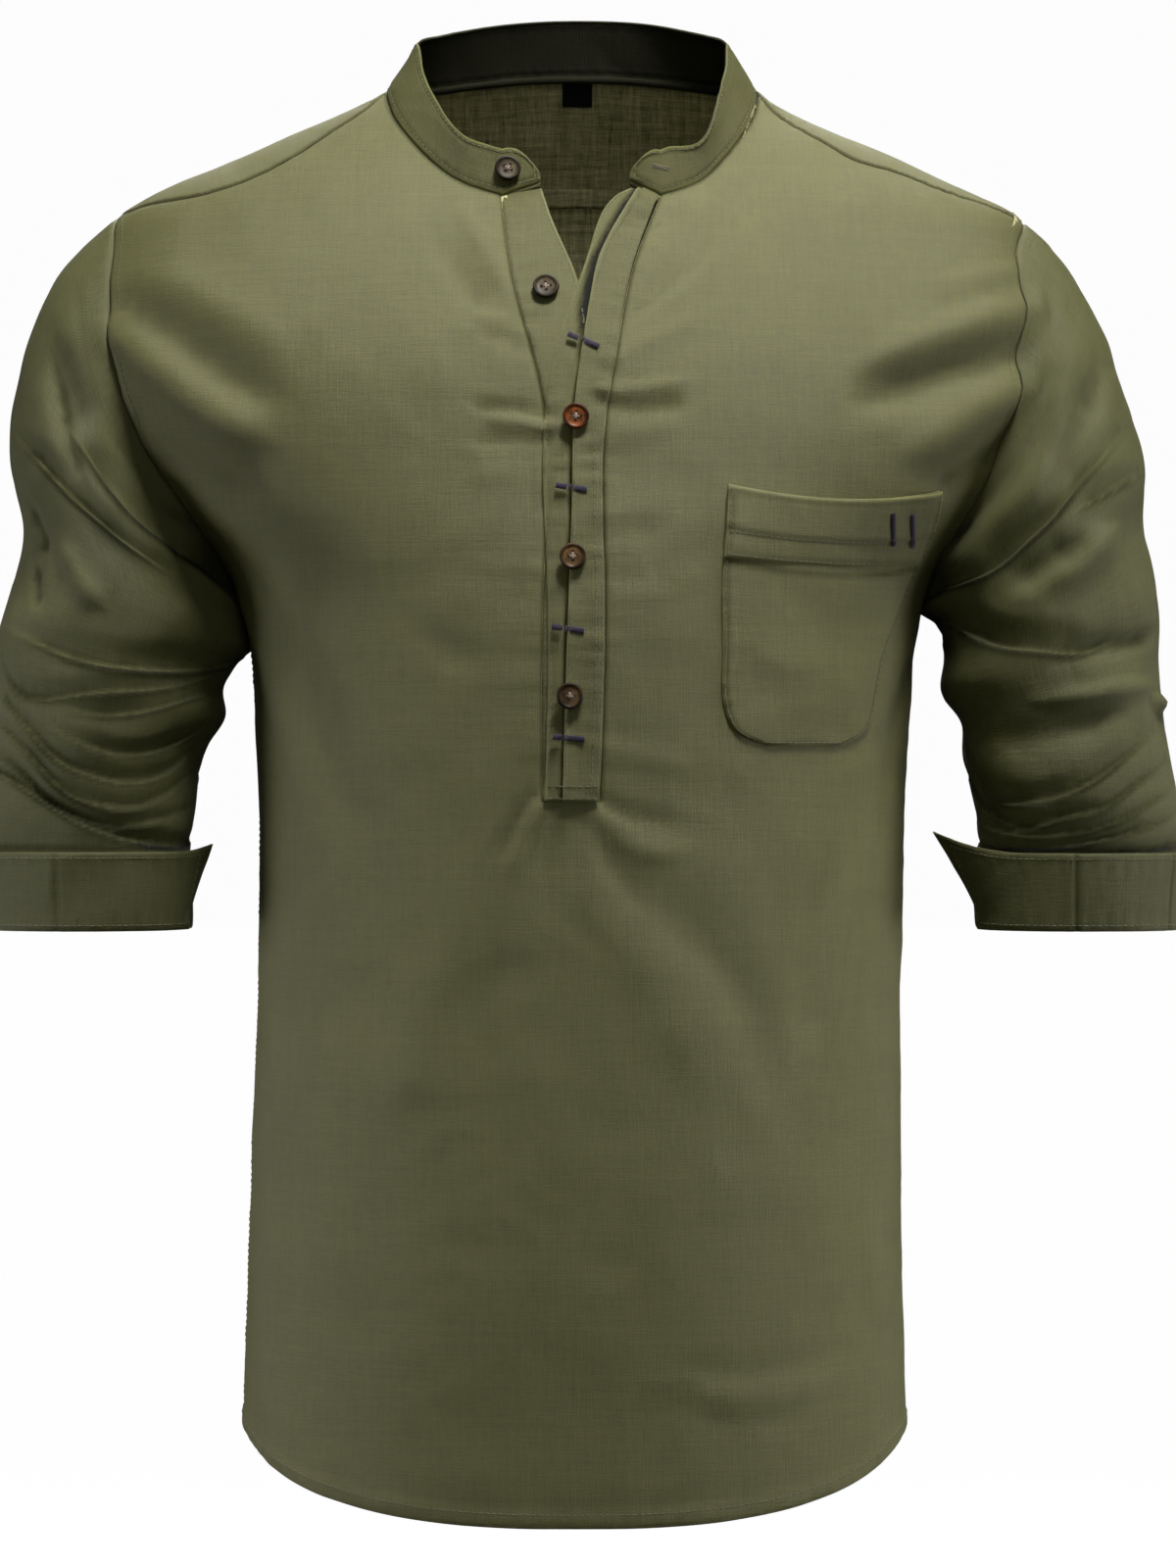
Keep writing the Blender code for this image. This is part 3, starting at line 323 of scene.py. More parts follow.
def half_girth(side, height, back):
    """Length of cloth from the centre line to the side seam."""
    height = np.atleast_1d(height)
    width, depth, power = section(side, height, back)
    return quarter_arcs(width, depth, power, np.full(len(height), math.pi / 2))[1][:, -1]


def torso_point(across, height, back=False):
    """Points of the torso cloth, `across` along the cloth from the centre line, at each height."""
    across, height = np.broadcast_arrays(np.atleast_1d(across).astype(float), height)
    width, depth, power = section(across, height, back)
    angles, arcs = quarter_arcs(width, depth, power, np.full(len(across), math.pi / 2))
    i = np.clip((arcs <= np.abs(across)[:, None]).sum(axis=1) - 1, 0, ARC_STEPS - 1)
    rows = np.arange(len(across))
    part = np.clip((np.abs(across) - arcs[rows, i]) / (arcs[rows, i + 1] - arcs[rows, i]), 0, 1)
    side, ahead = outline(angles[rows, i] + part * (angles[rows, i + 1] - angles[rows, i]), power)
    return np.stack([np.sign(across) * width * side, np.where(back, 1, -1) * depth * ahead, height], axis=1)


def across_at(x, height, back=False):
    """Length of cloth from the centre line to the place x, at each height."""
    x, height = np.broadcast_arrays(np.atleast_1d(x).astype(float), height)
    width, depth, power = section(x, height, back)
    side = np.clip(np.abs(x) / width, 0, 1)
    ahead = (1 - side**power) ** (1 / power)
    return np.sign(x) * quarter_arcs(width, depth, power, np.arctan2(side, ahead))[1][:, -1]


def depth_at(x, height, back):
    """How far behind (+) or in front of (-) the side plane the torso cloth lies at (x, height)."""
    width, depth, power = section(x, height, back)
    return np.where(back, 1, -1) * depth * (1 - np.clip(np.abs(x) / width, 0, 1) ** power) ** (1 / power)


def height_at(x, y):
    """Height of the cloth on top of the shoulders, over each place of the plan."""
    low = np.full(x.shape, TORSO_SHOULDER * MM)
    high = np.full(x.shape, TORSO[-1].height * MM)
    for _ in range(HALVINGS):
        middle = (low + high) / 2
        width, depth, power = section(x, middle, y > 0)
        inside = np.abs(x / width) ** power + np.abs(y / depth) ** power < 1
        low, high = np.where(inside, middle, low), np.where(inside, high, middle)
    return (low + high) / 2


def places(table, count, aside=0.0):
    """`count` evenly spaced places along a smooth line through a table of places, in metres, moved
    aside to the left of the way it runs."""
    corners = np.stack([column(table, "x"), column(table, "height")], axis=1)
    run = runs(corners)
    fine = np.linspace(0, run[-1], LINE_STEPS * count)
    smooth = np.stack([spline(run, corners[:, 0], fine), spline(run, corners[:, 1], fine)], axis=1)
    line = evenly(smooth, count)
    way = np.gradient(line, axis=0)
    way /= np.linalg.norm(way, axis=1)[:, None]
    return line + aside * np.stack([-way[:, 1], way[:, 0]], axis=1)


def runs(line):
    """Distance along a line to each of its points."""
    return np.concatenate([[0], np.cumsum(np.linalg.norm(np.diff(line, axis=0), axis=1))])


def evenly(line, count):
    """The line read again at `count` points an equal distance apart."""
    run = runs(line)
    at = np.linspace(0, run[-1], count)
    return np.stack([np.interp(at, run, line[:, i]) for i in range(line.shape[1])], axis=1)


def on_cloth(line, back=False):
    """A line of places (x, height) as (across, height)."""
    return np.stack([across_at(line[:, 0], line[:, 1], back), line[:, 1]], axis=1)


def armhole(side, turn):
    """Points of the armhole at each turn: 0 at its top, pi / 2 front, pi underarm, negative at the back."""
    shape = ARMHOLE[side]
    middle, half = (shape.top + shape.under) / 2 * MM, (shape.top - shape.under) / 2 * MM
    height = middle + half * np.cos(turn)
    swing = np.where(turn > 0, -shape.front, shape.back) * MM * np.abs(np.sin(turn))
    y = swing * (1 - shape.egg * np.cos(turn))
    width, depth, power = section(side, height, y > 0)
    x = side * width * (1 - np.clip(np.abs(y) / depth, 0, 1) ** power) ** (1 / power)
    return np.stack([x, y, height], axis=-1)


def torso_at(x, height, back):
    """Points of the torso cloth at places (x, height)."""
    return np.stack([x, depth_at(x, height, back), height], axis=-1)


def outward(points):
    """Outward unit normals of the torso cloth at points on it."""

    def reach(at):
        """How far out a point lies: 1 on the cloth."""
        width, depth, power = section(at[..., 0], at[..., 2], at[..., 1] > 0)
        return np.abs(at[..., 0] / width) ** power + np.abs(at[..., 1] / depth) ** power

    step = np.eye(3) * NORMAL_STEP
    slope = np.stack([reach(points + row) - reach(points - row) for row in step], axis=-1)
    return slope / np.linalg.norm(slope, axis=-1)[..., None]


# ---- spacing of the grids' points ---------------------------------------------------------------
EDGE_STEPS = np.array((0.0, 0.4, 0.9, 1.7, 3.0)) * MM  # distances of the first points from an edge


def stretch(length, cell=CELL, first=True, last=True):
    """Distances at which a stretch of cloth has its points: closer together beside a sewn edge."""
    lead = EDGE_STEPS[:-1] if first else EDGE_STEPS[:0]
    tail = EDGE_STEPS[:-1] if last else EDGE_STEPS[:0]
    low = EDGE_STEPS[-1] if first else 0.0
    high = length - (EDGE_STEPS[-1] if last else 0.0)
    inner = np.linspace(low, high, max(2, round((high - low) / cell) + 1))
    return np.concatenate([lead, inner, length - tail[::-1]])


def shares(*knots, cell=CELL, sewn=None):
    """Shares of a line cut into stretches of these lengths, with a point at each cut."""
    sewn = sewn or [True] * (len(knots) + 1)
    at, start = [np.zeros(1)], 0.0
    for i, length in enumerate(knots):
        at.append(start + stretch(length, cell, sewn[i], sewn[i + 1])[1:])
        start += length
    return np.concatenate(at) / start


def read_along(line, at):
    """A line read at shares of its length."""
    run = runs(line)
    return np.stack([np.interp(at * run[-1], run, line[:, i]) for i in range(line.shape[1])], axis=1)


def patch(bottom, top, left, right, u, v):
    """Coons patch inside four edges that share their corners, read at shares u across and v up."""
    bottom, top = read_along(bottom, u), read_along(top, u)
    left, right = read_along(left, v), read_along(right, v)
    u, v = u[None, :, None], v[:, None, None]
    ruled = (1 - v) * bottom[None] + v * top[None] + (1 - u) * left[:, None] + u * right[:, None]
    corners = (1 - v) * ((1 - u) * bottom[0] + u * bottom[-1]) + v * ((1 - u) * top[0] + u * top[-1])
    return ruled - corners


# ---- folds, seams and ripples -------------------------------------------------------------------
STRAIGHT_PLACES = 16  # places read along a straight fold
CURVE_PLACES = 12  # places read along a curved one, for each corner of its line
NEAREST_BLOCK = 300000  # pairs of point and line that are measured at a time


def smooth_step(at):
    """0 up to 0, 1 from 1 on, and soft between."""
    at = np.clip(at, 0, 1)
    return at * at * (3 - 2 * at)


def bell(at, wide=1.0):
    """A soft bump: 1 at 0, and nearly gone two widths away."""
    return np.exp(-((at / wide) ** 2))


def close_to(points, line, reach):
    """Which points lie in the line's box, grown by `reach`."""
    return np.all((points > line.min(axis=0) - reach) & (points < line.max(axis=0) + reach), axis=1)


def curve(corners):
    """A smooth line through its corners."""
    corners = np.asarray(corners, float)
    if len(corners) == 2:
        return np.linspace(corners[0], corners[1], STRAIGHT_PLACES)
    run = runs(corners)
    fine = np.linspace(0, run[-1], CURVE_PLACES * len(corners))
    return np.stack([spline(run, corners[:, i], fine) for i in range(corners.shape[1])], axis=1)


def nearest(points, line):
    """For each point, the nearest place on a line, how far along the line it is, and the line's way."""
    step = np.diff(line, axis=0)
    length = np.linalg.norm(step, axis=1)
    way, run = step / length[:, None], np.concatenate([[0], np.cumsum(length)])
    spot, along, ways = np.empty_like(points), np.empty(len(points)), np.empty_like(points)
    for block in np.array_split(np.arange(len(points)), 1 + len(points) * len(step) // NEAREST_BLOCK):
        away = points[block, None] - line[None, :-1]
        part = np.clip(np.einsum("psc,sc->ps", away, way), 0, length)
        gap = away - part[..., None] * way
        i = np.einsum("psc,psc->ps", gap, gap).argmin(axis=1)
        rows = np.arange(len(block))
        spot[block] = line[i] + part[rows, i, None] * way[i]
        along[block], ways[block] = run[i] + part[rows, i], way[i]
    return spot, along, ways


SWELL_RISE, SWELL_FALL = 0.5, 2.6  # lengths of a swelling's sharp rise and of its long fall, in widths
ROLL_SWELL, ROLL_FOOT, ROLL_FOOT_WIDE = 0.85, 0.12, 0.45  # a roll's height, and its foot's depth and width
ROLL_LAP = 0.5  # how far a roll of cloth sags over its lower side, as a share of its height
ROLL_SHADE = 1.9  # painted shade at the foot of a roll: how dark it is, on the scale of the wear-and-shade tone
ROLL_SHADE_FULL = 2.6  # height of a roll, in millimetres, from which its foot is that dark
SHADE_DOWN, SHADE_WIDE = 0.06, 0.32  # that shade's place below the line and its half width, in widths
SHADE_LEAST = 1.45 * MM  # and its least half width
FOLD_REACH = 3.2  # widths beside its line within which a fold moves the cloth
FOLD_FADE = 0.34  # share of a fold's length over which it fades towards an end
FOLD_TIP = 0.55  # how wide it still is where it has faded, as a share


def swell(t):
    """A swelling that rises sharply from 0 to 1 and then dies away softly."""
    return smooth_step(t / SWELL_RISE) * (1 - smooth_step((t - SWELL_RISE) / SWELL_FALL))


PROFILES = {  # height across a fold, in shares of its height, against shares of its width
    "ridge": bell,
    "trough": lambda t: -bell(t),
    "roll": lambda t: ROLL_SWELL * swell(t) - ROLL_FOOT * bell(t, ROLL_FOOT_WIDE),
}

# A fold runs along a line of places. It is `high` proud and about `wide` across, in millimetres, and at
# its two ends it keeps these shares of its height.
Fold = namedtuple("Fold", "kind high wide first last line")


def fold_shift(points, normals, fold, line, tones=None):
    """How a fold moves each point. The foot of a roll gets painted shade, taken off `tones`."""
    shift = np.zeros_like(points)
    near = close_to(points, line, FOLD_REACH * fold.wide * MM)
    if not near.any():
        return shift
    spot, run, way = nearest(points[near], line)
    normal = normals[near]
    side = np.cross(normal, way)
    side /= np.linalg.norm(side, axis=1)[:, None]
    upward = np.cross(normal_by(line, points[near], normal), line[-1] - line[0])[2] > 0
    side *= 1.0 if upward else -1.0
    gap = points[near] - spot
    share = run / runs(line)[-1]
    hold = fold.first + (1 - fold.first) * smooth_step(share / FOLD_FADE)
    hold = hold * (fold.last + (1 - fold.last) * smooth_step((1 - share) / FOLD_FADE))
    wide = fold.wide * MM * (FOLD_TIP + (1 - FOLD_TIP) * hold)
    across = (gap * side).sum(axis=1) / wide
    off = np.linalg.norm(gap - (gap * side).sum(axis=1)[:, None] * side, axis=1) / wide
    hold = hold * bell(off)
    moved = (PROFILES[fold.kind](across) * hold * fold.high * MM)[:, None] * normal
    if fold.kind == "roll":
        moved -= (swell(across) * hold * fold.high * MM * ROLL_LAP)[:, None] * side
        if tones is not None:
            # Painted shade in the crease under the roll.
            dark = ROLL_SHADE * min(1.0, fold.high / ROLL_SHADE_FULL) * hold
            tones[near] -= dark * bell(across + SHADE_DOWN, np.maximum(SHADE_WIDE, SHADE_LEAST / wide))
    shift[near] = moved
    return shift


def normal_by(line, points, normals):
    """The cloth's normal near the middle of a line."""
    middle = line[len(line) // 2]
    return normals[np.linalg.norm(points - middle, axis=1).argmin()]


LOOSE_TURN = 6.3  # random phases run up to here, just past a whole turn
WAVE_COUNT = 22


def waves(points, seed, longest, shortest):
    """Smooth uneven heights of about -1 to 1, with waves between these lengths in metres."""
    draw = np.random.default_rng(seed)
    heights = np.zeros(len(points))
    for length in np.geomspace(longest, shortest, WAVE_COUNT):
        way = draw.normal(size=3)
        way /= np.linalg.norm(way)
        turn = points @ way * 2 * math.pi / length + draw.uniform(0, LOOSE_TURN)
        heights += (length / longest) ** 0.5 * np.sin(turn)
    return heights / math.sqrt(WAVE_COUNT)


SEAM_DRIFT = ((1.7, 0.23), (1.1, 0.11), (0.8, 0.37))  # how puckers drift: amount, and share of their rate
PUCKER_RATES = (0.17, 0.071)  # shares of their rate at which puckers come and go
PUCKER_LEAST = 0.55  # their middle strength
PUCKER_FREE = 1.6  # millimetres beside the line that they leave smooth
GROOVE_WIDE, GROOVE_DARK_WIDE = 1.25, 1.15  # half widths of the pressed groove and of the painted shade along it
GROOVE_REACH = 5 * MM

# Seams press the cloth down along their line and gather it a little beside it. Lengths in millimetres.
# `dark` is how much painted shade lies along a seam.
Seam = namedtuple("Seam", "line deep pucker pitch reach seed dark", defaults=(0.0,))


def seam_height(points, seam):
    """How far a seam's groove and puckers raise each point."""
    height = np.zeros(len(points))
    near = close_to(points, seam.line, (4 * seam.reach + 2) * MM)
    if not near.any():
        return height
    spot, run, _ = nearest(points[near], seam.line)
    gap = np.linalg.norm(points[near] - spot, axis=1) / MM
    draw = np.random.default_rng(seam.seed)
    turn = 2 * math.pi * run / (seam.pitch * MM)
    drift = sum(amount * np.sin(turn * rate + draw.uniform(0, LOOSE_TURN)) for amount, rate in SEAM_DRIFT)
    first, second = (np.sin(turn * rate + draw.uniform(0, LOOSE_TURN)) for rate in PUCKER_RATES)
    strength = PUCKER_LEAST + (1 - PUCKER_LEAST) * first * second
    pucker = np.sin(turn + drift) * strength * np.exp(-gap / seam.reach) * (1 - bell(gap, PUCKER_FREE))
    height[near] = (seam.pucker * pucker - seam.deep * bell(gap, GROOVE_WIDE)) * MM
    return height


def seam_painted_shade(points):
    """Painted shade along the seams' grooves and under the collar's foot: how dark the cloth is there, on the
    scale of the wear-and-shade tone.
    """
    tones = np.zeros(len(points))
    for seam in TORSO_SEAMS:
        near = close_to(points, seam.line, GROOVE_REACH)
        if seam.dark and near.any():
            spot, _, _ = nearest(points[near], seam.line)
            gap = np.linalg.norm(points[near] - spot, axis=1) / MM
            tones[near] -= seam.dark * bell(gap, GROOVE_DARK_WIDE)
    return tones


# ---- the torso's folds, as places (x, height) on the front or the back ---------------------------
FRONT_FOLDS = (
    Fold("ridge", 2.02, 12, 0.3, 0, ((-216, -97), (-182, -112), (-153, -132), (-131, -149))),
    Fold("trough", 3.53, 11, 0.7, 0, (
        (-224, -114), (-197, -132), (-174, -149), (-151, -163), (-130, -169))),
    Fold("ridge", 4.54, 12, 0.7, 0, ((-229, -129), (-204, -151), (-182, -169), (-160, -181), (-136, -186))),
    Fold("trough", 3.02, 12, 0.7, 0, ((-216, -170), (-191, -193), (-169, -206), (-146, -212))),
    Fold("ridge", 1.51, 6, 0.7, 0, ((225, -94), (192, -102), (165, -108))),
    Fold("ridge", 4.37, 11, 0.8, 0, ((227, -115), (203, -123), (182, -131), (154, -142), (127, -155))),
    Fold("trough", 4.7, 11, 0.8, 0, ((222, -139), (202, -145), (182, -151), (154, -161), (124, -172))),
    Fold("ridge", 3.86, 11, 0.8, 0, ((223, -155), (196, -169), (170, -186), (150, -197))),
    Fold("trough", 2.86, 10, 0.7, 0, ((214, -182), (192, -198), (170, -211))),
    Fold("ridge", 1.98, 7, 0.4, 0.2, ((-57, -70), (-45, -88), (-35, -108), (-29, -120))),
    Fold("trough", 1.58, 7, 0.2, 0.2, ((-72, -74), (-62, -96), (-50, -114), (-38, -127))),
    Fold("ridge", 0.95, 4.5, 0, 0.6, ((-54, -122), (-38, -127), (-23, -133))),
    Fold("trough", 0.71, 4.0, 0, 0.8, ((-50, -132), (-36, -137), (-21, -143))),
    Fold("trough", 1.04, 3.8, 0.1, 1, ((-56, -167), (-40, -170), (-28, -171), (-14, -174))),
    Fold("ridge", 1.33, 3.6, 0.1, 1, ((-48, -175), (-38, -176), (-26, -178), (-13, -180))),
    Fold("trough", 0.86, 4.2, 0, 1, ((-58, -186), (-40, -186), (-26, -186), (-13, -187))),
    Fold("ridge", 0.62, 5.0, 0, 1, ((-60, -204), (-38, -203), (-14, -202))),
    Fold("ridge", 1.14, 7, 0.8, 0.2, ((58, -64), (41, -88), (27, -110))),
    Fold("trough", 1.71, 7, 0.3, 0.8, ((80, -58), (74, -68), (61, -92), (40, -115), (21, -131))),
    Fold("ridge", 1.24, 6.5, 0.1, 0.9, ((86, -82), (71, -95), (49, -117), (22, -136))),
    Fold("trough", 0.95, 4, 0.1, 1, ((62, -110), (54, -116), (38, -127), (19, -140))),
    Fold("ridge", 0.81, 4.5, 0.1, 1, ((74, -122), (54, -129), (36, -138), (18, -147))),
    Fold("trough", 0.86, 5, 0.9, 0, ((24, -78), (38, -77), (58, -70))),
    Fold("ridge", 1.43, 3.6, 1, 0, ((13, -162), (26, -162), (40, -160), (62, -156))),
    Fold("trough", 1.14, 4.2, 1, 0, ((13, -168), (28, -170), (44, -169), (60, -166))),
    Fold("ridge", 0.66, 5, 1, 0, ((14, -184), (32, -182), (60, -176))),
    Fold("ridge", 0.42, 5, 1, 0, ((12, -222), (30, -219), (52, -214))),
    Fold("trough", 0.42, 5, 1, 0, ((12, -232), (28, -231), (46, -228))),
    Fold("ridge", 0.42, 5, 1, 0, ((10, -262), (30, -262), (54, -258))),
    Fold("ridge", 0.42, 4.5, 0, 1, ((-58, -246), (-34, -248), (-18, -250))),
    Fold("trough", 0.23, 5, 0, 1, ((-62, -288), (-36, -290), (-18, -292))),
    Fold("ridge", 0.64, 5, 1, 0, ((12, -336), (34, -340), (62, -346))),
    Fold("trough", 1.03, 3.8, 1, 0, ((9, -360), (18, -364), (32, -368), (56, -371))),
    Fold("ridge", 1.27, 6, 0.8, 0, ((10, -366), (19, -374), (29, -382), (46, -386), (62, -385))),
    Fold("trough", 0.87, 6.0, 0.8, 0, ((8, -370), (16, -388), (26, -404), (38, -418))),
    Fold("trough", 0.95, 4.0, 1, 0.1, ((-19, -358), (-27, -366), (-35, -380), (-42, -398))),
    Fold("ridge", 1.03, 3.4, 1, 0.1, ((-16, -359), (-21, -369), (-26, -382), (-31, -400))),
    Fold("trough", 0.64, 5.0, 1, 0, ((-10, -364), (-13, -382), (-16, -406))),
    Fold("trough", 0.66, 7, 0, 0, ((39, -632), (72, -637), (101, -635), (141, -626))),
    Fold("ridge", 0.55, 7, 0, 0, ((42, -645), (76, -650), (112, -648), (142, -640))),
    Fold("trough", 0.42, 6, 0, 0, ((49, -656), (82, -662), (116, -660))),
    Fold("ridge", 0.45, 10, 0, 0, ((25, -575), (53, -584), (86, -576))),
    Fold("ridge", 1.29, 14, 0, 0, ((-56, -414), (-70, -447), (-79, -485), (-84, -530))),
    Fold("ridge", 1.39, 15, 0, 0, ((-5, -385), (25, -428), (53, -471), (70, -520))),
    Fold("trough", 1.72, 14, 0, 0, ((20, -392), (58, -424), (88, -470), (98, -530))),
    Fold("trough", 1.58, 14, 0, 0, ((-36, -400), (-40, -450), (-38, -510), (-30, -570))),
    Fold("ridge", 0.99, 12, 0.2, 0, ((-113, -430), (-116, -510), (-118, -592), (-116, -650))),
    Fold("trough", 0.99, 11, 0.2, 0, ((-138, -400), (-140, -480), (-141, -570), (-138, -650))),
    Fold("trough", 1.98, 10, 0, 0, ((126, -372), (120, -395), (112, -450), (108, -500))),
    Fold("ridge", 2.11, 8, 0, 0, ((147, -368), (139, -392), (129, -450), (122, -500))),
    Fold("ridge", 0.79, 10, 0, 0, ((142, -540), (148, -590), (150, -640))),
    Fold("trough", 2.38, 12, 0.8, 0, ((-170, -236), (-146, -270), (-126, -316), (-112, -372))),
    Fold("ridge", 1.98, 11, 0.6, 0, ((-168, -262), (-152, -298), (-138, -346), (-130, -400))),
    Fold("trough", 1.72, 11, 0.6, 0, ((183, -268), (165, -306), (152, -352), (146, -400))),
    Fold("trough", 1.32, 10, 0, 0, ((-96, -232), (-84, -262), (-62, -286), (-34, -300))),
    Fold("ridge", 1.32, 12, 0, 0, ((-110, -218), (-96, -246), (-78, -268), (-50, -284))),
)
BACK_FOLDS = (
    Fold("ridge", 4.0, 15, 0.7, 0, ((-228, -128), (-205, -146), (-176, -166), (-140, -180), (-104, -186))),
    Fold("trough", 4.2, 12, 0.7, 0, ((-222, -152), (-196, -174), (-164, -196), (-128, -212))),
    Fold("trough", 3.0, 10, 0.5, 0, ((-214, -112), (-188, -124), (-158, -140), (-120, -152))),
    Fold("ridge", 4.2, 15, 0.7, 0, ((224, -132), (200, -150), (170, -168), (132, -184), (96, -192))),
    Fold("trough", 4.4, 12, 0.7, 0, ((216, -156), (190, -180), (158, -202), (120, -218))),
    Fold("trough", 3.0, 9, 0.5, 0, ((212, -114), (186, -130), (152, -146), (116, -154))),
    Fold("ridge", 2.0, 13, 1, 0, ((-62, -52), (-60, -110), (-54, -190), (-46, -280))),
    Fold("trough", 1.8, 12, 1, 0, ((-34, -48), (-32, -120), (-28, -200), (-22, -290))),
    Fold("ridge", 1.9, 13, 1, 0, ((58, -52), (54, -120), (50, -200), (40, -300))),
    Fold("trough", 1.7, 12, 1, 0, ((24, -46), (24, -120), (20, -210), (14, -310))),
    Fold("trough", 2.4, 12, 0.8, 0, ((-168, -240), (-140, -284), (-116, -340), (-98, -410))),
    Fold("trough", 2.4, 12, 0.8, 0, ((172, -246), (144, -292), (118, -350), (100, -420))),
    Fold("ridge", 2.2, 13, 0.4, 0, ((-160, -280), (-140, -330), (-124, -400), (-116, -470))),
    Fold("ridge", 2.0, 13, 0.4, 0, ((166, -286), (146, -338), (128, -404), (120, -480))),
    Fold("ridge", 2.4, 14, 0, 0, ((-92, -330), (-40, -352), (20, -356), (78, -338))),
    Fold("trough", 2.6, 11, 0, 0, ((-100, -352), (-46, -378), (16, -382), (86, -360))),
    Fold("trough", 2.0, 10, 0, 0, ((-70, -308), (-20, -328), (34, -330), (80, -312))),
    Fold("ridge", 1.8, 11, 0, 0, ((-60, -398), (-10, -412), (50, -408), (96, -392))),
    Fold("ridge", 2.0, 14, 0, 0, ((-118, -470), (-112, -540), (-104, -620), (-100, -680))),
    Fold("trough", 1.8, 13, 0, 0, ((-84, -480), (-80, -560), (-74, -640), (-72, -700))),
    Fold("ridge", 2.0, 14, 0, 0, ((36, -470), (30, -550), (28, -630), (26, -700))),
    Fold("trough", 2.0, 13, 0, 0, ((74, -450), (80, -540), (82, -620), (80, -690))),
    Fold("ridge", 1.8, 12, 0, 0, ((124, -470), (128, -550), (130, -620), (128, -670))),
    Fold("trough", 1.4, 9, 0, 0, ((-120, -640), (-70, -652), (-20, -648))),
)
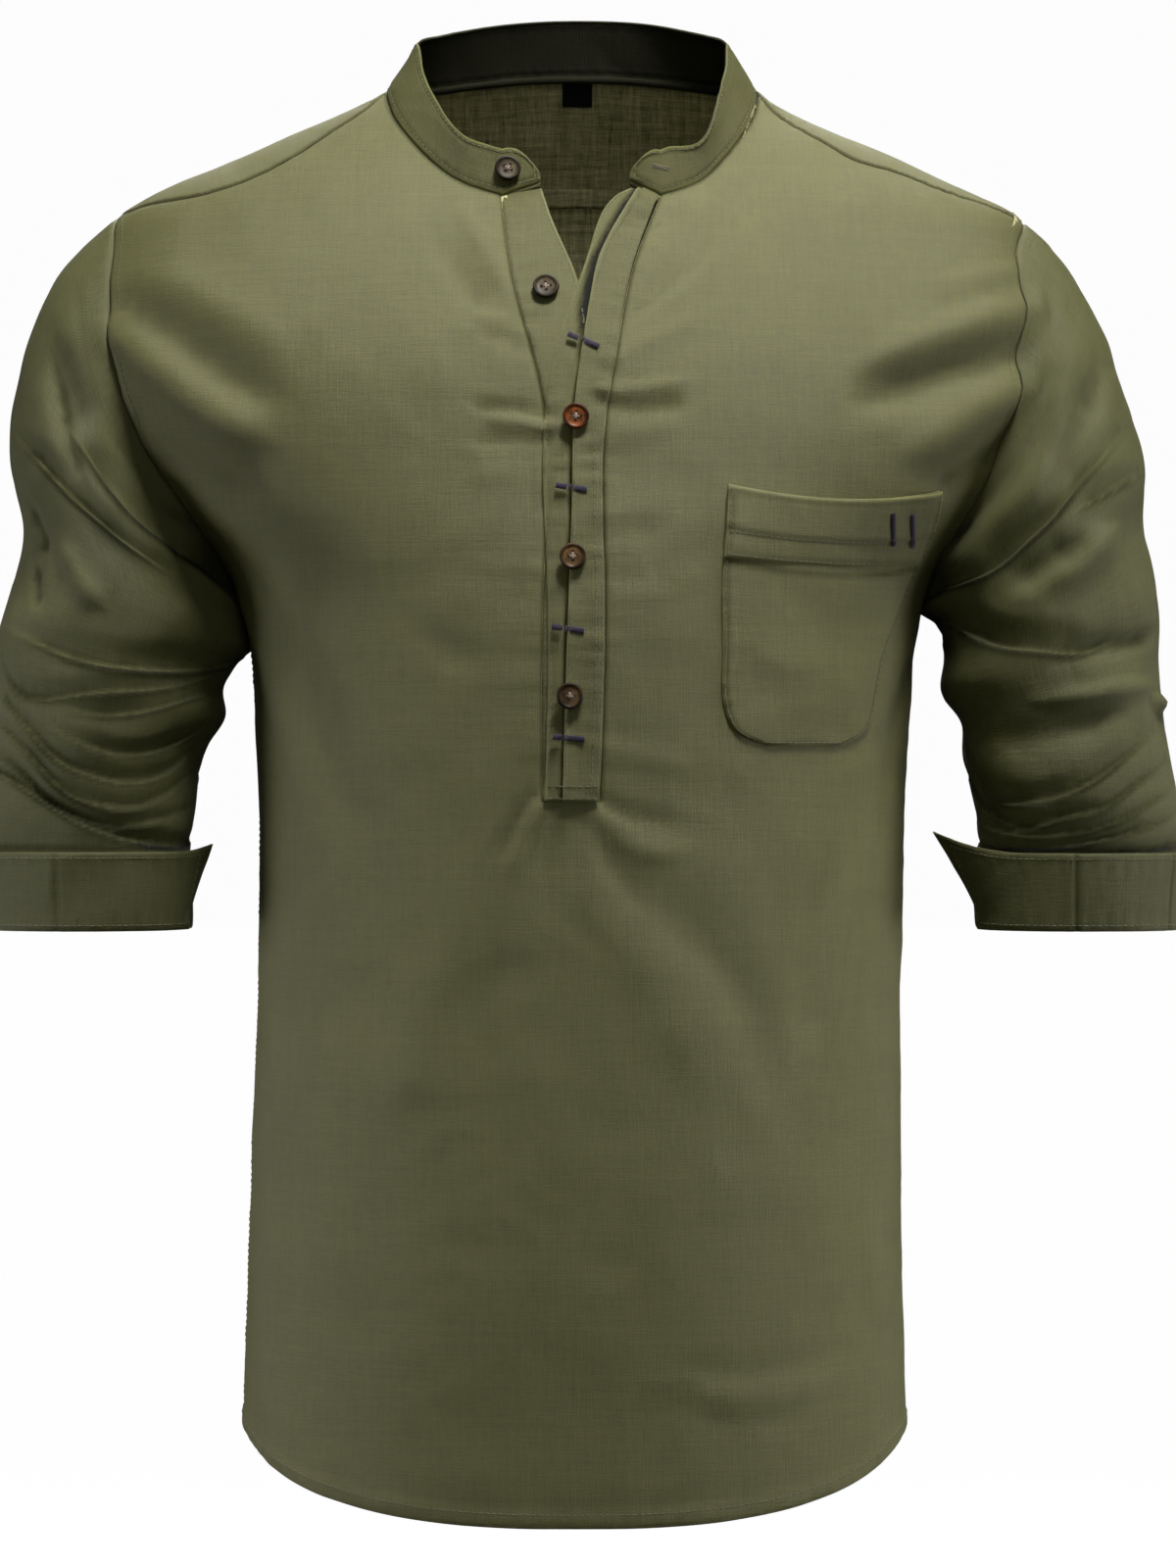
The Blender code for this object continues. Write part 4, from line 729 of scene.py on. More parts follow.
# ---- the sleeves' folds, as places (ring, degrees): 0 outer side, 90 front, 180 torso side, 270 back
SLEEVE_FOLDS = {
    LEFT: (
        Fold("ridge", 5.17, 11, 0.2, 0, ((2.3, 42), (2.5, 68), (2.6, 90))),
        Fold("ridge", 3.11, 4.5, 0.1, 0, ((2.6, 48), (2.9, 60), (3.4, 71), (4.0, 86))),
        Fold("roll", 3.97, 5.82, 0.1, 0.6, (
            (3.2, 66), (3.2, 88), (3.5, 103), (3.6, 120), (3.4, 137), (3.8, 156), (4.4, 182))),
        Fold("trough", 3.89, 8, 0.3, 0.3, ((3.7, 84), (4.0, 103), (4.1, 125))),
        Fold("roll", 2.87, 4.7, 0.2, 0, (
            (4.3, 26), (4.3, 47), (4.5, 70), (4.6, 88), (4.7, 104), (4.6, 126))),
        Fold("trough", 6.48, 12, 0.6, 0.2, ((0.3, 176), (1.2, 148), (3.0, 125))),
        Fold("ridge", 3.11, 6, 0, 0, ((5.4, 28), (5.8, 40), (6.3, 49))),
        Fold("ridge", 2.48, 5, 0, 0, ((6.3, 38), (6.8, 46), (7.3, 54))),
        Fold("trough", 2.81, 6, 0, 0, ((5.6, 56), (6.3, 70), (6.6, 90))),
        Fold("roll", 3.65, 6.05, 0.2, 0.4, (
            (7.9, 33), (8.0, 54), (8.2, 78), (8.1, 102), (7.7, 130), (7.0, 159), (6.4, 184))),
        Fold("roll", 2.54, 4.03, 0.1, 0.1, (
            (8.5, 28), (9.1, 41), (9.3, 60), (9.0, 86), (8.5, 119), (7.9, 140), (7.1, 160))),
        Fold("roll", 2.7, 4.03, 0.1, 0.2, ((9.4, 66), (9.5, 92), (9.3, 113), (8.6, 138), (8.0, 168))),
        Fold("roll", 2.38, 3.58, 0.1, 0.2, (
            (9.8, 63), (10.2, 85), (10.5, 110), (10.4, 129), (9.9, 147), (9.2, 160))),
        Fold("roll", 2.7, 3.81, 0.3, 0.2, (
            (9.4, 34), (10.0, 57), (10.6, 75), (11.0, 95), (11.2, 113), (11.1, 133), (10.8, 146),
            (10.1, 160))),
        Fold("roll", 2.23, 3.14, 0.3, 0.2, (
            (9.8, 26), (10.5, 59), (11.3, 81), (11.7, 102), (11.8, 121), (11.5, 141), (11.0, 164))),
        Fold("roll", 2.23, 3.14, 0.3, 0.3, (
            (10.3, 24), (10.9, 56), (11.4, 71), (11.9, 90), (12.2, 106), (12.2, 135), (11.8, 172))),
        Fold("roll", 2.87, 3.81, 0.4, 0.6, (
            (10.6, 10), (11.1, 51), (11.6, 72), (12.3, 96), (12.8, 122), (13.0, 182))),
        Fold("roll", 2.87, 4.93, 0.3, 0.3, (
            (11.3, 182), (10.4, 222), (9.8, 262), (10.0, 300), (10.7, 345))),
        Fold("roll", 2.7, 4.03, 0.4, 0.4, (
            (13.0, 178), (12.6, 215), (12.3, 262), (12.0, 310), (10.9, 368))),
        Fold("roll", 2.54, 3.81, 0.2, 0.2, (
            (12.2, 188), (11.8, 230), (11.4, 270), (11.3, 318), (10.6, 356))),
        Fold("roll", 3.34, 5.6, 0.3, 0.2, ((8.1, 188), (8.8, 230), (9.0, 272), (8.7, 320))),
        Fold("roll", 3.65, 6.05, 0.5, 0.1, ((6.4, 180), (7.2, 215), (7.6, 256), (7.3, 300), (6.9, 335))),
        Fold("roll", 3.34, 6.05, 0.5, 0.1, ((4.4, 180), (4.7, 215), (5.2, 250), (5.2, 290))),
        Fold("trough", 4.75, 10, 0.6, 0, ((2.2, 186), (2.6, 215), (3.0, 250), (3.4, 285))),
        Fold("ridge", 4.14, 12, 0.2, 0, ((1.7, 215), (2.0, 245), (2.2, 280), (2.4, 318))),
        Fold("trough", 3.24, 8, 0.2, 0, ((6.2, 262), (5.9, 300), (5.8, 340))),
        Fold("roll", 2.7, 4.7, 0.1, 0.1, ((6.2, 296), (6.4, 330), (6.9, 368))),
        Fold("ridge", 6.0, 16, 0.6, 0.2, ((0.6, 178), (1.6, 178), (2.6, 178), (4.2, 178))),
    ),
    RIGHT: (
        Fold("ridge", 5.0, 14, 0.6, 0.2, ((0.6, 178), (1.5, 178), (2.4, 178), (3.6, 178))),
        Fold("ridge", 5.17, 10, 0.2, 0, ((3.1, 30), (3.2, 53), (3.4, 75), (3.4, 99))),
        Fold("roll", 3.65, 5.6, 0.4, 0.5, (
            (4.2, 36), (4.2, 60), (4.2, 75), (4.3, 89), (4.3, 104), (4.3, 118), (4.1, 130),
            (3.5, 150), (3.1, 180))),
        Fold("roll", 2.38, 4.48, 0.6, 0, ((5.0, 28), (4.9, 50), (4.75, 66), (4.6, 82))),
        Fold("ridge", 3.31, 8, 0, 0, ((5.4, 70), (5.3, 95), (5.1, 120))),
        Fold("trough", 3.24, 8, 0.1, 0, ((5.6, 46), (5.9, 62), (6.0, 78), (5.9, 98))),
        Fold("trough", 4.32, 11, 0.2, 0.6, ((3.2, 60), (3.0, 92), (2.4, 124), (1.5, 150))),
        Fold("trough", 6.48, 12, 0.6, 0.4, ((0.6, 176), (1.8, 150), (3.2, 132))),
        Fold("roll", 3.97, 6.5, 0.4, 0.1, (
            (3.9, 176), (5.2, 154), (6.3, 136), (7.0, 121), (7.6, 102), (8.0, 86), (8.1, 70),
            (7.9, 48))),
        Fold("ridge", 3.11, 6, 0.2, 0.2, ((8.1, 92), (8.1, 69), (8.2, 45), (8.1, 25))),
        Fold("trough", 3.24, 6, 0.2, 0.2, ((8.9, 110), (9.0, 84), (9.0, 56), (9.1, 28))),
        Fold("trough", 3.89, 4, 0, 0, ((9.2, 36), (9.4, 24), (9.3, 12))),
        Fold("ridge", 2.69, 9, 0, 0, ((9.7, 150), (9.8, 118), (9.6, 84), (9.5, 52))),
        Fold("roll", 2.54, 4.26, 0.4, 0.2, (
            (10.0, 172), (11.2, 158), (11.6, 149), (11.7, 133), (11.6, 112), (11.3, 92), (10.9, 76),
            (10.4, 60), (9.9, 36))),
        Fold("roll", 2.06, 2.91, 0.5, 0.3, (
            (10.9, 184), (11.5, 169), (12.1, 146), (12.3, 121), (12.0, 101), (11.8, 83), (11.3, 64),
            (10.5, 28))),
        Fold("roll", 1.9, 2.69, 0.2, 0.2, (
            (12.1, 172), (12.5, 143), (12.6, 114), (12.4, 90), (11.8, 60), (11.1, 22))),
        Fold("roll", 2.06, 2.69, 0.3, 0.3, (
            (12.7, 178), (12.95, 140), (12.95, 108), (12.7, 84), (11.7, 22))),
        Fold("roll", 2.38, 2.91, 0.6, 0.6, ((13.0, 190), (13.3, 137), (13.3, 101), (13.2, 77), (12.7, 16))),
        Fold("roll", 2.87, 4.93, 0.3, 0.3, (
            (11.2, 184), (10.5, 226), (9.9, 264), (10.1, 304), (10.8, 346))),
        Fold("roll", 2.7, 3.81, 0.5, 0.5, (
            (13.0, 180), (12.7, 222), (12.4, 268), (12.2, 314), (11.5, 372))),
        Fold("roll", 2.54, 3.81, 0.2, 0.2, (
            (12.2, 190), (11.7, 232), (11.3, 276), (11.3, 322), (10.9, 356))),
        Fold("roll", 3.49, 5.6, 0.3, 0.2, ((8.2, 190), (8.7, 228), (9.0, 270), (8.6, 318), (8.3, 350))),
        Fold("roll", 3.65, 6.05, 0.5, 0.1, ((5.4, 180), (6.6, 214), (7.2, 252), (7.1, 296), (6.8, 330))),
        Fold("roll", 3.34, 6.05, 0.5, 0.1, ((3.4, 180), (4.3, 214), (4.8, 250), (4.9, 292), (4.8, 330))),
        Fold("trough", 4.75, 10, 0.6, 0, ((2.0, 188), (2.4, 216), (2.9, 250), (3.2, 288))),
        Fold("ridge", 4.14, 12, 0.2, 0, ((1.5, 216), (1.9, 246), (2.1, 280), (2.4, 316))),
        Fold("trough", 3.24, 8, 0.2, 0, ((6.0, 266), (5.8, 300), (5.7, 336))),
    ),
}


def torso_line(corners, back):
    """A fold's line on the torso, through its places in millimetres."""
    return on_torso(curve(np.asarray(corners, float) * MM), back)


def seam_lines():
    """The torso's seams and edges, as lines of points."""
    lines = {}
    for side, word in SIDES.items():
        for name, table, count in (
            ("shoulder", FRONT_SEAM, 60), ("neck", FRONT_NECK, 50), ("slot", SLOT, 110)
        ):
            lines[f"{name}_{word}"] = on_torso(places(table[side], count), False)
        lines["armhole_" + word] = armhole(side, np.linspace(-math.pi, math.pi, 241))
        heights = np.linspace(HEM[-1].front, ARMHOLE[side].under, 120) * MM
        width = section(np.full(len(heights), side), heights, False)[0]
        lines["side_" + word] = np.stack([side * width, 0 * heights, heights], axis=1)
    lines["yoke_back"] = on_torso(places(BACK_SEAM, 160), True)
    lines["neck_back"] = on_torso(places(BACK_NECK, 80), True)
    across = np.linspace(-HEM[-1].across, HEM[-1].across, 200) * MM
    for back, word in ((False, "front"), (True, "back")):
        heights = read(HEM, "across", word, np.abs(across))
        side = half_girth(across, heights, back)
        lines["hem_" + word] = torso_point(across * side / (HEM[-1].across * MM), heights, back)
    return lines


def on_torso(line, back):
    """Points of the torso cloth along a line of places."""
    return torso_at(line[:, 0], line[:, 1], back)


SEAMS = seam_lines()
# The last number of each seam is how much painted shade lies along it.
TORSO_SEAMS = (
    Seam(SEAMS["shoulder_left"], 1.0, 0.40, 8.5, 6, 11, 1.3),
    Seam(SEAMS["shoulder_right"], 1.0, 0.55, 9.5, 7, 12, 1.5),
    Seam(SEAMS["neck_left"], 0.6, 0.35, 8, 5, 13, 1.7),
    Seam(SEAMS["neck_right"], 0.6, 0.35, 8, 5, 14, 1.7),
    Seam(SEAMS["slot_left"], 0.7, 0.55, 10, 9, 15, 1.0),
    Seam(SEAMS["slot_right"], 0.7, 0.55, 10.5, 9, 16, 1.2),
    Seam(SEAMS["armhole_left"], 1.1, 0.50, 9, 7, 17, 0.7),
    Seam(SEAMS["armhole_right"], 1.1, 0.55, 9, 7, 18, 0.7),
    Seam(SEAMS["side_left"], 0.6, 0.50, 11, 8, 19, 0.5),
    Seam(SEAMS["side_right"], 0.6, 0.50, 11, 8, 20, 0.5),
    Seam(SEAMS["yoke_back"], 0.7, 0.45, 9, 7, 21, 0.8),
    Seam(SEAMS["neck_back"], 0.6, 0.30, 8, 5, 22, 1.2),
    Seam(SEAMS["hem_front"], 0.4, 0.45, 10, 6, 23),
    Seam(SEAMS["hem_back"], 0.4, 0.45, 10, 6, 24),
)
TORSO_FOLDS = [(fold, torso_line(fold.line, False)) for fold in FRONT_FOLDS]
TORSO_FOLDS += [(fold, torso_line(fold.line, True)) for fold in BACK_FOLDS]
TORSO_SEED = 3


def ripple(points, seed, high):
    """Low waves and shallow crumples all over the cloth."""
    soft = waves(points, seed, 0.090, 0.030)
    crumple = np.abs(waves(points, seed + 1, 0.060, 0.020)) - 0.6
    return (0.42 * soft - 0.30 * crumple) * high * MM


def torso_shift(points, normals):
    """How folds, seams and ripples move points of the torso's cloth."""
    shift = ripple(points, TORSO_SEED, 1.0)[:, None] * normals
    for seam in TORSO_SEAMS:
        shift += seam_height(points, seam)[:, None] * normals
    for fold, line in TORSO_FOLDS:
        shift += fold_shift(points, normals, fold, line)
    return shift


def worn(points, grid_shape, own=0.0):
    """Torso cloth with its folds, moved out by `own` more."""
    normals = outward(points)
    moved = points + torso_shift(points, normals) + normals * np.reshape(own, (-1, 1))
    return moved.reshape(*grid_shape, 3)


# ---- making meshes ------------------------------------------------------------------------------
SHADE = 0.5  # painted shade: how much darker the bottom of a hollow is, on the scale of the wear-and-shade tone
HOLLOW_FULL = 0.60 * MM  # depth of a hollow that is that dark
MERGE_STEP = 5e-6  # shared points of two grids agree to within this


def hollow(grid, closed):
    """How far each point of a grid lies below the places a few cells away on both sides."""
    around = np.roll(grid, 1, axis=1) - grid if closed else np.gradient(grid, axis=1)
    normal = np.cross(np.gradient(grid, axis=1) if not closed else -around, np.gradient(grid, axis=0))
    normal /= np.linalg.norm(normal, axis=2)[..., None] + 1e-12
    deep = np.zeros(grid.shape[:2])
    for cells in (1, 2, 3):
        if closed:
            sides = np.roll(grid, cells, axis=1) + np.roll(grid, -cells, axis=1)
        else:
            wide = np.pad(grid, ((0, 0), (cells, cells), (0, 0)), "edge")
            sides = wide[:, :-2 * cells] + wide[:, 2 * cells:]
            sides[:, :cells], sides[:, -cells:] = 2 * grid[:, :cells], 2 * grid[:, -cells:]
        tall = np.pad(grid, ((cells, cells), (0, 0), (0, 0)), "edge")
        ends = tall[:-2 * cells] + tall[2 * cells:]
        ends[:cells], ends[-cells:] = 2 * grid[:cells], 2 * grid[-cells:]
        deep += ((sides + ends - 4 * grid) * normal).sum(axis=2) / 4 / cells**0.5
    return deep / 2


def grid_faces(grid, uv, start, closed):
    """The quads of a grid whose points are numbered from `start`, and the cloth's places at their corners."""
    rows, columns = grid.shape[:2]
    index = start + np.arange(rows * columns).reshape(rows, columns)
    if closed:
        index = np.concatenate([index, index[:, :1]], axis=1)
    quads = [np.stack([at[:-1, :-1], at[:-1, 1:], at[1:, 1:], at[1:, :-1]], axis=2) for at in (index, uv)]
    return quads[0].reshape(-1, 4), quads[1].reshape(-1, 2)


def mesh_piece(name, grids, uvs, finish, closed=False, thick=CLOTH, wear_and_painted_shade=None, inside=None, shade=SHADE):
    """A cloth piece through grids of points, which may share the points of their edges."""
    points, faces, corners, tones, start = [], [], [], [], 0
    for n, (grid, uv) in enumerate(zip(grids, uvs)):
        # Painted shade: the cloth is darker at the bottom of its hollows.
        tone = -shade * np.clip(hollow(grid, closed) / HOLLOW_FULL, 0, 1) ** 1.5
        quads, places_there = grid_faces(grid, uv, start, closed)
        faces.append(quads)
        corners.append(places_there)
        points.append(grid.reshape(-1, 3))
        tones.append((tone + (0 if wear_and_painted_shade is None else wear_and_painted_shade[n])).reshape(-1))
        start += len(points[-1])
    points, faces, corners, tones = (np.concatenate(part) for part in (points, faces, corners, tones))
    if len(grids) > 1:
        spots = np.round(points / MERGE_STEP).astype(np.int64)
        _, keep, merged = np.unique(spots, axis=0, return_index=True, return_inverse=True)
        points, tones, faces = points[keep], tones[keep], merged.reshape(-1)[faces]
    data = bpy.data.meshes.new(name)
    data.from_pydata(points, [], faces)
    data.uv_layers.new(name="cloth").data.foreach_set("uv", corners.astype(np.float32).ravel())
    # One point attribute carries the pale worn edges and all the painted shade.
    data.attributes.new("wear_and_painted_shade", "FLOAT", "POINT").data.foreach_set("value", tones.astype(np.float32))
    data.shade_smooth()
    data.materials.append(finish)
    item = bpy.data.objects.new(name, data)
    bpy.context.scene.collection.objects.link(item)
    solid = item.modifiers.new("thickness", "SOLIDIFY")
    solid.thickness = thick
    solid.offset = -1
    solid.use_quality_normals = True
    if inside:
        data.materials.append(inside)
        solid.material_offset = 1
        solid.material_offset_rim = 1
    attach(item, "root")
    return item


def run_along(grid, axis):
    """Length of cloth from a grid's first row (axis 0) or first column (axis 1) to each of its points."""
    steps = np.linalg.norm(np.diff(grid, axis=axis), axis=2)
    first = np.zeros_like(grid[:1, :, 0] if axis == 0 else grid[:, :1, 0])
    return np.concatenate([first, np.cumsum(steps, axis=axis)], axis=axis)


def edge_gap(grid):
    """Distance of each point of a grid from its bottom, top, left and right edge, along the cloth."""
    up, over = run_along(grid, 0), run_along(grid, 1)
    return np.stack([up, up[-1] - up, over, over[:, -1:] - over])


def rounded(gap, deep, wide):
    """How far a folded edge turns in, at each distance from it. Depth and width are in millimetres."""
    return -deep * MM * bell(gap, wide * MM)


# ---- finishes -----------------------------------------------------------------------------------
OLIVE = (0.132, 0.129, 0.033)
SHEEN_TINT = (0.92, 0.90, 0.74, 1)
SHEEN_ROUGHNESS = 0.5

# Linen's unevenness: how many waves of noise there are in a metre, across the cloth and up it.
WARP, WEFT = (1150, 95, 1), (123.5, 1207.5, 1)
WIDE_WARP, WIDE_WEFT = (370, 22, 1), (19, 340, 1)
GRAIN, CLOUD = (1400, 1700, 1), (9, 7, 1)
THREAD_TONE, GRAIN_TONE, CLOUD_TONE = 1.6, 1.2, 0.12  # how much each changes the tone
# How much one unit of pale wear or painted shade changes the tone, and the least tone.
WEAR_AND_SHADE_TONE, LEAST_TONE = 0.42, 0.03
WEAVE_PITCH = 0.62 * MM
LINEN_BUMP, LINEN_RELIEF = 0.55, 0.42 * MM  # strength and depth of its bump
LINEN_ROUGH, THREAD_ROUGH = 0.47, 0.10
PAINTED_SHADE_ROUGH, PAINTED_SHADE_ROUGH_MOST = -0.45, 0.42  # cloth darkened by painted shade is made rougher, so that it shines less, up to this much


class Nodes:
    """Short names for building a material's nodes."""

    def __init__(self, name):
        self.made = bpy.data.materials.new(name)
        self.made.use_nodes = True
        self.tree = self.made.node_tree
        self.shader = self.tree.nodes["Principled BSDF"]

    def add(self, kind, **settings):
        """A new node with values for its sockets or its own settings."""
        node = self.tree.nodes.new(kind)
        for key, value in settings.items():
            if key in node.inputs:
                node.inputs[key].default_value = value
            else:
                setattr(node, key, value)
        return node

    def link(self, source, target):
        """Join two sockets."""
        self.tree.links.new(source, target)

    def maths(self, operation, first, second):
        """A sum or the like of sockets or numbers."""
        node = self.tree.nodes.new("ShaderNodeMath")
        node.operation = operation
        for socket, value in zip(node.inputs, (first, second)):
            if isinstance(value, (int, float)):
                socket.default_value = value
            else:
                self.link(value, socket)
        return node.outputs[0]

    def total(self, *terms, number=0.0):
        """Sum of sockets, each times its share, and of a number."""
        parts = [self.maths("MULTIPLY", socket, share) for socket, share in terms]
        whole = parts[0]
        for part in parts[1:]:
            whole = self.maths("ADD", whole, part)
        return self.maths("ADD", whole, number) if number else whole

    def stretched_noise(self, vector, scale, detail=3.0, rough=0.55):
        """Noise with its own number of waves along each axis."""
        mapping = self.add("ShaderNodeMapping", Scale=scale)
        self.link(vector, mapping.inputs["Vector"])
        noise = self.add("ShaderNodeTexNoise", Scale=1.0, Detail=detail, Roughness=rough)
        self.link(mapping.outputs["Vector"], noise.inputs["Vector"])
        return noise.outputs["Fac"]

    def tint(self, colour, tone):
        """Base colour: a colour, or a colour's socket, times a tone."""
        scaled = self.add("ShaderNodeVectorMath", operation="SCALE")
        if isinstance(colour, tuple):
            scaled.inputs[0].default_value = colour
        else:
            self.link(colour, scaled.inputs[0])
        self.link(tone, scaled.inputs["Scale"])
        self.link(scaled.outputs["Vector"], self.shader.inputs["Base Color"])

    def raised(self, height, strength, distance):
        """Fine relief, as a bump."""
        bump = self.add("ShaderNodeBump", Strength=strength, Distance=distance)
        self.link(height, bump.inputs["Height"])
        self.link(bump.outputs["Normal"], self.shader.inputs["Normal"])

    def even(self, **values):
        """Values that are the same all over, on the shader's own sockets."""
        for name, value in values.items():
            self.shader.inputs[name.replace("_", " ")].default_value = value


def linen(name, colour, slub=0.30, sheen=0.03, shine=0.80, coarse=0.5):
    """Plain-woven linen: uneven threads both ways, in tone and in height, from the cloth's own places."""
    nodes = Nodes(name)
    place = nodes.add("ShaderNodeUVMap", uv_map="cloth").outputs["UV"]
    threads = nodes.maths("ADD", *(nodes.stretched_noise(place, scale) for scale in (WARP, WEFT)))
    bands = nodes.maths(
        "ADD", *(nodes.stretched_noise(place, scale, 2.0) for scale in (WIDE_WARP, WIDE_WEFT)))
    grain = nodes.stretched_noise(place, GRAIN, 2.0)
    cloud = nodes.stretched_noise(place, CLOUD, 3.0)
    # Pale worn edges, and painted shade in hollows, creases, seams and under other parts.
    wear_and_painted_shade = nodes.add("ShaderNodeAttribute", attribute_name="wear_and_painted_shade").outputs["Fac"]
    average = slub * (THREAD_TONE + coarse + GRAIN_TONE / 2) + CLOUD_TONE / 2
    tone = nodes.total(
        (threads, slub * THREAD_TONE), (bands, slub * coarse), (grain, slub * GRAIN_TONE),
        (cloud, CLOUD_TONE), (wear_and_painted_shade, WEAR_AND_SHADE_TONE), number=1.0 - average)
    nodes.tint(colour, nodes.maths("MAXIMUM", tone, LEAST_TONE))
    separate = nodes.add("ShaderNodeSeparateXYZ")
    nodes.link(place, separate.inputs[0])
    over, up = (
        nodes.maths("SINE", nodes.maths("MULTIPLY", separate.outputs[axis], 2 * math.pi / WEAVE_PITCH), 0.0)
        for axis in "XY")
    weave = nodes.maths("MULTIPLY", over, up)
    nodes.raised(nodes.total((weave, 0.30), (threads, 0.85), (bands, 0.7)), LINEN_BUMP, LINEN_RELIEF)
    painted_shade_rough = nodes.maths("MAXIMUM", nodes.maths("MULTIPLY", wear_and_painted_shade, PAINTED_SHADE_ROUGH), 0.0)
    painted_shade_rough = nodes.maths("MINIMUM", painted_shade_rough, PAINTED_SHADE_ROUGH_MOST)
    rough = nodes.total((threads, THREAD_ROUGH), (painted_shade_rough, 1.0), number=LINEN_ROUGH)
    nodes.link(rough, nodes.shader.inputs["Roughness"])
    nodes.even(
        Specular_IOR_Level=shine, Sheen_Weight=sheen, Sheen_Roughness=SHEEN_ROUGHNESS, Sheen_Tint=SHEEN_TINT)
    return nodes.made


def thread(name, colour, rough=0.62):
    """Twisted sewing thread."""
    nodes = Nodes(name)
    place = nodes.add("ShaderNodeTexCoord").outputs["Object"]
    noise = nodes.stretched_noise(place, (900, 900, 900), 2.0)
    nodes.tint(colour, nodes.total((noise, 0.7), number=0.65))
    nodes.raised(nodes.stretched_noise(place, (5000, 5000, 5000), 1.0), 0.5, 0.1 * MM)
    nodes.even(Roughness=rough, Specular_IOR_Level=0.35, Sheen_Weight=0.15)
    return nodes.made


HORN_STOPS = (0.40, 0.54, 0.66)  # where its streaks are dark, middling and light, on the noise's scale
HORN_MIDDLE = 0.38  # share of the light colour in the middling one
RIM_DARK = 0.72


def horn(name, dark, light):
    """Polished brown horn-like button, with warm streaks and a darker rim."""
    nodes = Nodes(name)
    place = nodes.add("ShaderNodeTexCoord").outputs["Object"]
    streak = nodes.stretched_noise(place, (110, 170, 90), 4.0, 0.6)
    fleck = nodes.stretched_noise(place, (900, 420, 500), 3.0)
    ramp = nodes.add("ShaderNodeValToRGB")
    stops = ramp.color_ramp.elements
    stops[0].position, stops[1].position = HORN_STOPS[0], HORN_STOPS[2]
    stops[0].color, stops[1].color = (*dark, 1), (*light, 1)
    middle = tuple((1 - HORN_MIDDLE) * a + HORN_MIDDLE * b for a, b in zip(dark, light))
    stops.new(HORN_STOPS[1]).color = (*middle, 1)
    nodes.link(nodes.total((streak, 0.8), (fleck, 0.2)), ramp.inputs["Fac"])
    rim = nodes.add("ShaderNodeAttribute", attribute_name="rim").outputs["Fac"]
    nodes.tint(ramp.outputs["Color"], nodes.total((rim, -RIM_DARK), number=1.0))
    nodes.raised(fleck, 0.15, 0.2 * MM)
    nodes.link(nodes.total((fleck, 0.16), number=0.30), nodes.shader.inputs["Roughness"])
    nodes.even(Specular_IOR_Level=0.18)
    return nodes.made


CLOTH_FINISH = linen("olive_linen", OLIVE, coarse=0.8)
# The sleeves and cuffs are the same linen in darker copies: painted shade.
SLEEVE_FINISH = linen("olive_linen_sleeve_painted_shade", (0.119, 0.119, 0.040), shine=0.5, coarse=0.7)
CUFF_FINISH = linen("olive_linen_cuff_painted_shade", (0.098, 0.098, 0.032), shine=0.5, coarse=0.7)
# The collar band is the same linen made darker: painted shade.
BAND_FINISH = linen("olive_linen_band_painted_shade", tuple(0.72 * part for part in OLIVE), shine=0.4)
# The shirt's inside is the same linen made far paler: painted light.
INNER_FINISH = linen("olive_linen_inside_painted_light", (0.470, 0.450, 0.220), slub=0.85, shine=0.3, coarse=1.5)
# Near-black facing inside the collar band: painted shade.
BAND_INNER_FINISH = linen("band_facing_painted_shade", (0.022, 0.022, 0.011), slub=0.25, sheen=0.0, shine=0.1)
LABEL_FINISH = linen("black_tape", (0.008, 0.008, 0.011), slub=0.2, sheen=0.0, shine=0.2)
THREAD_FINISH = thread("olive_thread", (0.150, 0.147, 0.080))
TACK_FINISH = thread("plum_thread", (0.034, 0.026, 0.052), 0.5)
PALE_FINISH = thread("pale_thread", (0.33, 0.25, 0.19), 0.6)
BUTTON_FINISHES = {
    "button_collar": horn("horn_dark", (0.040, 0.030, 0.016), (0.150, 0.112, 0.060)),
    "button_1": horn("horn_amber", (0.050, 0.036, 0.018), (0.240, 0.170, 0.088)),
    "button_2": horn("horn_orange", (0.045, 0.020, 0.010), (0.560, 0.150, 0.025)),
    "button_3": horn("horn_brown", (0.050, 0.030, 0.014), (0.360, 0.200, 0.075)),
    "button_4": horn("horn_umber", (0.044, 0.028, 0.014), (0.270, 0.165, 0.080)),
}

# ---- torso panels -------------------------------------------------------------------------------
# Where pieces are cut from the flat cloth, in metres, so that no two show the same threads.
CUT = {
    "front": (0.0, 1.0), "back": (3.0, 1.0), "yoke": (6.0, 1.0), "sleeve": (8.0, 2.0), "cuff": (12, 0),
    "collar": (16, 0), "strip": (18.0, 1.0), "pocket": (24.0, 1.0), "label": (30.0, 1.0), "tapes": (32, 0),
}
ARM_PLACES = 200  # places along a stretch of armhole
SEAM_PLACES = 90
SIDE_PLACES = 150
YOKE_DEEP = 0.12  # length of the yoke's cloth over the shoulder, which sets its number of rows


def back_seam_turn(side):
    """Where the back yoke seam meets the armhole, as a turn round it."""
    shape = ARMHOLE[side]
    end = BACK_SEAM[0 if side == LEFT else -1].height
    return -math.acos((2 * end - shape.top - shape.under) / (shape.top - shape.under))


TIP_TURN = 0.05  # the front yoke seam meets the armhole this far round it, in radians
TIP_GAP_TURN = 0.002  # and the front panel's corner this much further round
HEM_THICK, HEM_DEEP, HEM_FADE = 0.5 * MM, 8.2 * MM, 1.6 * MM  # the turned-up hem: extra height, depth, edge


def arm_edge(side, first, last, back):
    """A stretch of armhole as places on a panel's cloth."""
    points = armhole(side, np.linspace(first, last, ARM_PLACES))
    return on_cloth(points[:, [0, 2]], back)


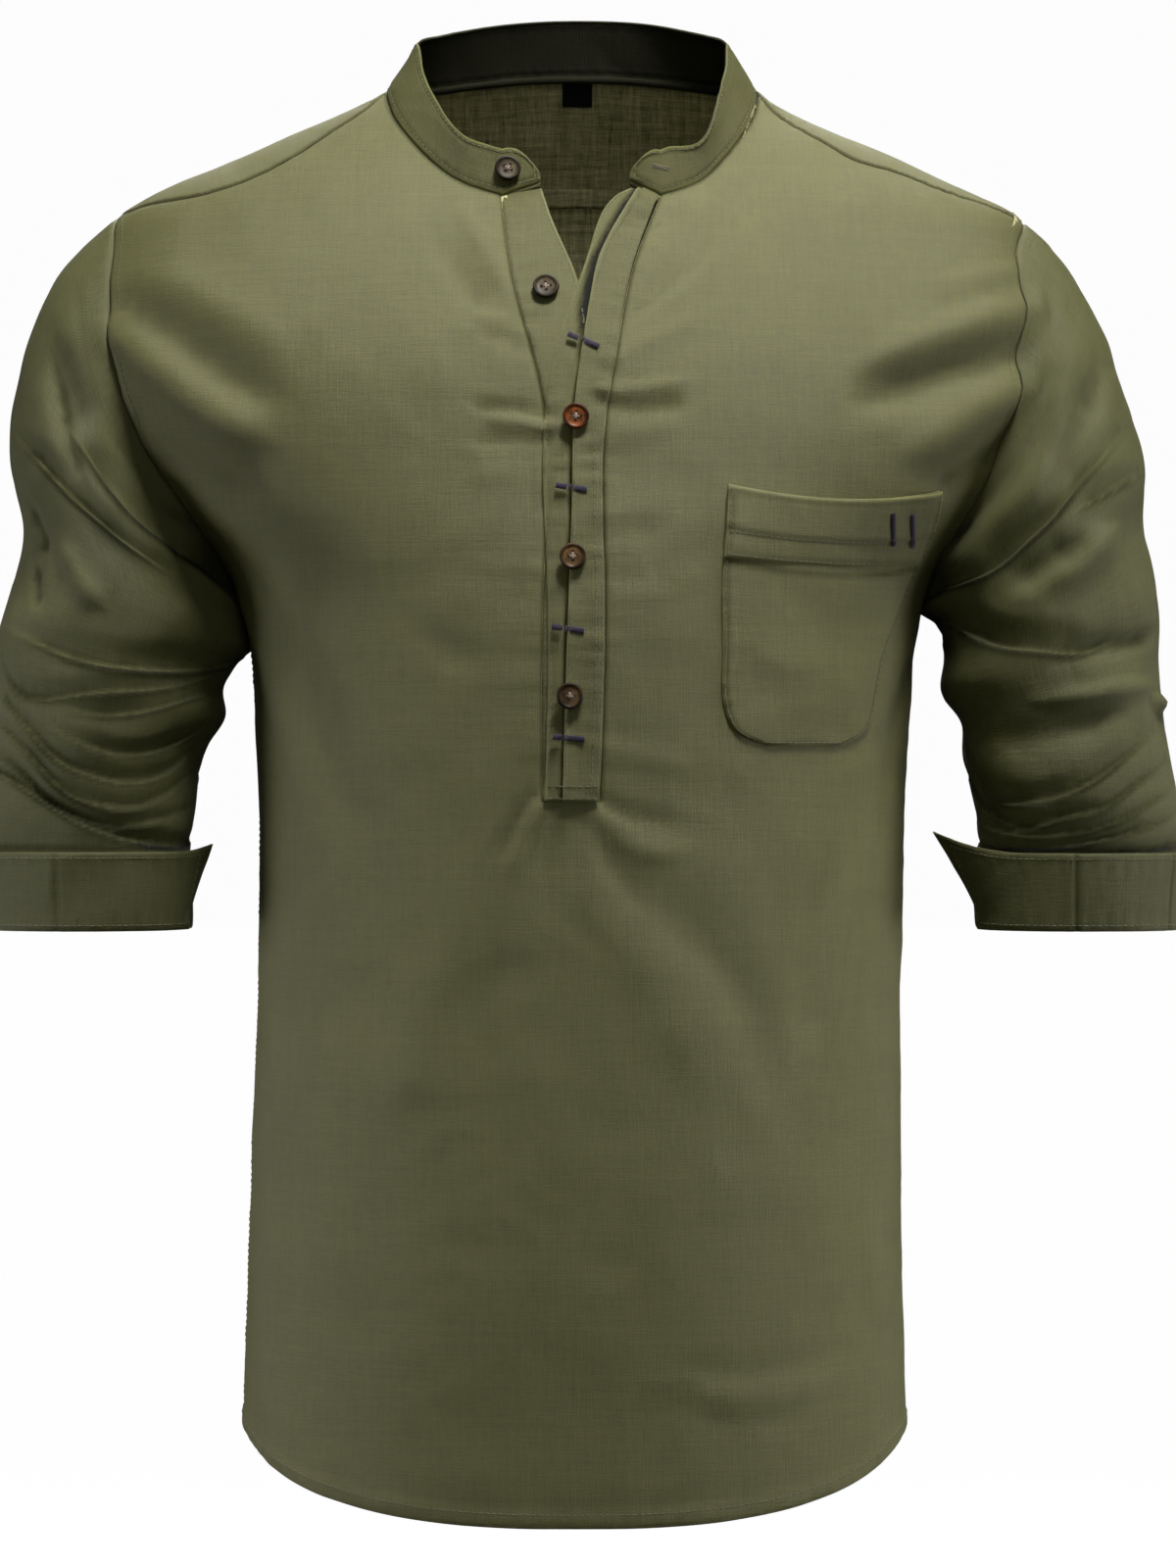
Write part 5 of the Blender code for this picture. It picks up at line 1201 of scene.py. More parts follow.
def hem_line(first, last, back, count=120):
    """The hem between two places across a panel."""
    across = np.linspace(first, last, count)
    heights = read(HEM, "across", "back" if back else "front", np.abs(across))
    return np.stack([across, heights], axis=1)


def side_edge(side, back):
    """Side seam from the hem to the underarm, and on up the armhole to the yoke seam."""
    heights = np.linspace(HEM[-1].front, ARMHOLE[side].under, SIDE_PLACES) * MM
    seam = np.stack([side * (half_girth(side, heights, back) - SEAM_GAP / 2), heights], axis=1)
    if back:
        arm = arm_edge(side, -math.pi, back_seam_turn(side), True)
    else:
        arm = arm_edge(side, math.pi, TIP_TURN + TIP_GAP_TURN, False)
    arm[0] = seam[-1]
    return np.concatenate([seam, arm[1:]]), runs(seam)[-1] / (runs(seam)[-1] + runs(arm)[-1])


def hem_turn(grid, back):
    """The turned-up hem is a little thicker than the cloth above its stitches."""
    foot = read(HEM, "across", "back" if back else "front", np.abs(grid[..., 0]))
    return HEM_THICK * smooth_step((HEM_DEEP - (grid[..., 1] - foot)) / HEM_FADE)


def front():
    """The front panel: a part on each side of the slit, and the strip of cloth below it that joins them."""
    grids, uvs, seam_painted_shades, below, knots = [], [], [], {}, None
    for side in (LEFT, RIGHT):
        outer, under = side_edge(side, False)
        slot = on_cloth(places(SLOT[side], SEAM_PLACES))[::-1] + [side * SEAM_GAP / 2, 0]
        seam = on_cloth(places(FRONT_SEAM[side], SEAM_PLACES, -side * SEAM_GAP / 2)[::-1])
        neck = on_cloth(places(FRONT_NECK[side], SEAM_PLACES))
        top = np.concatenate([seam, neck[1:]])
        top[0], top[-1] = outer[-1], slot[-1]
        foot = np.array([slot[0, 0], HEM[0].front * MM])
        lower = np.linspace(foot, slot[0], 60)
        inner = np.concatenate([lower[:-1], slot])
        bottom = hem_line(outer[0, 0], foot[0], False)
        outer[0], inner[0] = bottom[0], bottom[-1]
        if knots is None:
            height = runs(inner)[-1]
            low = runs(lower)[-1]
            knots = (low, under * height - low, (1 - under) * height)
        v = shares(*knots, cell=PANEL_CELL, sewn=[True, True, False, True])
        u = shares(runs(top)[-1])
        grid = patch(bottom, top, outer, inner, u, v)
        below[side] = read_along(inner, v[v <= knots[0] / sum(knots) + TINY])
        grids.append(grid if side == LEFT else grid[:, ::-1])
    share = shares(np.abs(below[LEFT][0, 0] - below[RIGHT][0, 0]), sewn=[False, False])[None, :, None]
    grids.append((1 - share) * below[LEFT][:, None] + share * below[RIGHT][:, None])
    made = []
    for grid in grids:
        flat = grid.reshape(-1, 2)
        points = torso_point(flat[:, 0], flat[:, 1])
        made.append(worn(points, grid.shape[:2], own=hem_turn(grid, False).reshape(-1)))
        # Painted shade along the seams.
        seam_painted_shades.append(seam_painted_shade(points).reshape(grid.shape[:2]))
        uvs.append(grid + CUT["front"])
    item = mesh_piece("cloth_front", made, uvs, CLOTH_FINISH, wear_and_painted_shade=seam_painted_shades, inside=INNER_FINISH)
    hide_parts("front")
    return item


def back():
    """The back panel."""
    left, under = side_edge(LEFT, True)
    right, _ = side_edge(RIGHT, True)
    top = on_cloth(places(BACK_SEAM, 2 * SEAM_PLACES, -SEAM_GAP / 2), True)
    top[0], top[-1] = left[-1] - [0, SEAM_GAP], right[-1] - [0, SEAM_GAP]
    left[-1], right[-1] = top[0], top[-1]
    bottom = hem_line(left[0, 0], right[0, 0], True, 240)
    left[0], right[0] = bottom[0], bottom[-1]
    height = runs(left)[-1]
    v = shares(under * height, (1 - under) * height, cell=PANEL_CELL, sewn=[True, False, True])
    u = shares(runs(top)[-1], cell=PANEL_CELL)
    grid = patch(bottom, top, left, right, u, v)[:, ::-1]
    flat = grid.reshape(-1, 2)
    points = torso_point(flat[:, 0], flat[:, 1], True)
    made = worn(points, grid.shape[:2], own=hem_turn(grid, True).reshape(-1))
    # Painted shade along the seams.
    wear_and_painted_shade = seam_painted_shade(points).reshape(grid.shape[:2])
    uv = grid + CUT["back"]
    item = mesh_piece("cloth_back", [made], [uv], CLOTH_FINISH, wear_and_painted_shade=[wear_and_painted_shade], inside=INNER_FINISH)
    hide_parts("back")
    return item


def plan(line, behind):
    """A line of places, seen from above."""
    return np.stack([line[:, 0], depth_at(line[:, 0], line[:, 1], behind)], axis=1)


def yoke():
    """The yoke, on a grid laid out as seen from above."""
    inner = np.concatenate([
        plan(places(FRONT_SEAM[LEFT], SEAM_PLACES, -SEAM_GAP / 2), False)[::-1],
        plan(places(BACK_NECK, SEAM_PLACES), True)[1:-1],
        plan(places(FRONT_SEAM[RIGHT], SEAM_PLACES, SEAM_GAP / 2), False),
    ])
    outer = plan(places(BACK_SEAM, 3 * SEAM_PLACES, SEAM_GAP / 2), True)
    left = armhole(LEFT, np.linspace(TIP_TURN, back_seam_turn(LEFT), 60))[:, :2]
    right = armhole(RIGHT, np.linspace(TIP_TURN, back_seam_turn(RIGHT), 60))[:, :2]
    inner[0], inner[-1], outer[0], outer[-1] = left[0], right[0], left[-1], right[-1]
    u, v = shares(runs(inner)[-1], cell=YOKE_CELL), shares(YOKE_DEEP, cell=YOKE_CELL)
    grid = patch(inner, outer, left, right, u, v)
    flat = grid.reshape(-1, 2)
    points = np.column_stack([flat, height_at(flat[:, 0], flat[:, 1])])
    made = worn(points, grid.shape[:2])
    uv = cloth_places(grid[..., 0] + CUT["yoke"][0], run_along(made, 0) + CUT["yoke"][1])
    # Painted shade along the seams.
    wear_and_painted_shade = seam_painted_shade(points).reshape(grid.shape[:2])
    item = mesh_piece("cloth_yoke", [made], [uv], CLOTH_FINISH, wear_and_painted_shade=[wear_and_painted_shade], inside=INNER_FINISH)
    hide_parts("yoke")
    return item


def cloth_places(over, up):
    """Places on the flat cloth, for each point of a grid."""
    return np.stack(np.broadcast_arrays(over, up), axis=2)


TAPES = (  # seam, and the tape's two edges in millimetres beside it
    ("shoulder_left", -7, 2), ("shoulder_right", -2, 7), ("yoke_back", -8, 2.5), ("side_left", -8, 2.5),
    ("side_right", -8, 2.5), ("armhole_left", -2.0, 8), ("armhole_right", -8, 2.0),
    ("slot_left", -7, 3), ("slot_right", -3, 7),
)
TAPE_CELL, TAPE_COLUMNS = 3.5 * MM, 6
TAPE_IN = 0.30 * MM  # a tape's distance from the cloth's inner side


def seam_tapes():
    """The turnings along the seams inside the shirt."""
    grids, uvs = [], []
    for name, first, last in TAPES:
        count = int(runs(SEAMS[name])[-1] / TAPE_CELL)
        line = read_along(SEAMS[name], np.linspace(0, 1, count))
        asides = np.linspace(first, last, TAPE_COLUMNS)
        base = np.stack([beside(line, aside) for aside in asides], axis=0)
        flat = base.reshape(-1, 3)
        normals = outward(flat)
        grids.append((flat + torso_shift(flat, normals) - normals * (CLOTH + TAPE_IN)).reshape(*base.shape))
        uvs.append(cloth_places(asides[:, None] * MM + CUT["tapes"][0], runs(line)[None] + len(uvs)))
    return mesh_piece("seam_turnings", grids, uvs, INNER_FINISH, thick=TAPE_WALL)


# ---- sleeves and cuffs --------------------------------------------------------------------------
SLEEVE_COLUMNS = 214
SLEEVE_CELL = 1.75 * MM
RUN_PLACES = 600  # places that measure a sleeve's length along its front
TURN_STEP = 0.01  # small step round and down a sleeve that finds its outward way
SLEEVE_SEEDS, CUFF_SEEDS, COLLAR_SEED = {LEFT: 39, RIGHT: 41}, {LEFT: 59, RIGHT: 61}, 70
TOUCH_UNTIL = {LEFT: 5.9, RIGHT: 3.6}  # ring down to which a sleeve rests against the torso
TOUCH_WIDE = 26  # degrees beside a sleeve's inner line that follow it there
TOUCH_PAST = 1.6 * MM  # how far that line goes past the torso's plain form
ARMPIT_SHADE = {LEFT: 1.9, RIGHT: 1.425}  # painted shade: how dark a sleeve is by the torso, on the scale of the wear-and-shade tone
CUFF_LINE_SHADE, CUFF_LINE_UP, CUFF_LINE_WIDE = 1.3, 2.0, 1.8  # the painted shadow line just above a cuff, in millimetres


def ring_points(side, ring, turns):
    """Points of the table's rings, between its rows and round them."""
    rings = SLEEVE[side]
    at = np.arange(len(rings))
    ends = {name: spline(at, column(rings, name), ring) for name in Ring._fields}
    across, ahead = outline(math.pi / 2 - turns, SLEEVE_BOXINESS)
    x = (ends["outer_x"] + ends["inner_x"]) / 2 + (ends["outer_x"] - ends["inner_x"]) / 2 * across
    z = (ends["outer_z"] + ends["inner_z"]) / 2 + (ends["outer_z"] - ends["inner_z"]) / 2 * across
    return np.stack([x, ends["middle_y"] - ends["half_y"] * ahead, z], axis=-1)


def sleeve_base(side, ring, turns):
    """Plain sleeve cloth: the armhole at ring 0, fading into the table's rings."""
    ring, turns = np.broadcast_arrays(np.asarray(ring, float), turns)
    fade = np.clip(ring / CAP_RINGS, 0, 1)
    fade = ((1 - fade) ** 2 * (1 + 2 * fade))[..., None]
    start = armhole(side, turns) + [side * SEAM_GAP, 0, 0]
    return ring_points(side, ring, turns) + fade * (start - ring_points(side, np.zeros_like(ring), turns))


def sleeve_normal(side, ring, turns):
    """The outward way of the plain sleeve."""
    round_way = sleeve_base(side, ring, turns + TURN_STEP) - sleeve_base(side, ring, turns - TURN_STEP)
    above = np.maximum(ring - TURN_STEP, 0)
    down = sleeve_base(side, ring + TURN_STEP, turns) - sleeve_base(side, above, turns)
    normal = np.cross(down, round_way) * side
    return normal / np.linalg.norm(normal, axis=-1)[..., None]


def sleeve_line(side, corners):
    """A line on the plain sleeve through places (ring, degrees)."""
    line = curve(np.asarray(corners, float) * [1, 0.1]) * [1, 10]
    return sleeve_base(side, line[:, 0], np.radians(line[:, 1]))


def sleeve_shift(side, ring, points, normals, toward_torso, tones):
    """How folds, the armhole seam and ripples move points of a sleeve; folds also paint shade into `tones`.
    """
    near_cap = 1 - smooth_step(ring / 3.0)
    blend = (1 - smooth_step(ring / 2.0))[:, None]
    out = blend * toward_torso + (1 - blend) * normals
    out /= np.linalg.norm(out, axis=1)[:, None]
    low = ripple(points, TORSO_SEED, 1.0) * near_cap
    low += ripple(points, SLEEVE_SEEDS[side], 1.7) * (1 - near_cap)
    shift = low[:, None] * out
    for seam in TORSO_SEAMS:
        if seam.line is SEAMS["armhole_" + SIDES[side]]:
            shift += seam_height(points, seam)[:, None] * out
    cap = near_cap > 0.001
    for fold, line in TORSO_FOLDS:
        shift[cap] += fold_shift(points[cap], out[cap], fold, line) * near_cap[cap, None]
    free = smooth_step(ring / 0.8)[:, None]
    for fold in SLEEVE_FOLDS[side]:
        shift += fold_shift(points, out, fold, sleeve_line(side, fold.line), tones) * free
    return shift


def from_inner_line(turns):
    """Degrees between a turn round a sleeve and its inner line, which faces the torso."""
    return np.abs(np.abs(np.degrees(turns)) - 180)


def armpit_shade(side, ring, turns):
    """Painted shade where a sleeve lies in the deep shade by the torso."""
    off = from_inner_line(turns)
    upper = (1 - smooth_step((off - 30) / 28)) * smooth_step(ring / 0.5)
    upper = upper * (1 - smooth_step((ring - 3.1) / 0.8))
    lower = (1 - smooth_step((off - 9) / 20)) * smooth_step((ring - 2.4) / 0.8)
    lower = lower * (1 - smooth_step((ring - 5.6) / 0.9))
    return ARMPIT_SHADE[side] * np.maximum(upper, lower)


def touch_torso(side, ring, turns, moved):
    """Bring the inner line of a sleeve against the torso's side, as far down as it rests there."""
    hold = bell(from_inner_line(turns), TOUCH_WIDE) * smooth_step(ring / 0.3)
    hold = hold * (1 - smooth_step((ring - TOUCH_UNTIL[side]) / 0.9))
    height = np.minimum(moved[..., 2], ARMHOLE[side].under * MM).reshape(-1)
    width = section(np.full(height.size, side), height, False)[0].reshape(ring.shape)
    gap = side * moved[..., 0] - width + TOUCH_PAST
    moved[..., 0] -= side * hold * np.maximum(gap, 0)
    return moved


def cuff_shade(side, height):
    """Painted shadow: the dark line on a sleeve just above its cuff."""
    return CUFF_LINE_SHADE * bell(height / MM - CUFF[side].top - CUFF_LINE_UP, CUFF_LINE_WIDE)


def sleeve(side):
    """A pushed-up sleeve, closed round the arm."""
    last = len(SLEEVE[side]) - 1
    turns = math.pi - 2 * math.pi * np.arange(SLEEVE_COLUMNS) / SLEEVE_COLUMNS
    fine = np.linspace(0, last, RUN_PLACES)
    front_run = runs(sleeve_base(side, fine, math.pi / 2 * np.ones(RUN_PLACES)))
    at = stretch(front_run[-1], SLEEVE_CELL, True, False)
    ring, turn = np.meshgrid(np.interp(at, front_run, fine), turns, indexing="ij")
    points = sleeve_base(side, ring, turn)
    normals = sleeve_normal(side, ring, turn)
    toward = np.broadcast_to(outward(armhole(side, turns))[None], points.shape)
    shape = points.shape[:2]
    flat = [array.reshape(-1, 3) for array in (points, normals, toward)]
    # Painted shade by the torso, and a painted shadow line above the cuff.
    tones = -armpit_shade(side, ring, turn).reshape(-1) - cuff_shade(side, flat[0][:, 2])
    moved = flat[0] + sleeve_shift(side, ring.reshape(-1), *flat, tones)
    moved, wear_and_painted_shade = touch_torso(side, ring, turn, moved.reshape(*shape, 3)), tones.reshape(shape)
    girth = np.linalg.norm(np.diff(points, axis=1), axis=2).sum(axis=1).mean()
    around = np.linspace(0, girth, SLEEVE_COLUMNS + 1)[None]
    uv = cloth_places(around + CUT["sleeve"][0] + 2 * side, CUT["sleeve"][1] - at[:, None])
    if side == RIGHT:
        moved, uv, wear_and_painted_shade = moved[:, ::-1], uv[:, ::-1], wear_and_painted_shade[:, ::-1]
    name = "cloth_sleeve_" + SIDES[side]
    item = mesh_piece(name, [moved], [uv], SLEEVE_FINISH, closed=True, wear_and_painted_shade=[wear_and_painted_shade], shade=0.9)
    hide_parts("sleeve_" + SIDES[side])
    return item


CUFF_COLUMNS = 176  # points round a cuff
FLAP_FROM = 0.2  # share of a cuff's height from which its free corner leaves the sleeve
FLAP_POWER = {LEFT: 1.0, RIGHT: 1.1}
CUFF_SEAMS = {LEFT: (78, -60), RIGHT: (40, 97)}  # degrees round the cuff at which its upright seams lie


def cuff_grid(side, angles, ups):
    """The plain form of a cuff, with the free corner of its overlapping end."""
    shape = CUFF[side]
    leaving = np.clip((angles - CUFF_CORNER_FROM[side]) / (CUFF_LAST - CUFF_CORNER_FROM[side]), 0, 1)
    across, ahead = outline(math.pi / 2 - np.radians(angles), SLEEVE_BOXINESS)
    rows = []
    for up in ups:
        flare = shape.flare * up
        lift = max(0.0, up - FLAP_FROM) / (1 - FLAP_FROM)
        corner = side * shape.corner_out * leaving**2 * lift ** FLAP_POWER[side]
        x = side * (shape.half_x + flare) * across - corner
        y = -(shape.half_y + flare) * ahead
        z = shape.foot + (shape.top - shape.foot + shape.corner_high * leaving**2) * up
        rows.append(np.stack([shape.middle_x + x, shape.middle_y + y, z], axis=1) * MM)
    return np.array(rows)


def grid_normals(grid, turned=1):
    """Unit normals of a grid that goes round something, pointing away from its middle."""
    normals = np.cross(np.gradient(grid, axis=1), np.gradient(grid, axis=0)) * turned
    normals = -normals if (normals * (grid - grid.mean(axis=(0, 1)))).sum() < 0 else normals
    return normals / np.linalg.norm(normals, axis=2)[..., None]


def cuff_height(grid, gaps, run, seam_gaps, seed):
    """How far ripples, rolled edges, puckers and seams raise a cuff's points."""
    height = ripple(grid.reshape(-1, 3), seed, 1.5).reshape(grid.shape[:2])
    height += rounded(gaps.min(axis=0), 0.55, 0.8)
    puckers = 0.22 * MM * np.sin(2 * math.pi * run / 0.0095 + 2 * np.sin(run * 90))[None, :]
    height += puckers * (bell(gaps[0] - 0.006, 0.006) + bell(gaps[1] - 0.006, 0.006))
    for away in seam_gaps:
        height -= 0.75 * MM * bell(away, 1.0 * MM)[None, :]
        height += 0.35 * MM * bell(away - 3 * MM, 2.2 * MM)[None, :]
    return height


def cuff_wear_and_painted_shade(angles, gaps, seam_gaps):
    """Paler edges of a cuff, its darker far end, and painted shade along its seams, on the scale of the
    wear-and-shade tone.
    """
    wear_and_painted_shade = 0.5 * bell(gaps[:1].min(axis=0), 0.9 * MM) + bell(gaps[2:].min(axis=0), 1.0 * MM)
    wear_and_painted_shade = wear_and_painted_shade + 0.5 * bell(gaps[1], 0.9 * MM) - 0.25 * smooth_step((angles - 96) / 40)[None, :]
    for away in seam_gaps:
        wear_and_painted_shade = wear_and_painted_shade - 0.9 * bell(away, 0.9 * MM)[None, :]
    return wear_and_painted_shade


def cuff(side):
    """A turned-back cuff."""
    angles = np.linspace(CUFF_FIRST, CUFF_LAST, CUFF_COLUMNS)
    high = (CUFF[side].top - CUFF[side].foot) * MM
    ups = stretch(high, STRIP_CELL) / high
    grid = cuff_grid(side, angles, ups)
    run = runs(grid[0])
    gaps = edge_gap(grid)
    seam_gaps = [np.abs(angles - degrees) / 360 * run[-1] for degrees in CUFF_SEAMS[side]]
    height = cuff_height(grid, gaps, run, seam_gaps, CUFF_SEEDS[side])
    moved = grid + height[..., None] * grid_normals(grid, -side)
    uv = cloth_places(run[None, :] + CUT["cuff"][0] + side, (ups * high)[:, None])
    wear_and_painted_shade = cuff_wear_and_painted_shade(angles, gaps, seam_gaps)
    if side == RIGHT:
        moved, uv, wear_and_painted_shade = moved[:, ::-1], uv[:, ::-1], wear_and_painted_shade[:, ::-1]
    item = mesh_piece("cloth_cuff_" + SIDES[side], [moved], [uv], CUFF_FINISH, thick=CUFF_WALL, wear_and_painted_shade=[wear_and_painted_shade])
    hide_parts("cuff_" + SIDES[side])
    return item, moved


# ---- collar -------------------------------------------------------------------------------------
END_PLACES = 12  # places along the band's end beyond the neckline
COLLAR_UP = 0.35 * MM


def collar_foot():
    """The collar's lower edge, from its left front end round the back to its right front end."""
    stretches = []
    for side in (LEFT, RIGHT):
        corner = FRONT_NECK[side][-1]
        steps = np.linspace(0, 1, END_PLACES)[:-1, None]
        places_there = (1 - steps) * np.array(BAND_END[side]) * MM + steps * np.array(corner) * MM
        neck = places(FRONT_NECK[side], SEAM_PLACES)[::-1]
        stretches.append(np.concatenate([on_torso(places_there, False), on_torso(neck, False)]))
    behind = on_torso(places(BACK_NECK, SEAM_PLACES), True)[1:-1]
    foot = np.concatenate([stretches[0], behind, stretches[1][::-1]])
    return foot * [COLLAR_INSET, COLLAR_INSET, 1] + [0, 0, COLLAR_UP]


def collar_rise(foot):
    """The way and distance from the band's foot to its full height, for each place along it."""
    run = np.gradient(foot[:, :2], axis=0)
    run /= np.linalg.norm(run, axis=1)[:, None]
    inward = np.stack([run[:, 1], -run[:, 0]], axis=1)
    sideways = np.abs(foot[:, 0]) / np.abs(foot[:, 0]).max()
    lean = BAND_LEAN_ENDS + (BAND_LEAN_SIDE - BAND_LEAN_ENDS) * sideways**2
    return np.column_stack([inward * lean[:, None], np.sqrt(BAND_HEIGHT**2 - lean**2)])


# Bends of the band: (distance along it from its left front end, lean outward at its top), millimetres.
COLLAR_BENDS = (
    (0, 0.2), (14, 0.4), (25, 1.4), (36, 3.0), (47, 3.4), (60, 2.2), (76, 1.0), (94, -0.4),
    (115, 0.4), (150, 0.5),
    (195, -0.6), (240, 0.5), (285, -0.4), (318, 0.6), (338, 1.0), (354, 2.6), (369, 4.6), (383, 6.4),
    (393, 7.0),
    (403, 4.4), (413, 1.6), (424, 0.4), (436, 0.2),
)
# Height of the band near its ends: (distance from the end in millimetres, share of the full height).
COLLAR_ENDS = {
    LEFT: (
        (0, 0.08), (2, 0.24), (4, 0.38), (7, 0.54), (11, 0.69), (15, 0.78), (20, 0.83), (32, 0.82),
        (44, 0.78),
        (58, 0.84), (76, 0.95), (95, 1.0)),
    RIGHT: (
        (0, 0.08), (2, 0.24), (4, 0.38), (7, 0.54), (11, 0.69), (15, 0.78), (20, 0.84), (26, 0.83),
        (34, 0.70),
        (42, 0.58), (50, 0.60), (60, 0.75), (72, 0.90), (85, 1.0)),
}


RISE_WINDOW, HEIGHT_WINDOW = 31, 9  # points over which the band's lean and height are evened out
TABLE_LENGTH = 0.436  # length of the band that the table of bends was made for
COLLAR_TUCK = (-3.2, -1.5, -0.5)  # millimetres below its foot line at which the band goes on under the cloth
TUCK_IN = 1.1 * MM


def evened(values, window):
    """Values evened out with a soft window over its number of neighbours."""
    return np.convolve(np.pad(values, len(window) // 2, "edge"), window, "valid")


def band_heights(at, length):
    """Share of the band's full height at each place along it."""
    from_end = np.minimum(at, length - at) / MM
    left, right = (np.interp(from_end, *np.transpose(COLLAR_ENDS[side])) for side in (LEFT, RIGHT))
    window = np.hanning(HEIGHT_WINDOW)
    return evened(np.where(at < length / 2, left, right), window[1:-1] / window.sum())


def band_shift(grid, gap, at, ups, length):
    """How far bends, ripples, the pressed edge and puckers move the band's points."""
    places_there, leans = np.transpose(COLLAR_BENDS) * MM
    bend = spline(places_there * length / TABLE_LENGTH, leans, at)
    height = ripple(grid.reshape(-1, 3), COLLAR_SEED, 1.2).reshape(grid.shape[:2])
    height += bend[None, :] * (ups[:, None] ** 1.6) + rounded(gap, 0.6, 0.8)
    height -= 0.30 * MM * bell(gap - 3.0 * MM, 0.9 * MM)
    puckers = 0.16 * MM * np.sin(2 * math.pi * at / 0.008 + 1.7 * np.sin(at * 80))[None, :]
    return height + puckers * bell(gap - 3 * MM, 2.4 * MM)


def collar():
    """The stand collar, with a little cloth tucked under its foot."""
    rough = collar_foot()
    length = runs(rough)[-1]
    at = stretch(length, COLLAR_CELL)
    foot = read_along(rough, at / length)
    window = np.hanning(RISE_WINDOW) / np.hanning(RISE_WINDOW).sum()
    rise = collar_rise(foot)
    rise = np.stack([evened(rise[:, i], window) for i in range(3)], axis=1)
    heights = band_heights(at, length)
    ups = stretch(BAND_HEIGHT, COLLAR_CELL) / BAND_HEIGHT
    grid = np.array([foot + up * rise * heights[:, None] for up in ups])
    normals = grid_normals(grid)
    gap = edge_gap(grid).min(axis=0)
    moved = grid + band_shift(grid, gap, at, ups, length)[..., None] * normals
    uv = cloth_places(at[None, :] + CUT["collar"][0], (ups * BAND_HEIGHT)[:, None])
    # Pale edges, and a painted shade line in the groove inside each edge.
    wear_and_painted_shade = 1.5 * bell(gap, 1.1 * MM) - 0.9 * bell(gap - 2.7 * MM, 0.9 * MM)
    tucked = np.array(COLLAR_TUCK) * MM / BAND_HEIGHT
    under = [moved[0] + up * rise - normals[0] * TUCK_IN * smooth_step(-up * 60) for up in tucked]
    whole = np.concatenate([np.array(under), moved])
    uv = np.concatenate([uv[:1] + [0, up * BAND_HEIGHT] for up in tucked] + [uv])
    wear_and_painted_shade = np.concatenate([wear_and_painted_shade[:1] * 0] * len(tucked) + [wear_and_painted_shade])
    item = mesh_piece(
        "cloth_collar_band", [whole[:, ::-1]], [uv[:, ::-1]], BAND_FINISH, thick=BAND_WALL,
        wear_and_painted_shade=[wear_and_painted_shade[:, ::-1]], inside=BAND_INNER_FINISH)
    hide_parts("collar_band")
    return item, moved, normals


# ---- placket and pocket -------------------------------------------------------------------------
STRIP_ROW = 2.1 * MM
STRIP_TUCK = 9 * MM  # length over which a strip's top end goes down under the collar


def strip(name, left, right, layer, node, own=None, free_left=False, free_right=False, under=None):
    """A placket strip between two lines of (across, height), lying on `layer` other strips."""
    v = shares(runs(left)[-1], cell=STRIP_ROW)
    left, right = read_along(left, v), read_along(right, v)
    width = np.linalg.norm(right - left, axis=1).mean()
    u = shares(width, cell=STRIP_CELL)[None, :, None]
    grid = (1 - u) * left[:, None] + u * right[:, None]
    flat = grid.reshape(-1, 2)
    points = torso_point(flat[:, 0], flat[:, 1])
    base = points.reshape(*grid.shape[:2], 3)
    gaps = edge_gap(base)
    free = [gaps[0]]
    if free_left:
        free.append(gaps[2])
    if free_right:
        free.append(gaps[3])
    gap = np.min(free, axis=0)
    lift = layer * LAYER_PITCH + rounded(gap, 0.5, 0.7)
    if own is not None:
        lift = lift + own(grid, gaps)
    tucked = (0.3 * layer - 1.1) * MM
    lift = tucked + (lift - tucked) * smooth_step(gaps[1] / STRIP_TUCK)
    made = worn(points, grid.shape[:2], own=lift.reshape(-1))
    # Pale free edges, a little darker all over, and painted shade near the top under the collar; `under` adds
    # more painted shade.
    wear_and_painted_shade = 1.2 * bell(gap, 0.8 * MM) - 0.15 - 0.5 * np.exp(-gaps[1] / (14 * MM))
    if under is not None:
        wear_and_painted_shade = wear_and_painted_shade + under(grid)
    uv = grid + CUT["strip"] + [layer, 0]
    item = mesh_piece(name, [made], [uv], CLOTH_FINISH, thick=STRIP_WALL, wear_and_painted_shade=[wear_and_painted_shade])
    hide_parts(node)
    return item, made


def fly_gape(grid, gaps):
    """The fly stands off a little along its free edge, above all near the neck."""
    open_neck = smooth_step((grid[..., 1] + 0.150) / 0.085)
    edge = np.exp(-gaps[2] / (7 * MM))
    turn = grid[..., 1] * 2 * math.pi
    draw = 0.25 * np.sin(turn / 0.034 + 0.8) + 0.2 * np.sin(turn / 0.021)
    return edge * (3.2 * open_neck + 1.0 + draw) * MM


def fly_hollow(grid, gaps):
    """The strip beneath is pressed in under the fly's edge."""
    return 0.8 * MM * fly_shadow(grid)


def fly_shadow(grid):
    """Painted shade beside the fly's edge: darker close by it, above all near the neck."""
    edge = np.interp(-grid[..., 1], -column(FLY_EDGE, "height", MM), column(FLY_EDGE, "x", MM))
    open_neck = smooth_step((grid[..., 1] + 0.145) / 0.025)
    away = edge - grid[..., 0] - (0.4 + 2.4 * open_neck) * MM
    wide = (0.8 + 1.1 * open_neck) * MM
    return -bell(np.maximum(away, 0), wide) * (1.5 + 0.7 * open_neck)


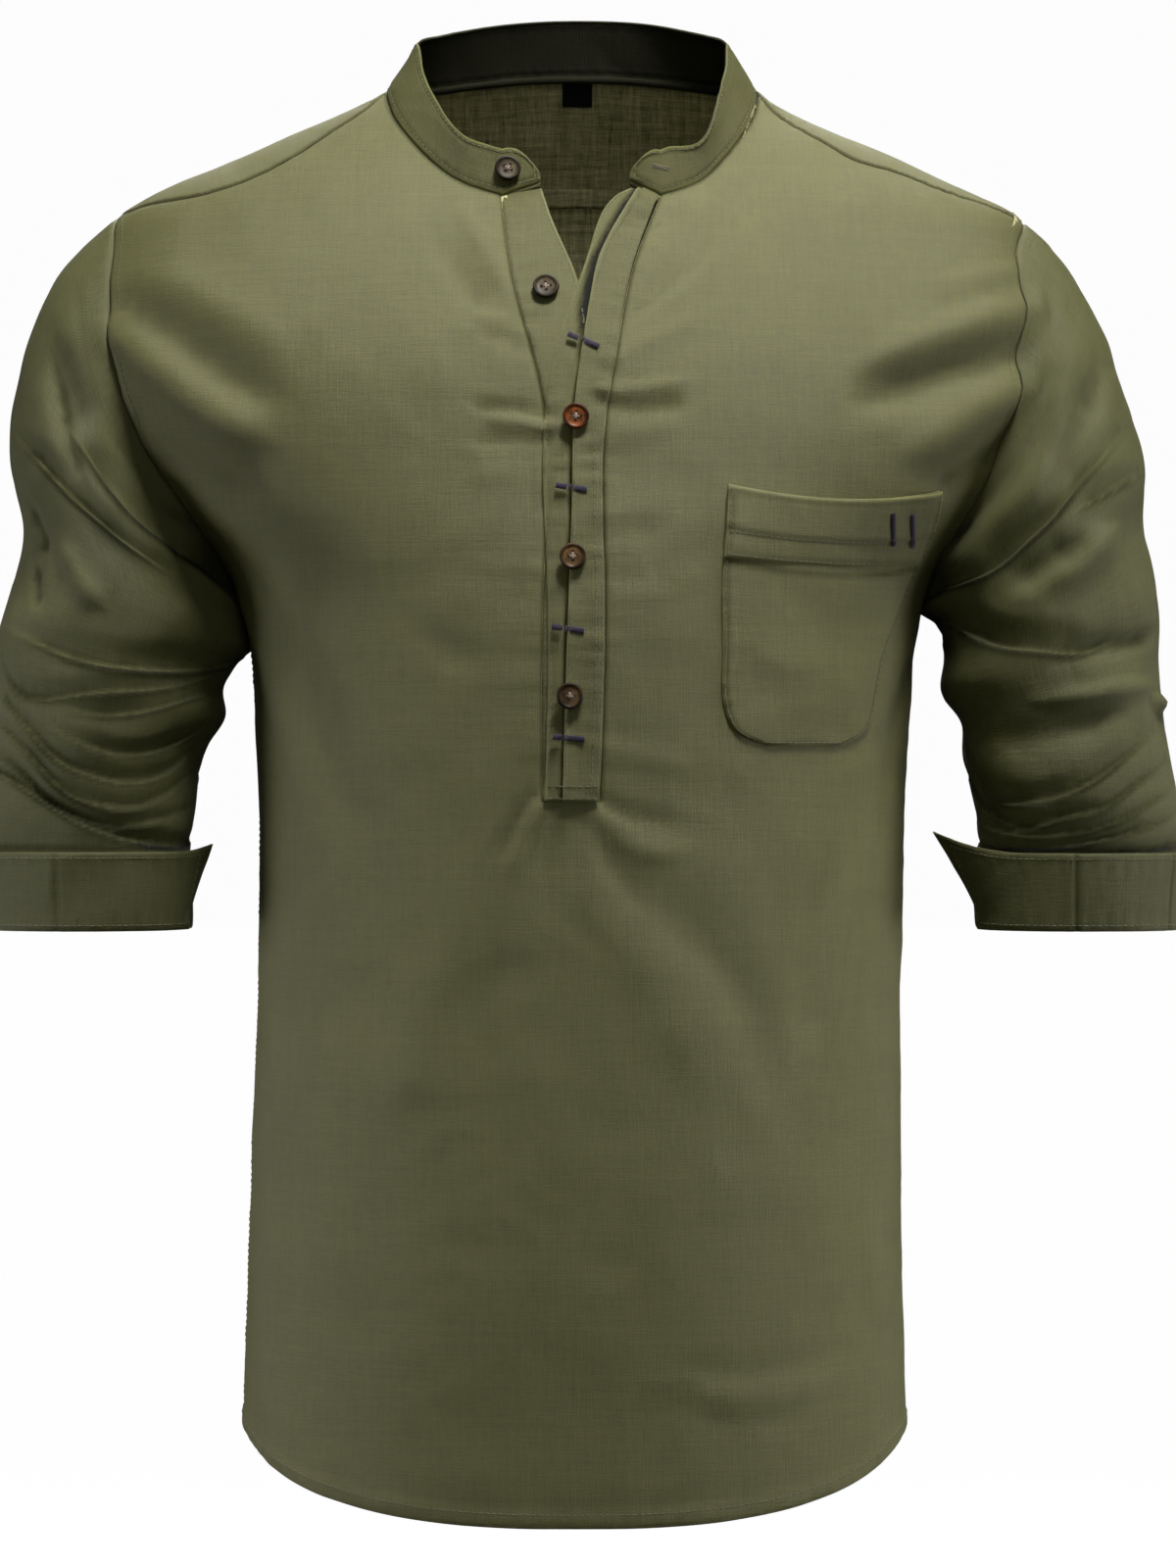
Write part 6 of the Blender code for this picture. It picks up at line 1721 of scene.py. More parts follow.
def placket():
    """The placket's three strips, which lie on one another."""
    seams = {side: on_cloth(places(SLOT[side], SEAM_PLACES)) for side in (LEFT, RIGHT)}
    for side in (LEFT, RIGHT):
        seams[side] = (seams[side] - [side * SEAM_GAP / 2, 0])[::-1]
        seams[side][0, 1] += SEAM_GAP
        seams[side][-1, 1] -= SEAM_GAP
    edges = [on_cloth(places(table, SEAM_PLACES))[::-1] for table in (UNDERLAP_EDGE, INNER_EDGE, FLY_EDGE)]
    for edge in edges:
        edge[0, 1] += SEAM_GAP
    left, right = seams[LEFT], seams[RIGHT]
    return {
        "underlap": strip("cloth_placket_underlap", left, edges[0], 0, "placket_underlap", free_right=True),
        "inner": strip(
            "cloth_placket_inner", edges[1], right, 1, "placket_inner", fly_hollow, free_left=True,
            under=fly_shadow),
        "fly": strip("cloth_placket_fly", edges[2], right, 2, "placket_fly", fly_gape, free_left=True),
    }


POCKET_WIDE = 0.115  # width that sets the pocket's number of columns
BAND_LINE_DOWN = 36.6 * MM  # the painted shadow line where the band ends, below the pocket's top edge
BAND_TUCK_DOWN = 20.5 * MM  # the band's tuck, below its top edge


def pocket_grid(first, last, cell):
    """A grid of (across, height) over the pocket between two heights in millimetres, foot to top."""
    table_heights = column(POCKET, "height")
    fine = np.linspace(table_heights[-1], table_heights[0], 300)
    left, right = (read(POCKET, "height", name, fine) for name in ("left", "right"))
    high = (first - last) * MM
    v = last * MM + stretch(high, cell)
    left, right = np.interp(v, fine, left), np.interp(v, fine, right)
    u = shares(POCKET_WIDE, cell=cell)
    hang = 1 - (2 * u - 1) ** 2
    top = POCKET[0].height * MM
    fade = np.clip((v - POCKET[-1].height * MM) / (top - POCKET[-1].height * MM), 0, 1)
    sag = POCKET_SAG * hang[None, :] * fade[:, None] ** 2
    return np.stack([left[:, None] + (right - left)[:, None] * u[None, :], v[:, None] - sag], axis=2)


def up_from_band(grid):
    """Height over the line where the pocket's band ends."""
    return grid[..., 1] - (grid[-1, :, 1][None, :] - BAND_LINE_DOWN)


def pocket_height(gap, points):
    """The pocket's bag stands off the front a little, unevenly."""
    uneven = waves(points, 91, 0.06, 0.03).reshape(gap.shape)
    return 1.1 * MM * smooth_step(gap / (22 * MM)) * (0.6 + 0.5 * uneven)


def band_height(grid, gaps):
    """The folded band has a tuck across it and a raised top edge."""
    up = grid[..., 1] - grid[-1, :, 1][None, :] + BAND_TUCK_DOWN
    tuck = 0.8 * MM * smooth_step(up / (0.8 * MM)) * np.exp(-np.clip(up, 0, 1) / (12 * MM))
    return tuck + 0.7 * MM * np.exp(-gaps[1] / (5 * MM))


def pocket():
    """The chest pocket and the folded band across its top."""
    made = {}
    for name, node, first, last, lift in (
        ("cloth_pocket", "pocket", POCKET[0].height, POCKET[-1].height, POCKET_LIFT),
        ("cloth_pocket_band", "pocket_band", POCKET[0].height, POCKET_BAND_FOOT, POCKET_LIFT + LAYER_PITCH),
    ):
        grid = pocket_grid(first, last, POCKET_CELL)
        flat = grid.reshape(-1, 2)
        points = torso_point(flat[:, 0], flat[:, 1])
        gaps = edge_gap(points.reshape(*grid.shape[:2], 3))
        gap = gaps.min(axis=0)
        own = lift + rounded(gap, 0.75, 1.0) - 0.28 * MM * bell(gap - 2.2 * MM, 0.8 * MM)
        # Pale edges, and a painted shade line in the groove along the stitches.
        wear_and_painted_shade = bell(gap, 0.9 * MM) - 0.8 * bell(gap - 2.3 * MM, 0.8 * MM)
        if node == "pocket":
            own = own + pocket_height(gap, points)
            # Painted shadow under the lower edge of the band.
            wear_and_painted_shade = wear_and_painted_shade - 0.9 * bell(up_from_band(grid), 1.6 * MM)
        else:
            own = own + band_height(grid, gaps)
        beside_seam = np.exp(-np.minimum(gaps[2], gaps[3]) / (4 * MM))
        own = own + 0.2 * MM * np.sin(grid[..., 1] * 2 * math.pi / 0.0085) * beside_seam
        shaped = worn(points, grid.shape[:2], own=own.reshape(-1))
        item = mesh_piece(
            name, [shaped], [grid + CUT["pocket"]], CLOTH_FINISH, thick=POCKET_WALL, wear_and_painted_shade=[wear_and_painted_shade])
        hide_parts(node)
        made[node] = (item, shaped, grid)
    return made


LABEL_THICK = 0.6 * MM
LABEL_IN = 0.7 * MM  # its distance from the yoke's inner side


def label():
    """The bare loop of tape inside the back neck."""
    across = LABEL_X + LABEL_WIDE * np.linspace(-0.5, 0.5, LABEL_COLUMNS)
    heights = LABEL_TOP - LABEL_HIGH * np.linspace(1, 0, LABEL_ROWS)
    grid = np.stack(np.meshgrid(across, heights), axis=2)
    flat = grid.reshape(-1, 2)
    points = torso_point(flat[:, 0], flat[:, 1], True)
    normals = outward(points)
    down = (LABEL_TOP - flat[:, 1]) / LABEL_HIGH
    curl = 0.25 * MM * np.sin(flat[:, 0] / LABEL_WIDE * math.pi * 1.6 + 0.4) * down
    inward = CLOTH + LABEL_IN + LABEL_WALL / 2 + curl[:, None]
    moved = (points + torso_shift(points, normals) - normals * inward).reshape(*grid.shape[:2], 3)
    wear_and_painted_shade = 0.5 * bell(edge_gap(moved).min(axis=0), 0.5 * MM)
    uv = grid + CUT["label"]
    item = mesh_piece("tape_label", [moved], [uv], LABEL_FINISH, thick=LABEL_THICK, wear_and_painted_shade=[wear_and_painted_shade])
    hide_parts("label")
    return item


# ---- stitches -----------------------------------------------------------------------------------
STITCH, STITCH_GAP, STITCH_RADIUS = 2.5 * MM, 0.75 * MM, 0.23 * MM
EDGE_STITCH_IN = 3.0 * MM  # from the edges of the collar and the cuffs
POCKET_STITCH_IN = 1.6 * MM
TUCK_STITCH_HEIGHT = -229.7 * MM
FOOT_ROWS = (-353.6, -359.6)  # heights of the two rows across the placket's foot, in millimetres
FOOT_ROW_IN, FOOT_ROW_PLACES = 0.6, 12
ARCH = ((0.0, -0.16), (0.28, 0.17), (0.72, 0.17), (1.0, -0.16))  # a stitch's run and height, in mm up


class Seat:
    """Finds places on the outer side of a piece's cloth."""

    def __init__(self, *items):
        points, faces, start = [], [], 0
        for item in items:
            data = item.data
            count = len(data.vertices)
            at = np.empty(count * 3, np.float32)
            data.vertices.foreach_get("co", at)
            loops = np.empty(len(data.loops), np.int32)
            data.loops.foreach_get("vertex_index", loops)
            points.append(at.reshape(-1, 3).astype(float))
            faces.append(loops.reshape(-1, 4) + start)
            start += count
        self.tree = BVHTree.FromPolygons(np.concatenate(points).tolist(), np.concatenate(faces).tolist())

    def find(self, points):
        """The nearest place to each point, and the outward way there."""
        found = [self.tree.find_nearest(Vector(p)) for p in points]
        return np.array([f[0] for f in found]), np.array([f[1] for f in found])


def tubes(paths, outs, radius, sides=4):
    """Points and faces of small tubes along paths of shape (n, k, 3), with outward ways (n, 3)."""
    count, steps = paths.shape[:2]
    way = paths[:, -1] - paths[:, 0]
    way /= np.linalg.norm(way, axis=1)[:, None]
    side = np.cross(way, outs)
    side /= np.linalg.norm(side, axis=1)[:, None]
    angles = 2 * math.pi * np.arange(sides) / sides
    ring = np.cos(angles)[None, :, None] * outs[:, None] + np.sin(angles)[None, :, None] * side[:, None]
    points = paths[:, :, None] + radius * ring[:, None]
    index = np.arange(count * steps * sides).reshape(count, steps, sides)
    after = np.roll(index, -1, axis=2)
    faces = np.stack([index[:, :-1], after[:, :-1], after[:, 1:], index[:, 1:]], axis=-1)
    return points.reshape(-1, 3), faces.reshape(-1, 4)


def stitch_paths(line, seat, inside=0.0, length=STITCH, gap=STITCH_GAP):
    """Arched stitches along a line near a piece's cloth, seated on its outer side or `inside` it."""
    total = runs(line)[-1]
    count = int(total // (length + gap))
    if count < 1:
        return None
    first = (np.arange(count) + 0.15) * (total / count)
    at = np.array([first + share * length for share, _ in ARCH]).T.reshape(-1)
    spots, outs = seat.find(read_along(line, at / total))
    outs = outs.reshape(count, len(ARCH), 3).mean(axis=1)
    outs /= np.linalg.norm(outs, axis=1)[:, None]
    spots = spots.reshape(count, len(ARCH), 3)
    if inside:
        spots, outs = spots - outs[:, None] * inside, -outs
    rise = np.array([up for _, up in ARCH]) * MM
    return spots + rise[None, :, None] * outs[:, None], outs


def thread_piece(name, parts, finish, radius=STITCH_RADIUS, sides=4):
    """One piece from many short threads."""
    points, faces, start = [], [], 0
    for paths, outs in parts:
        tube_points, tube_faces = tubes(paths, outs, radius, sides)
        points.append(tube_points)
        faces.append(tube_faces + start)
        start += len(tube_points)
    data = bpy.data.meshes.new(name)
    data.from_pydata(np.concatenate(points), [], np.concatenate(faces))
    data.shade_smooth()
    data.materials.append(finish)
    item = bpy.data.objects.new(name, data)
    bpy.context.scene.collection.objects.link(item)
    return item


def beside(line, aside):
    """A line moved sideways along the torso's cloth: to the left of its way, seen from outside."""
    way = np.gradient(line, axis=0)
    side = np.cross(outward(line), way)
    side /= np.linalg.norm(side, axis=1)[:, None]
    return line + aside * MM * side


def settle(line, lift=0.0):
    """A line on the plain torso, moved with the cloth's folds."""
    normals = outward(line)
    return line + torso_shift(line, normals) + lift * normals


def trim(line, first, last):
    """The line without some millimetres of its ends."""
    total = runs(line)[-1]
    count = max(8, int(total / (2 * MM)))
    return read_along(line, np.linspace(first * MM / total, 1 - last * MM / total, count))


def frame_rows(made, inset, seat):
    """Stitches along all four edges of a grid, some rows in from them."""
    rows = [stitch_paths(made[row, inset:-inset], seat) for row in (inset, -1 - inset)]
    return rows + [stitch_paths(made[inset:-inset, column_at], seat) for column_at in (inset, -1 - inset)]


def body_rows(body):
    """Stitches beside the seams of the torso, outside and inside it."""
    rows = []

    def sew(name, aside, ends=(3, 3)):
        """A row of stitches beside a seam, without some millimetres of its ends."""
        rows.append(stitch_paths(settle(trim(beside(SEAMS[name], aside), *ends)), body))

    for side, word in SIDES.items():
        sew("shoulder_" + word, 1.5 * side)
        sew("armhole_" + word, -6.5 * side, ends=(0, 0))
        sew("side_" + word, -1.5)
        sew("side_" + word, -7.0)
        sew("neck_" + word, 1.6 * side, ends=(4, 4))
    for name, aside in (
        ("yoke_back", -1.6), ("yoke_back", -6.5), ("neck_back", 1.6), ("hem_front", 6.8), ("hem_back", -6.8)
    ):
        sew(name, aside)
    inner = [
        stitch_paths(settle(trim(beside(SEAMS["yoke_back"], aside), 30, 30)), body, CLOTH)
        for aside in (-2.0, -7.0)]
    return rows, inner


def placket_rows(plackets):
    """Stitches along the placket's strips, and two rows across its foot."""
    strips = {key: Seat(item) for key, (item, _) in plackets.items()}
    rows = []

    def sew(line, aside, key, layer):
        """A row of stitches beside a line, on one of the strips."""
        moved = settle(trim(beside(line, aside), 3, 3), layer * LAYER_PITCH)
        rows.append(stitch_paths(moved, strips[key]))

    sew(SEAMS["slot_left"], 1.5, "underlap", 0)
    for aside in (-1.3, -4.3):
        sew(SEAMS["slot_right"], aside, "fly", 2)
    for table, aside, key, layer in (
        (UNDERLAP_EDGE, -1.5, "underlap", 0), (INNER_EDGE, 1.4, "inner", 1), (FLY_EDGE, 1.4, "fly", 2)
    ):
        sew(on_torso(places(table, SEAM_PLACES), False), aside, key, layer)
    both = Seat(plackets["fly"][0], plackets["inner"][0])
    for height in FOOT_ROWS:
        first, last = (
            np.interp(-height, -column(table, "height", 1), column(table, "x", 1))
            for table in (INNER_EDGE, SLOT[RIGHT]))
        across = np.linspace(first + FOOT_ROW_IN, last - FOOT_ROW_IN, FOOT_ROW_PLACES)
        line = on_torso(np.column_stack([across, np.full(FOOT_ROW_PLACES, height)]) * MM, False)
        rows.append(stitch_paths(settle(line, 2 * LAYER_PITCH), both))
    return rows


def pocket_rows(pockets):
    """Stitches round the pocket and its band, and along the band's tuck."""
    item, grid, _ = pockets["pocket"]
    inset = np.searchsorted(EDGE_STEPS, POCKET_STITCH_IN)
    sides = [grid[::-1, inset][:-inset], grid[inset, inset:-inset], grid[:, -1 - inset][inset:]]
    rows = [stitch_paths(np.concatenate(sides), Seat(item))]
    item, band, flat = pockets["pocket_band"]
    seat = Seat(item)
    rows.append(stitch_paths(band[inset, 2:-2], seat))
    for column_at in (inset, -1 - inset):
        rows.append(stitch_paths(band[1:-1, column_at], seat))
    rows.append(stitch_paths(band[row_at(flat, TUCK_STITCH_HEIGHT), 2:-2], seat))
    return rows


def stitches(pieces, collar_made, cuffs_made, plackets, pockets):
    """All rows of stitches, as one piece."""
    rows, inner = body_rows(Seat(pieces["front"], pieces["back"], pieces["yoke"]))
    rows += placket_rows(plackets) + pocket_rows(pockets)
    inset = np.searchsorted(EDGE_STEPS, EDGE_STITCH_IN)
    for item, made in (collar_made[:2], *cuffs_made):
        rows += frame_rows(made, inset, Seat(item))
    sewn = thread_piece("seam_stitches", [row for row in rows + inner if row is not None], THREAD_FINISH)
    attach(sewn, "root")
    return sewn


def row_at(grid, height):
    """The row of a grid of (across, height) nearest to a height."""
    return int(np.abs(grid[:, 0, 1] - height).argmin())


TACK_PITCH, TACK_WIDE, TACK_RADIUS = 0.42 * MM, 2.8, 0.27 * MM  # the width is in millimetres
TACK_ARCH = ((-0.5, 0.08), (-0.36, 0.42), (0.36, 0.42), (0.5, 0.08))  # share of its width, millimetres up


def bar_tack(first, last, wide, seat, lift):
    """A bar tack: close threads laid across a short line between two places on the front."""
    ends = np.array([first, last]) * MM
    count = max(4, int(np.linalg.norm(ends[1] - ends[0]) / TACK_PITCH))
    line = np.linspace(ends[0], ends[1], count)
    base = settle(on_torso(line, False), 0)
    spots, outs = seat.find(settle(on_torso(line, False), lift))
    rise = ((spots - base) * outs).sum(axis=1)
    spots = spots + outs * (0.95 * (rise.max() - rise))[:, None]
    way = spots[-1] - spots[0]
    way /= np.linalg.norm(way)
    across = np.cross(outs, way[None])
    across /= np.linalg.norm(across, axis=1)[:, None]
    lean = 0.25 * way[None] * MM * (np.arange(count) % 2)[:, None]
    paths = np.stack(
        [spots + across * wide * MM * a + outs * up * MM + lean * a for a, up in TACK_ARCH], axis=1)
    return paths, outs


TACKS = (  # ends of the bar tacks on the fly, as places (x, height), and on the pocket's band
    ((-3.5, -136.0), (11.0, -141.8)), ((-9.2, -209.2), (5.2, -211.4)), ((-11.2, -277.0), (4.0, -279.0)),
    ((-10.6, -329.8), (4.2, -330.9)),
)
POCKET_TACKS = (((153.0, -219.5), (153.4, -234.5)), ((162.8, -219.5), (163.2, -234.5)))


def tacks(plackets, pockets):
    """The bar tacks on the fly and on the pocket's band, as one piece."""
    fly = Seat(plackets["fly"][0], plackets["inner"][0])
    band = Seat(pockets["pocket_band"][0])
    parts = [bar_tack(*ends, TACK_WIDE, fly, 2 * LAYER_PITCH) for ends in TACKS]
    parts += [bar_tack(*ends, TACK_WIDE, band, POCKET_LIFT + LAYER_PITCH) for ends in POCKET_TACKS]
    item = thread_piece("bar_tacks", parts, TACK_FINISH, TACK_RADIUS)
    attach(item, "root")


# ---- buttons ------------------------------------------------------------------------------------
BUTTON_HOLE_AT, BUTTON_HOLE_RADIUS = 1.4, 0.85  # millimetres from the middle along both axes, and radius
PIN_SIDES, PIN_LENGTH = 16, 12 * MM
SHARP_TURN = 32  # degrees between two faces from which their edge is sharp
RIM_FROM, RIM_FADE = 4.2, 1.0  # where the darker rim begins and over how many millimetres
BUTTON_PROFILE = (  # radius and height of a button's turned outline, millimetres, face to back
    (0.0, 1.95), (2.6, 1.95), (3.9, 1.98), (4.55, 2.12), (4.95, 2.42), (5.25, 2.58), (5.55, 2.62),
    (5.9, 2.52),
    (6.25, 2.25), (6.45, 1.85), (6.5, 1.4), (6.35, 0.85), (6.0, 0.4), (5.5, 0.12), (4.8, 0.0), (0.0, 0.0),
)
BUTTON_SIDES = 56


def button_data():
    """A four-hole button standing on its back at the origin."""
    mesh = bmesh.new()
    chain = [mesh.verts.new((r * MM, 0, z * MM)) for r, z in BUTTON_PROFILE]
    edges = [mesh.edges.new(pair) for pair in zip(chain, chain[1:])]
    bmesh.ops.spin(
        mesh, geom=chain + edges, axis=(0, 0, 1), cent=(0, 0, 0), angle=2 * math.pi, steps=BUTTON_SIDES)
    bmesh.ops.remove_doubles(mesh, verts=mesh.verts, dist=1e-6)
    bmesh.ops.recalc_face_normals(mesh, faces=mesh.faces)
    body = bpy.data.meshes.new("button_body")
    mesh.to_mesh(body)
    mesh.clear()
    radius, corner = BUTTON_HOLE_RADIUS * MM, BUTTON_HOLE_AT * MM
    for x in (-corner, corner):
        for y in (-corner, corner):
            pin = bmesh.ops.create_cone(
                mesh, cap_ends=True, segments=PIN_SIDES, radius1=radius, radius2=radius, depth=PIN_LENGTH)
            bmesh.ops.translate(mesh, verts=pin["verts"], vec=(x, y, 0))
    pins = bpy.data.meshes.new("button_pins")
    mesh.to_mesh(pins)
    mesh.free()
    whole, cutter = (bpy.data.objects.new(data.name, data) for data in (body, pins))
    for item in (whole, cutter):
        bpy.context.scene.collection.objects.link(item)
    cut = whole.modifiers.new("holes", "BOOLEAN")
    cut.object = cutter
    bpy.context.view_layer.update()
    data = bpy.data.meshes.new_from_object(whole.evaluated_get(bpy.context.evaluated_depsgraph_get()))
    for item in (whole, cutter):
        bpy.data.objects.remove(item)
    data.shade_smooth()
    data.set_sharp_from_angle(angle=math.radians(SHARP_TURN))
    at = np.empty(3 * len(data.vertices), np.float32)
    data.vertices.foreach_get("co", at)
    away = np.linalg.norm(at.reshape(-1, 3)[:, :2], axis=1) / MM
    rim = data.attributes.new("rim", "FLOAT", "POINT")
    rim.data.foreach_set("value", smooth_step((away - RIM_FROM) / RIM_FADE).astype(np.float32))
    return data


BUTTON_THREAD_RADIUS = 0.19 * MM
CROSS_SHARES = np.array((0.0, 0.06, 0.3, 0.5, 0.7, 0.94, 1.0))  # places along a thread from hole to hole
CROSS_HEIGHTS = np.array((0.6, 1.9, 2.22, 2.34, 2.22, 1.9, 0.6))  # and their heights in millimetres
CROSS_OVER = 0.12  # one pair of threads lies this much over the other
CROSS_ASIDES = (-0.32, 0.0, 0.32)
SHANK = ((1.2, 1.6), (1.1, 0.6), (0.9, -0.9))  # distance along both axes and height of a shank's threads
CORNERS = ((1, 1), (-1, 1), (-1, -1), (1, -1))


def button_threads():
    """Crossed threads through a button's four holes, and the shank of thread under it."""
    parts = []
    for x, y in ((1, 1), (1, -1)):
        for aside in CROSS_ASIDES:
            along = BUTTON_HOLE_AT * (2 * CROSS_SHARES[:, None] - 1) * [x, y]
            along = along + np.array((y, -x)) / math.sqrt(2) * aside
            path = np.column_stack([along, CROSS_HEIGHTS + CROSS_OVER * (x * y > 0)])
            parts.append((path[None] * MM, np.array([[0.0, 0.0, 1.0]])))
    for x, y in CORNERS:
        path = np.array([(x * far, y * far, up) for far, up in SHANK]) * MM
        parts.append((path[None], np.array([[float(y), -float(x), 0.0]]) / math.sqrt(2)))
    return parts


def set_button(name, data, at, normal, spin, finish):
    """A button with its threads, standing off the cloth at a place."""
    turn = Vector(normal).to_track_quat("Z", "Y") @ Quaternion((0, 0, 1), math.radians(spin))
    item = bpy.data.objects.new("horn_" + name, data.copy())
    item.data.materials.append(finish)
    threads = thread_piece("thread_" + name, button_threads(), PALE_FINISH, BUTTON_THREAD_RADIUS, 6)
    for piece in (item, threads):
        place = Vector(at) + Vector(normal) * BUTTON_GAP
        piece.data.transform(Matrix.Translation(place) @ turn.to_matrix().to_4x4())
    bpy.context.scene.collection.objects.link(item)
    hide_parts(name)
    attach(item, "root")
    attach(threads, "root")


BUTTON_SPIN = {"button_1": 53, "button_2": 38, "button_3": 47, "button_4": 43, "button_collar": 10}
BUTTON_UP = 0.5 * MM  # the buttons that stand on a strip are lifted this much more
COLLAR_BUTTON_UP = 0.25 * MM
COLLAR_BUTTON_SIDES = 6 * MM  # how far beside the collar's button its cloth is measured


def buttons(collar_made):
    """The four buttons of the placket and the collar's."""
    data = button_data()
    for button in BUTTONS:
        spot = on_torso(np.array([[button.x, button.height]]) * MM, False)
        normal = outward(spot)
        at = spot + torso_shift(spot, normal) + normal * button.layer * LAYER_PITCH
        at += normal * (BUTTON_UP if button.layer else 0)
        name = button.name
        set_button(name, data, at[0], normal[0], BUTTON_SPIN[name], BUTTON_FINISHES[name])
    _, made, normals = collar_made
    run = runs(made[len(made) // 2])
    row = int(np.abs(np.linspace(0, 1, len(made)) - 0.5).argmin())
    before, here, after = (
        np.abs(run - COLLAR_BUTTON_IN - aside).argmin()
        for aside in (-COLLAR_BUTTON_SIDES, 0, COLLAR_BUTTON_SIDES))
    at, normal = made[row, here], normals[row, here]
    sides = np.mean([made[row, before], made[row, after]], axis=0)
    proud = max(0.0, float((sides - at) @ normal))
    name = "button_collar"
    at = at + normal * (proud + COLLAR_BUTTON_UP)
    set_button(name, data, at, normal, BUTTON_SPIN[name], BUTTON_FINISHES[name])


# ---- the collar's buttonhole --------------------------------------------------------------------
BUTTONHOLE_IN = 17.0 * MM  # its middle, from the band's right end
BUTTONHOLE_ENDS = ((0.50, -3), (0.56, 4))  # share of the band's height, and columns from its middle
BUTTONHOLE_PLACES = 22
BUTTONHOLE_ARCH = ((0.15, -0.1), (0.35, 0.28), (1.0, 0.26), (1.25, -0.1))  # millimetres aside and up
LOOSE_THREADS = ((4, 9, 0.5), (9, 14, 0.0), (12, 17, -0.5))  # first and last place, millimetres aside
LOOSE_SUNK, LOOSE_UP = 0.1 * MM, 0.75 * MM


def buttonhole(collar_made):
    """A worked buttonhole in the band's right end, with a few pale threads showing."""
    item, made, _ = collar_made
    run = runs(made[len(made) // 2])
    middle = np.abs(run - (run[-1] - BUTTONHOLE_IN)).argmin()
    ups = np.linspace(0, 1, len(made))
    low, high = (made[np.abs(ups - up).argmin(), middle + columns] for up, columns in BUTTONHOLE_ENDS)
    spots, outs = Seat(item).find(np.linspace(low, high, BUTTONHOLE_PLACES))
    across = np.cross(outs, ((high - low) / np.linalg.norm(high - low))[None])
    parts, pale = [], []
    for sign in (-1, 1):
        steps = [spots + sign * across * aside * MM + outs * up * MM for aside, up in BUTTONHOLE_ARCH]
        parts.append((np.stack(steps, axis=1), outs))
    for first, last, aside in LOOSE_THREADS:
        middle_there = (spots[first] + spots[last]) / 2 + outs[first] * LOOSE_UP + across[first] * aside * MM
        path = [spots[first] - outs[first] * LOOSE_SUNK, middle_there, spots[last] - outs[last] * LOOSE_SUNK]
        pale.append((np.array(path)[None], outs[first][None]))
    worked = thread_piece("collar_buttonhole", parts, THREAD_FINISH, 0.2 * MM)
    loose = thread_piece("collar_buttonhole_threads", pale, PALE_FINISH, 0.22 * MM, 6)
    for piece in (worked, loose):
        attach(piece, "root")


# ---- floor, light and camera --------------------------------------------------------------------
FLOOR_HEIGHT, FLOOR_SIZE = -1.42, 30.0
FLOOR_CORNERS = ((-1, -1), (1, -1), (1, 1), (-1, 1))
FLOOR_COLOUR, FLOOR_GLOW = (0.30, 0.30, 0.30, 1), 0.96


def floor():
    """A pale floor far below, that lights nothing."""
    data = bpy.data.meshes.new("floor")
    corners = [(x * FLOOR_SIZE, y * FLOOR_SIZE, FLOOR_HEIGHT) for x, y in FLOOR_CORNERS]
    data.from_pydata(corners, [], [(0, 1, 2, 3)])
    nodes = Nodes("pale_floor")
    nodes.even(
        Base_Color=FLOOR_COLOUR, Roughness=0.9, Emission_Color=(1, 1, 1, 1), Emission_Strength=FLOOR_GLOW)
    data.materials.append(nodes.made)
    item = bpy.data.objects.new("floor", data)
    bpy.context.scene.collection.objects.link(item)
    item.visible_diffuse = False
    item.visible_glossy = False


Light = namedtuple("Light", "name place aim size power spread glossy")
LIGHTS = (
    Light("key", (0.40, -0.82, 1.64), (0.03, -0.10, -0.05), 0.6, 3.1, 40, True),
    Light("top", (0.1, -0.1, 1.9), (0, 0, 0), 1.0, 10, 180, False),
    Light("front_fill", (0.2, -3.0, 0.35), (0, 0, -0.30), 2.2, 8.0, 180, False),
    Light("side_left", (-1.6, -0.15, -0.5), (-0.15, 0, -0.6), 0.6, 1.25, 60, True),
    Light("side_right", (1.6, -0.15, -0.5), (0.15, 0, -0.6), 0.6, 1.25, 60, True),
    Light("back_key", (0.0, 1.9, 1.5), (0, 0, -0.3), 1.2, 30, 180, True),
)


def lights():
    """Round area lights."""
    for light in LIGHTS:
        data = bpy.data.lights.new(light.name, "AREA")
        data.shape = "DISK"
        data.size = light.size
        data.energy = light.power
        data.spread = math.radians(light.spread)
        item = bpy.data.objects.new(light.name, data)
        item.location = light.place
        item.rotation_mode = "QUATERNION"
        item.rotation_quaternion = (Vector(light.aim) - Vector(light.place)).to_track_quat("-Z", "Y")
        item.visible_camera = False
        item.visible_glossy = light.glossy
        bpy.context.scene.collection.objects.link(item)


WORLD_STOPS = ((0.30, (0.16, 0.16, 0.15, 1)), (0.85, (0.75, 0.76, 0.78, 1)))  # from below to above
WORLD_STRENGTH = 0.12
SEEN_WHITE = 0.98  # brightness of the background that the camera sees


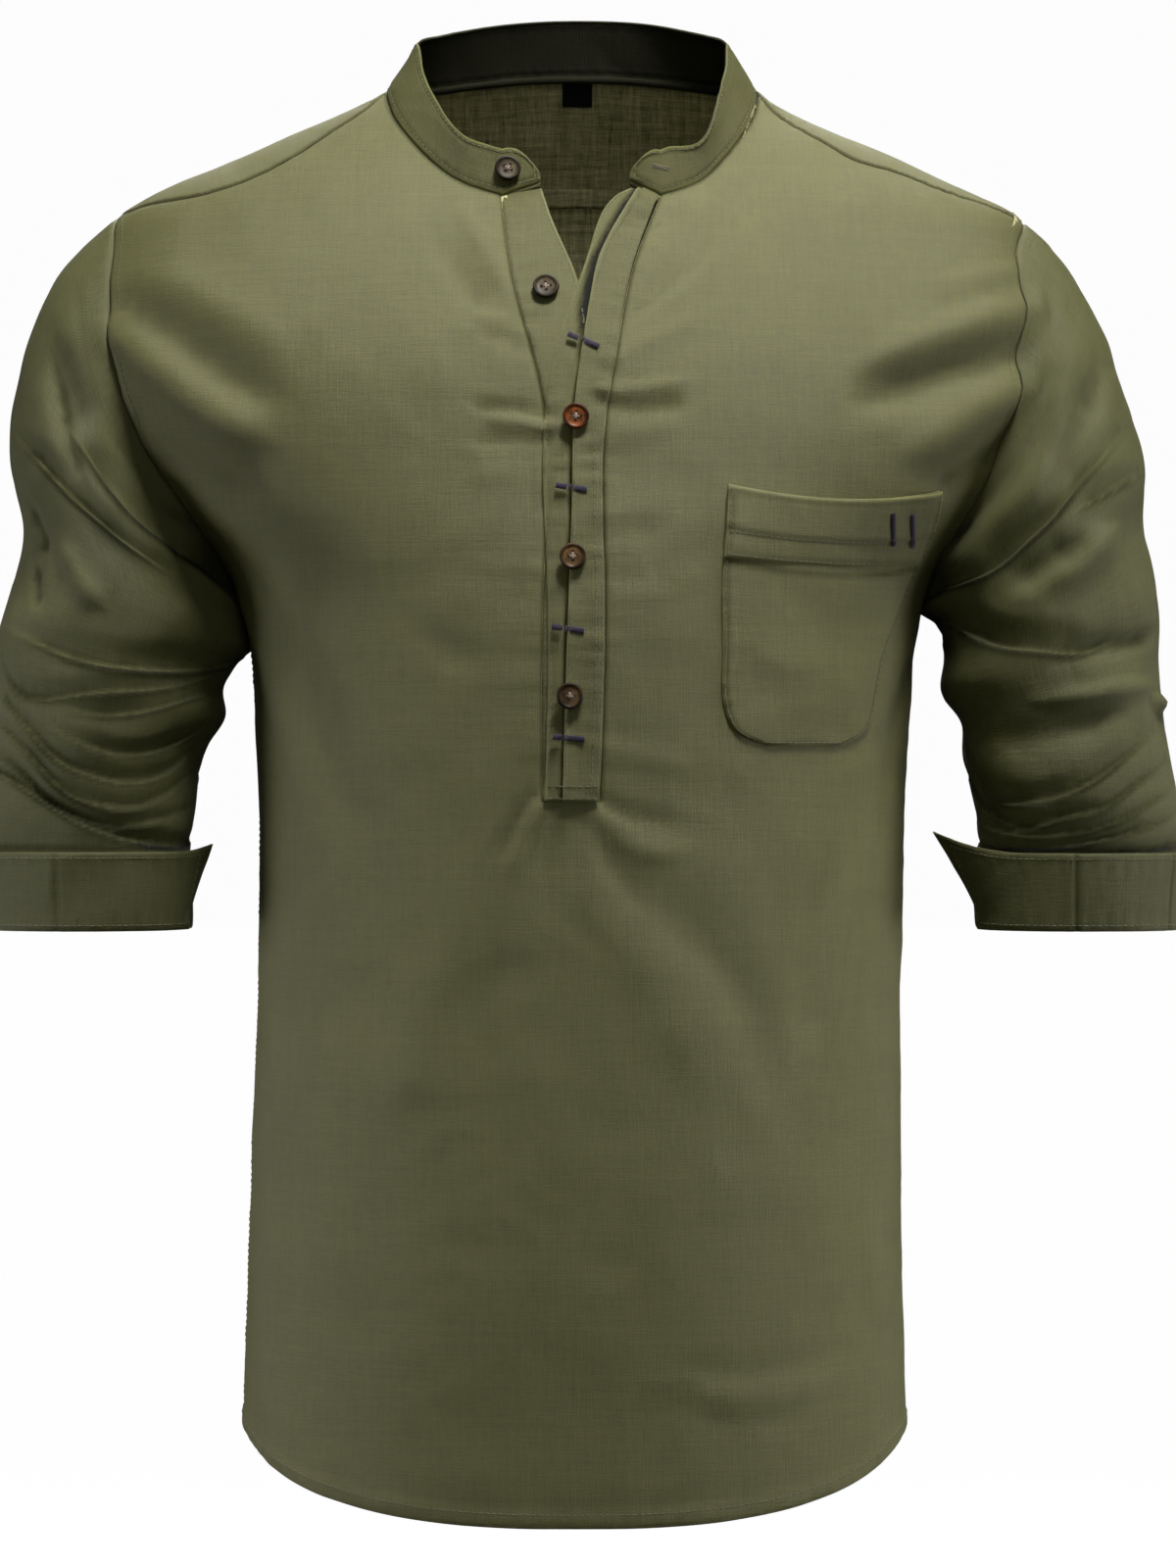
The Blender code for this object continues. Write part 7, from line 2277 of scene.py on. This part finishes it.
def world():
    """A soft grey sky that lights the shirt, and a white background for the camera."""
    made = bpy.data.worlds.new("studio")
    bpy.context.scene.world = made
    made.use_nodes = True
    tree = made.node_tree
    background = tree.nodes["Background"]
    output = tree.nodes["World Output"]
    coordinates = tree.nodes.new("ShaderNodeTexCoord")
    separate = tree.nodes.new("ShaderNodeSeparateXYZ")
    ramp = tree.nodes.new("ShaderNodeValToRGB")
    scale = tree.nodes.new("ShaderNodeMath")
    scale.operation = "MULTIPLY_ADD"
    scale.inputs[1].default_value = 0.5
    scale.inputs[2].default_value = 0.5
    tree.links.new(coordinates.outputs["Generated"], separate.inputs[0])
    tree.links.new(separate.outputs["Z"], scale.inputs[0])
    tree.links.new(scale.outputs[0], ramp.inputs["Fac"])
    for stop, (place, colour) in zip(ramp.color_ramp.elements, WORLD_STOPS):
        stop.position = place
        stop.color = colour
    tree.links.new(ramp.outputs["Color"], background.inputs["Color"])
    background.inputs["Strength"].default_value = WORLD_STRENGTH
    seen = tree.nodes.new("ShaderNodeBackground")
    seen.inputs["Color"].default_value = (1, 1, 1, 1)
    seen.inputs["Strength"].default_value = SEEN_WHITE
    ray = tree.nodes.new("ShaderNodeLightPath")
    mix = tree.nodes.new("ShaderNodeMixShader")
    tree.links.new(ray.outputs["Is Camera Ray"], mix.inputs["Fac"])
    tree.links.new(background.outputs[0], mix.inputs[1])
    tree.links.new(seen.outputs[0], mix.inputs[2])
    tree.links.new(mix.outputs[0], output.inputs["Surface"])


CAMERA_PLACE = (0.006, -2.2, -0.3525)
SENSOR_WIDE, FOCAL_LENGTH, VIEW_END = 36, 99, 100  # millimetres, and metres


def camera():
    """The photo's view: level, straight from the front."""
    data = bpy.data.cameras.new("photo_view")
    data.sensor_width = SENSOR_WIDE
    data.lens = FOCAL_LENGTH
    data.clip_end = VIEW_END
    item = bpy.data.objects.new("photo_view", data)
    item.location = CAMERA_PLACE
    item.rotation_euler = (math.pi / 2, 0, 0)
    bpy.context.scene.collection.objects.link(item)
    bpy.context.scene.camera = item


# ---- the shirt ----------------------------------------------------------------------------------
def main():
    """Everything, piece by piece."""
    camera()
    pieces = {"front": front(), "back": back(), "yoke": yoke()}
    sleeves = {side: sleeve(side) for side in SIDES}
    cuffs_made = [cuff(side) for side in SIDES]
    collar_made = collar()
    plackets, pockets = placket(), pocket()
    tape = label()
    turnings = seam_tapes()
    stitches(pieces, collar_made, cuffs_made, plackets, pockets)
    tacks(plackets, pockets)
    buttons(collar_made)
    buttonhole(collar_made)
    floor()
    lights()
    world()


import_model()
bpy.context.scene.view_settings.view_transform = "Standard"
main()
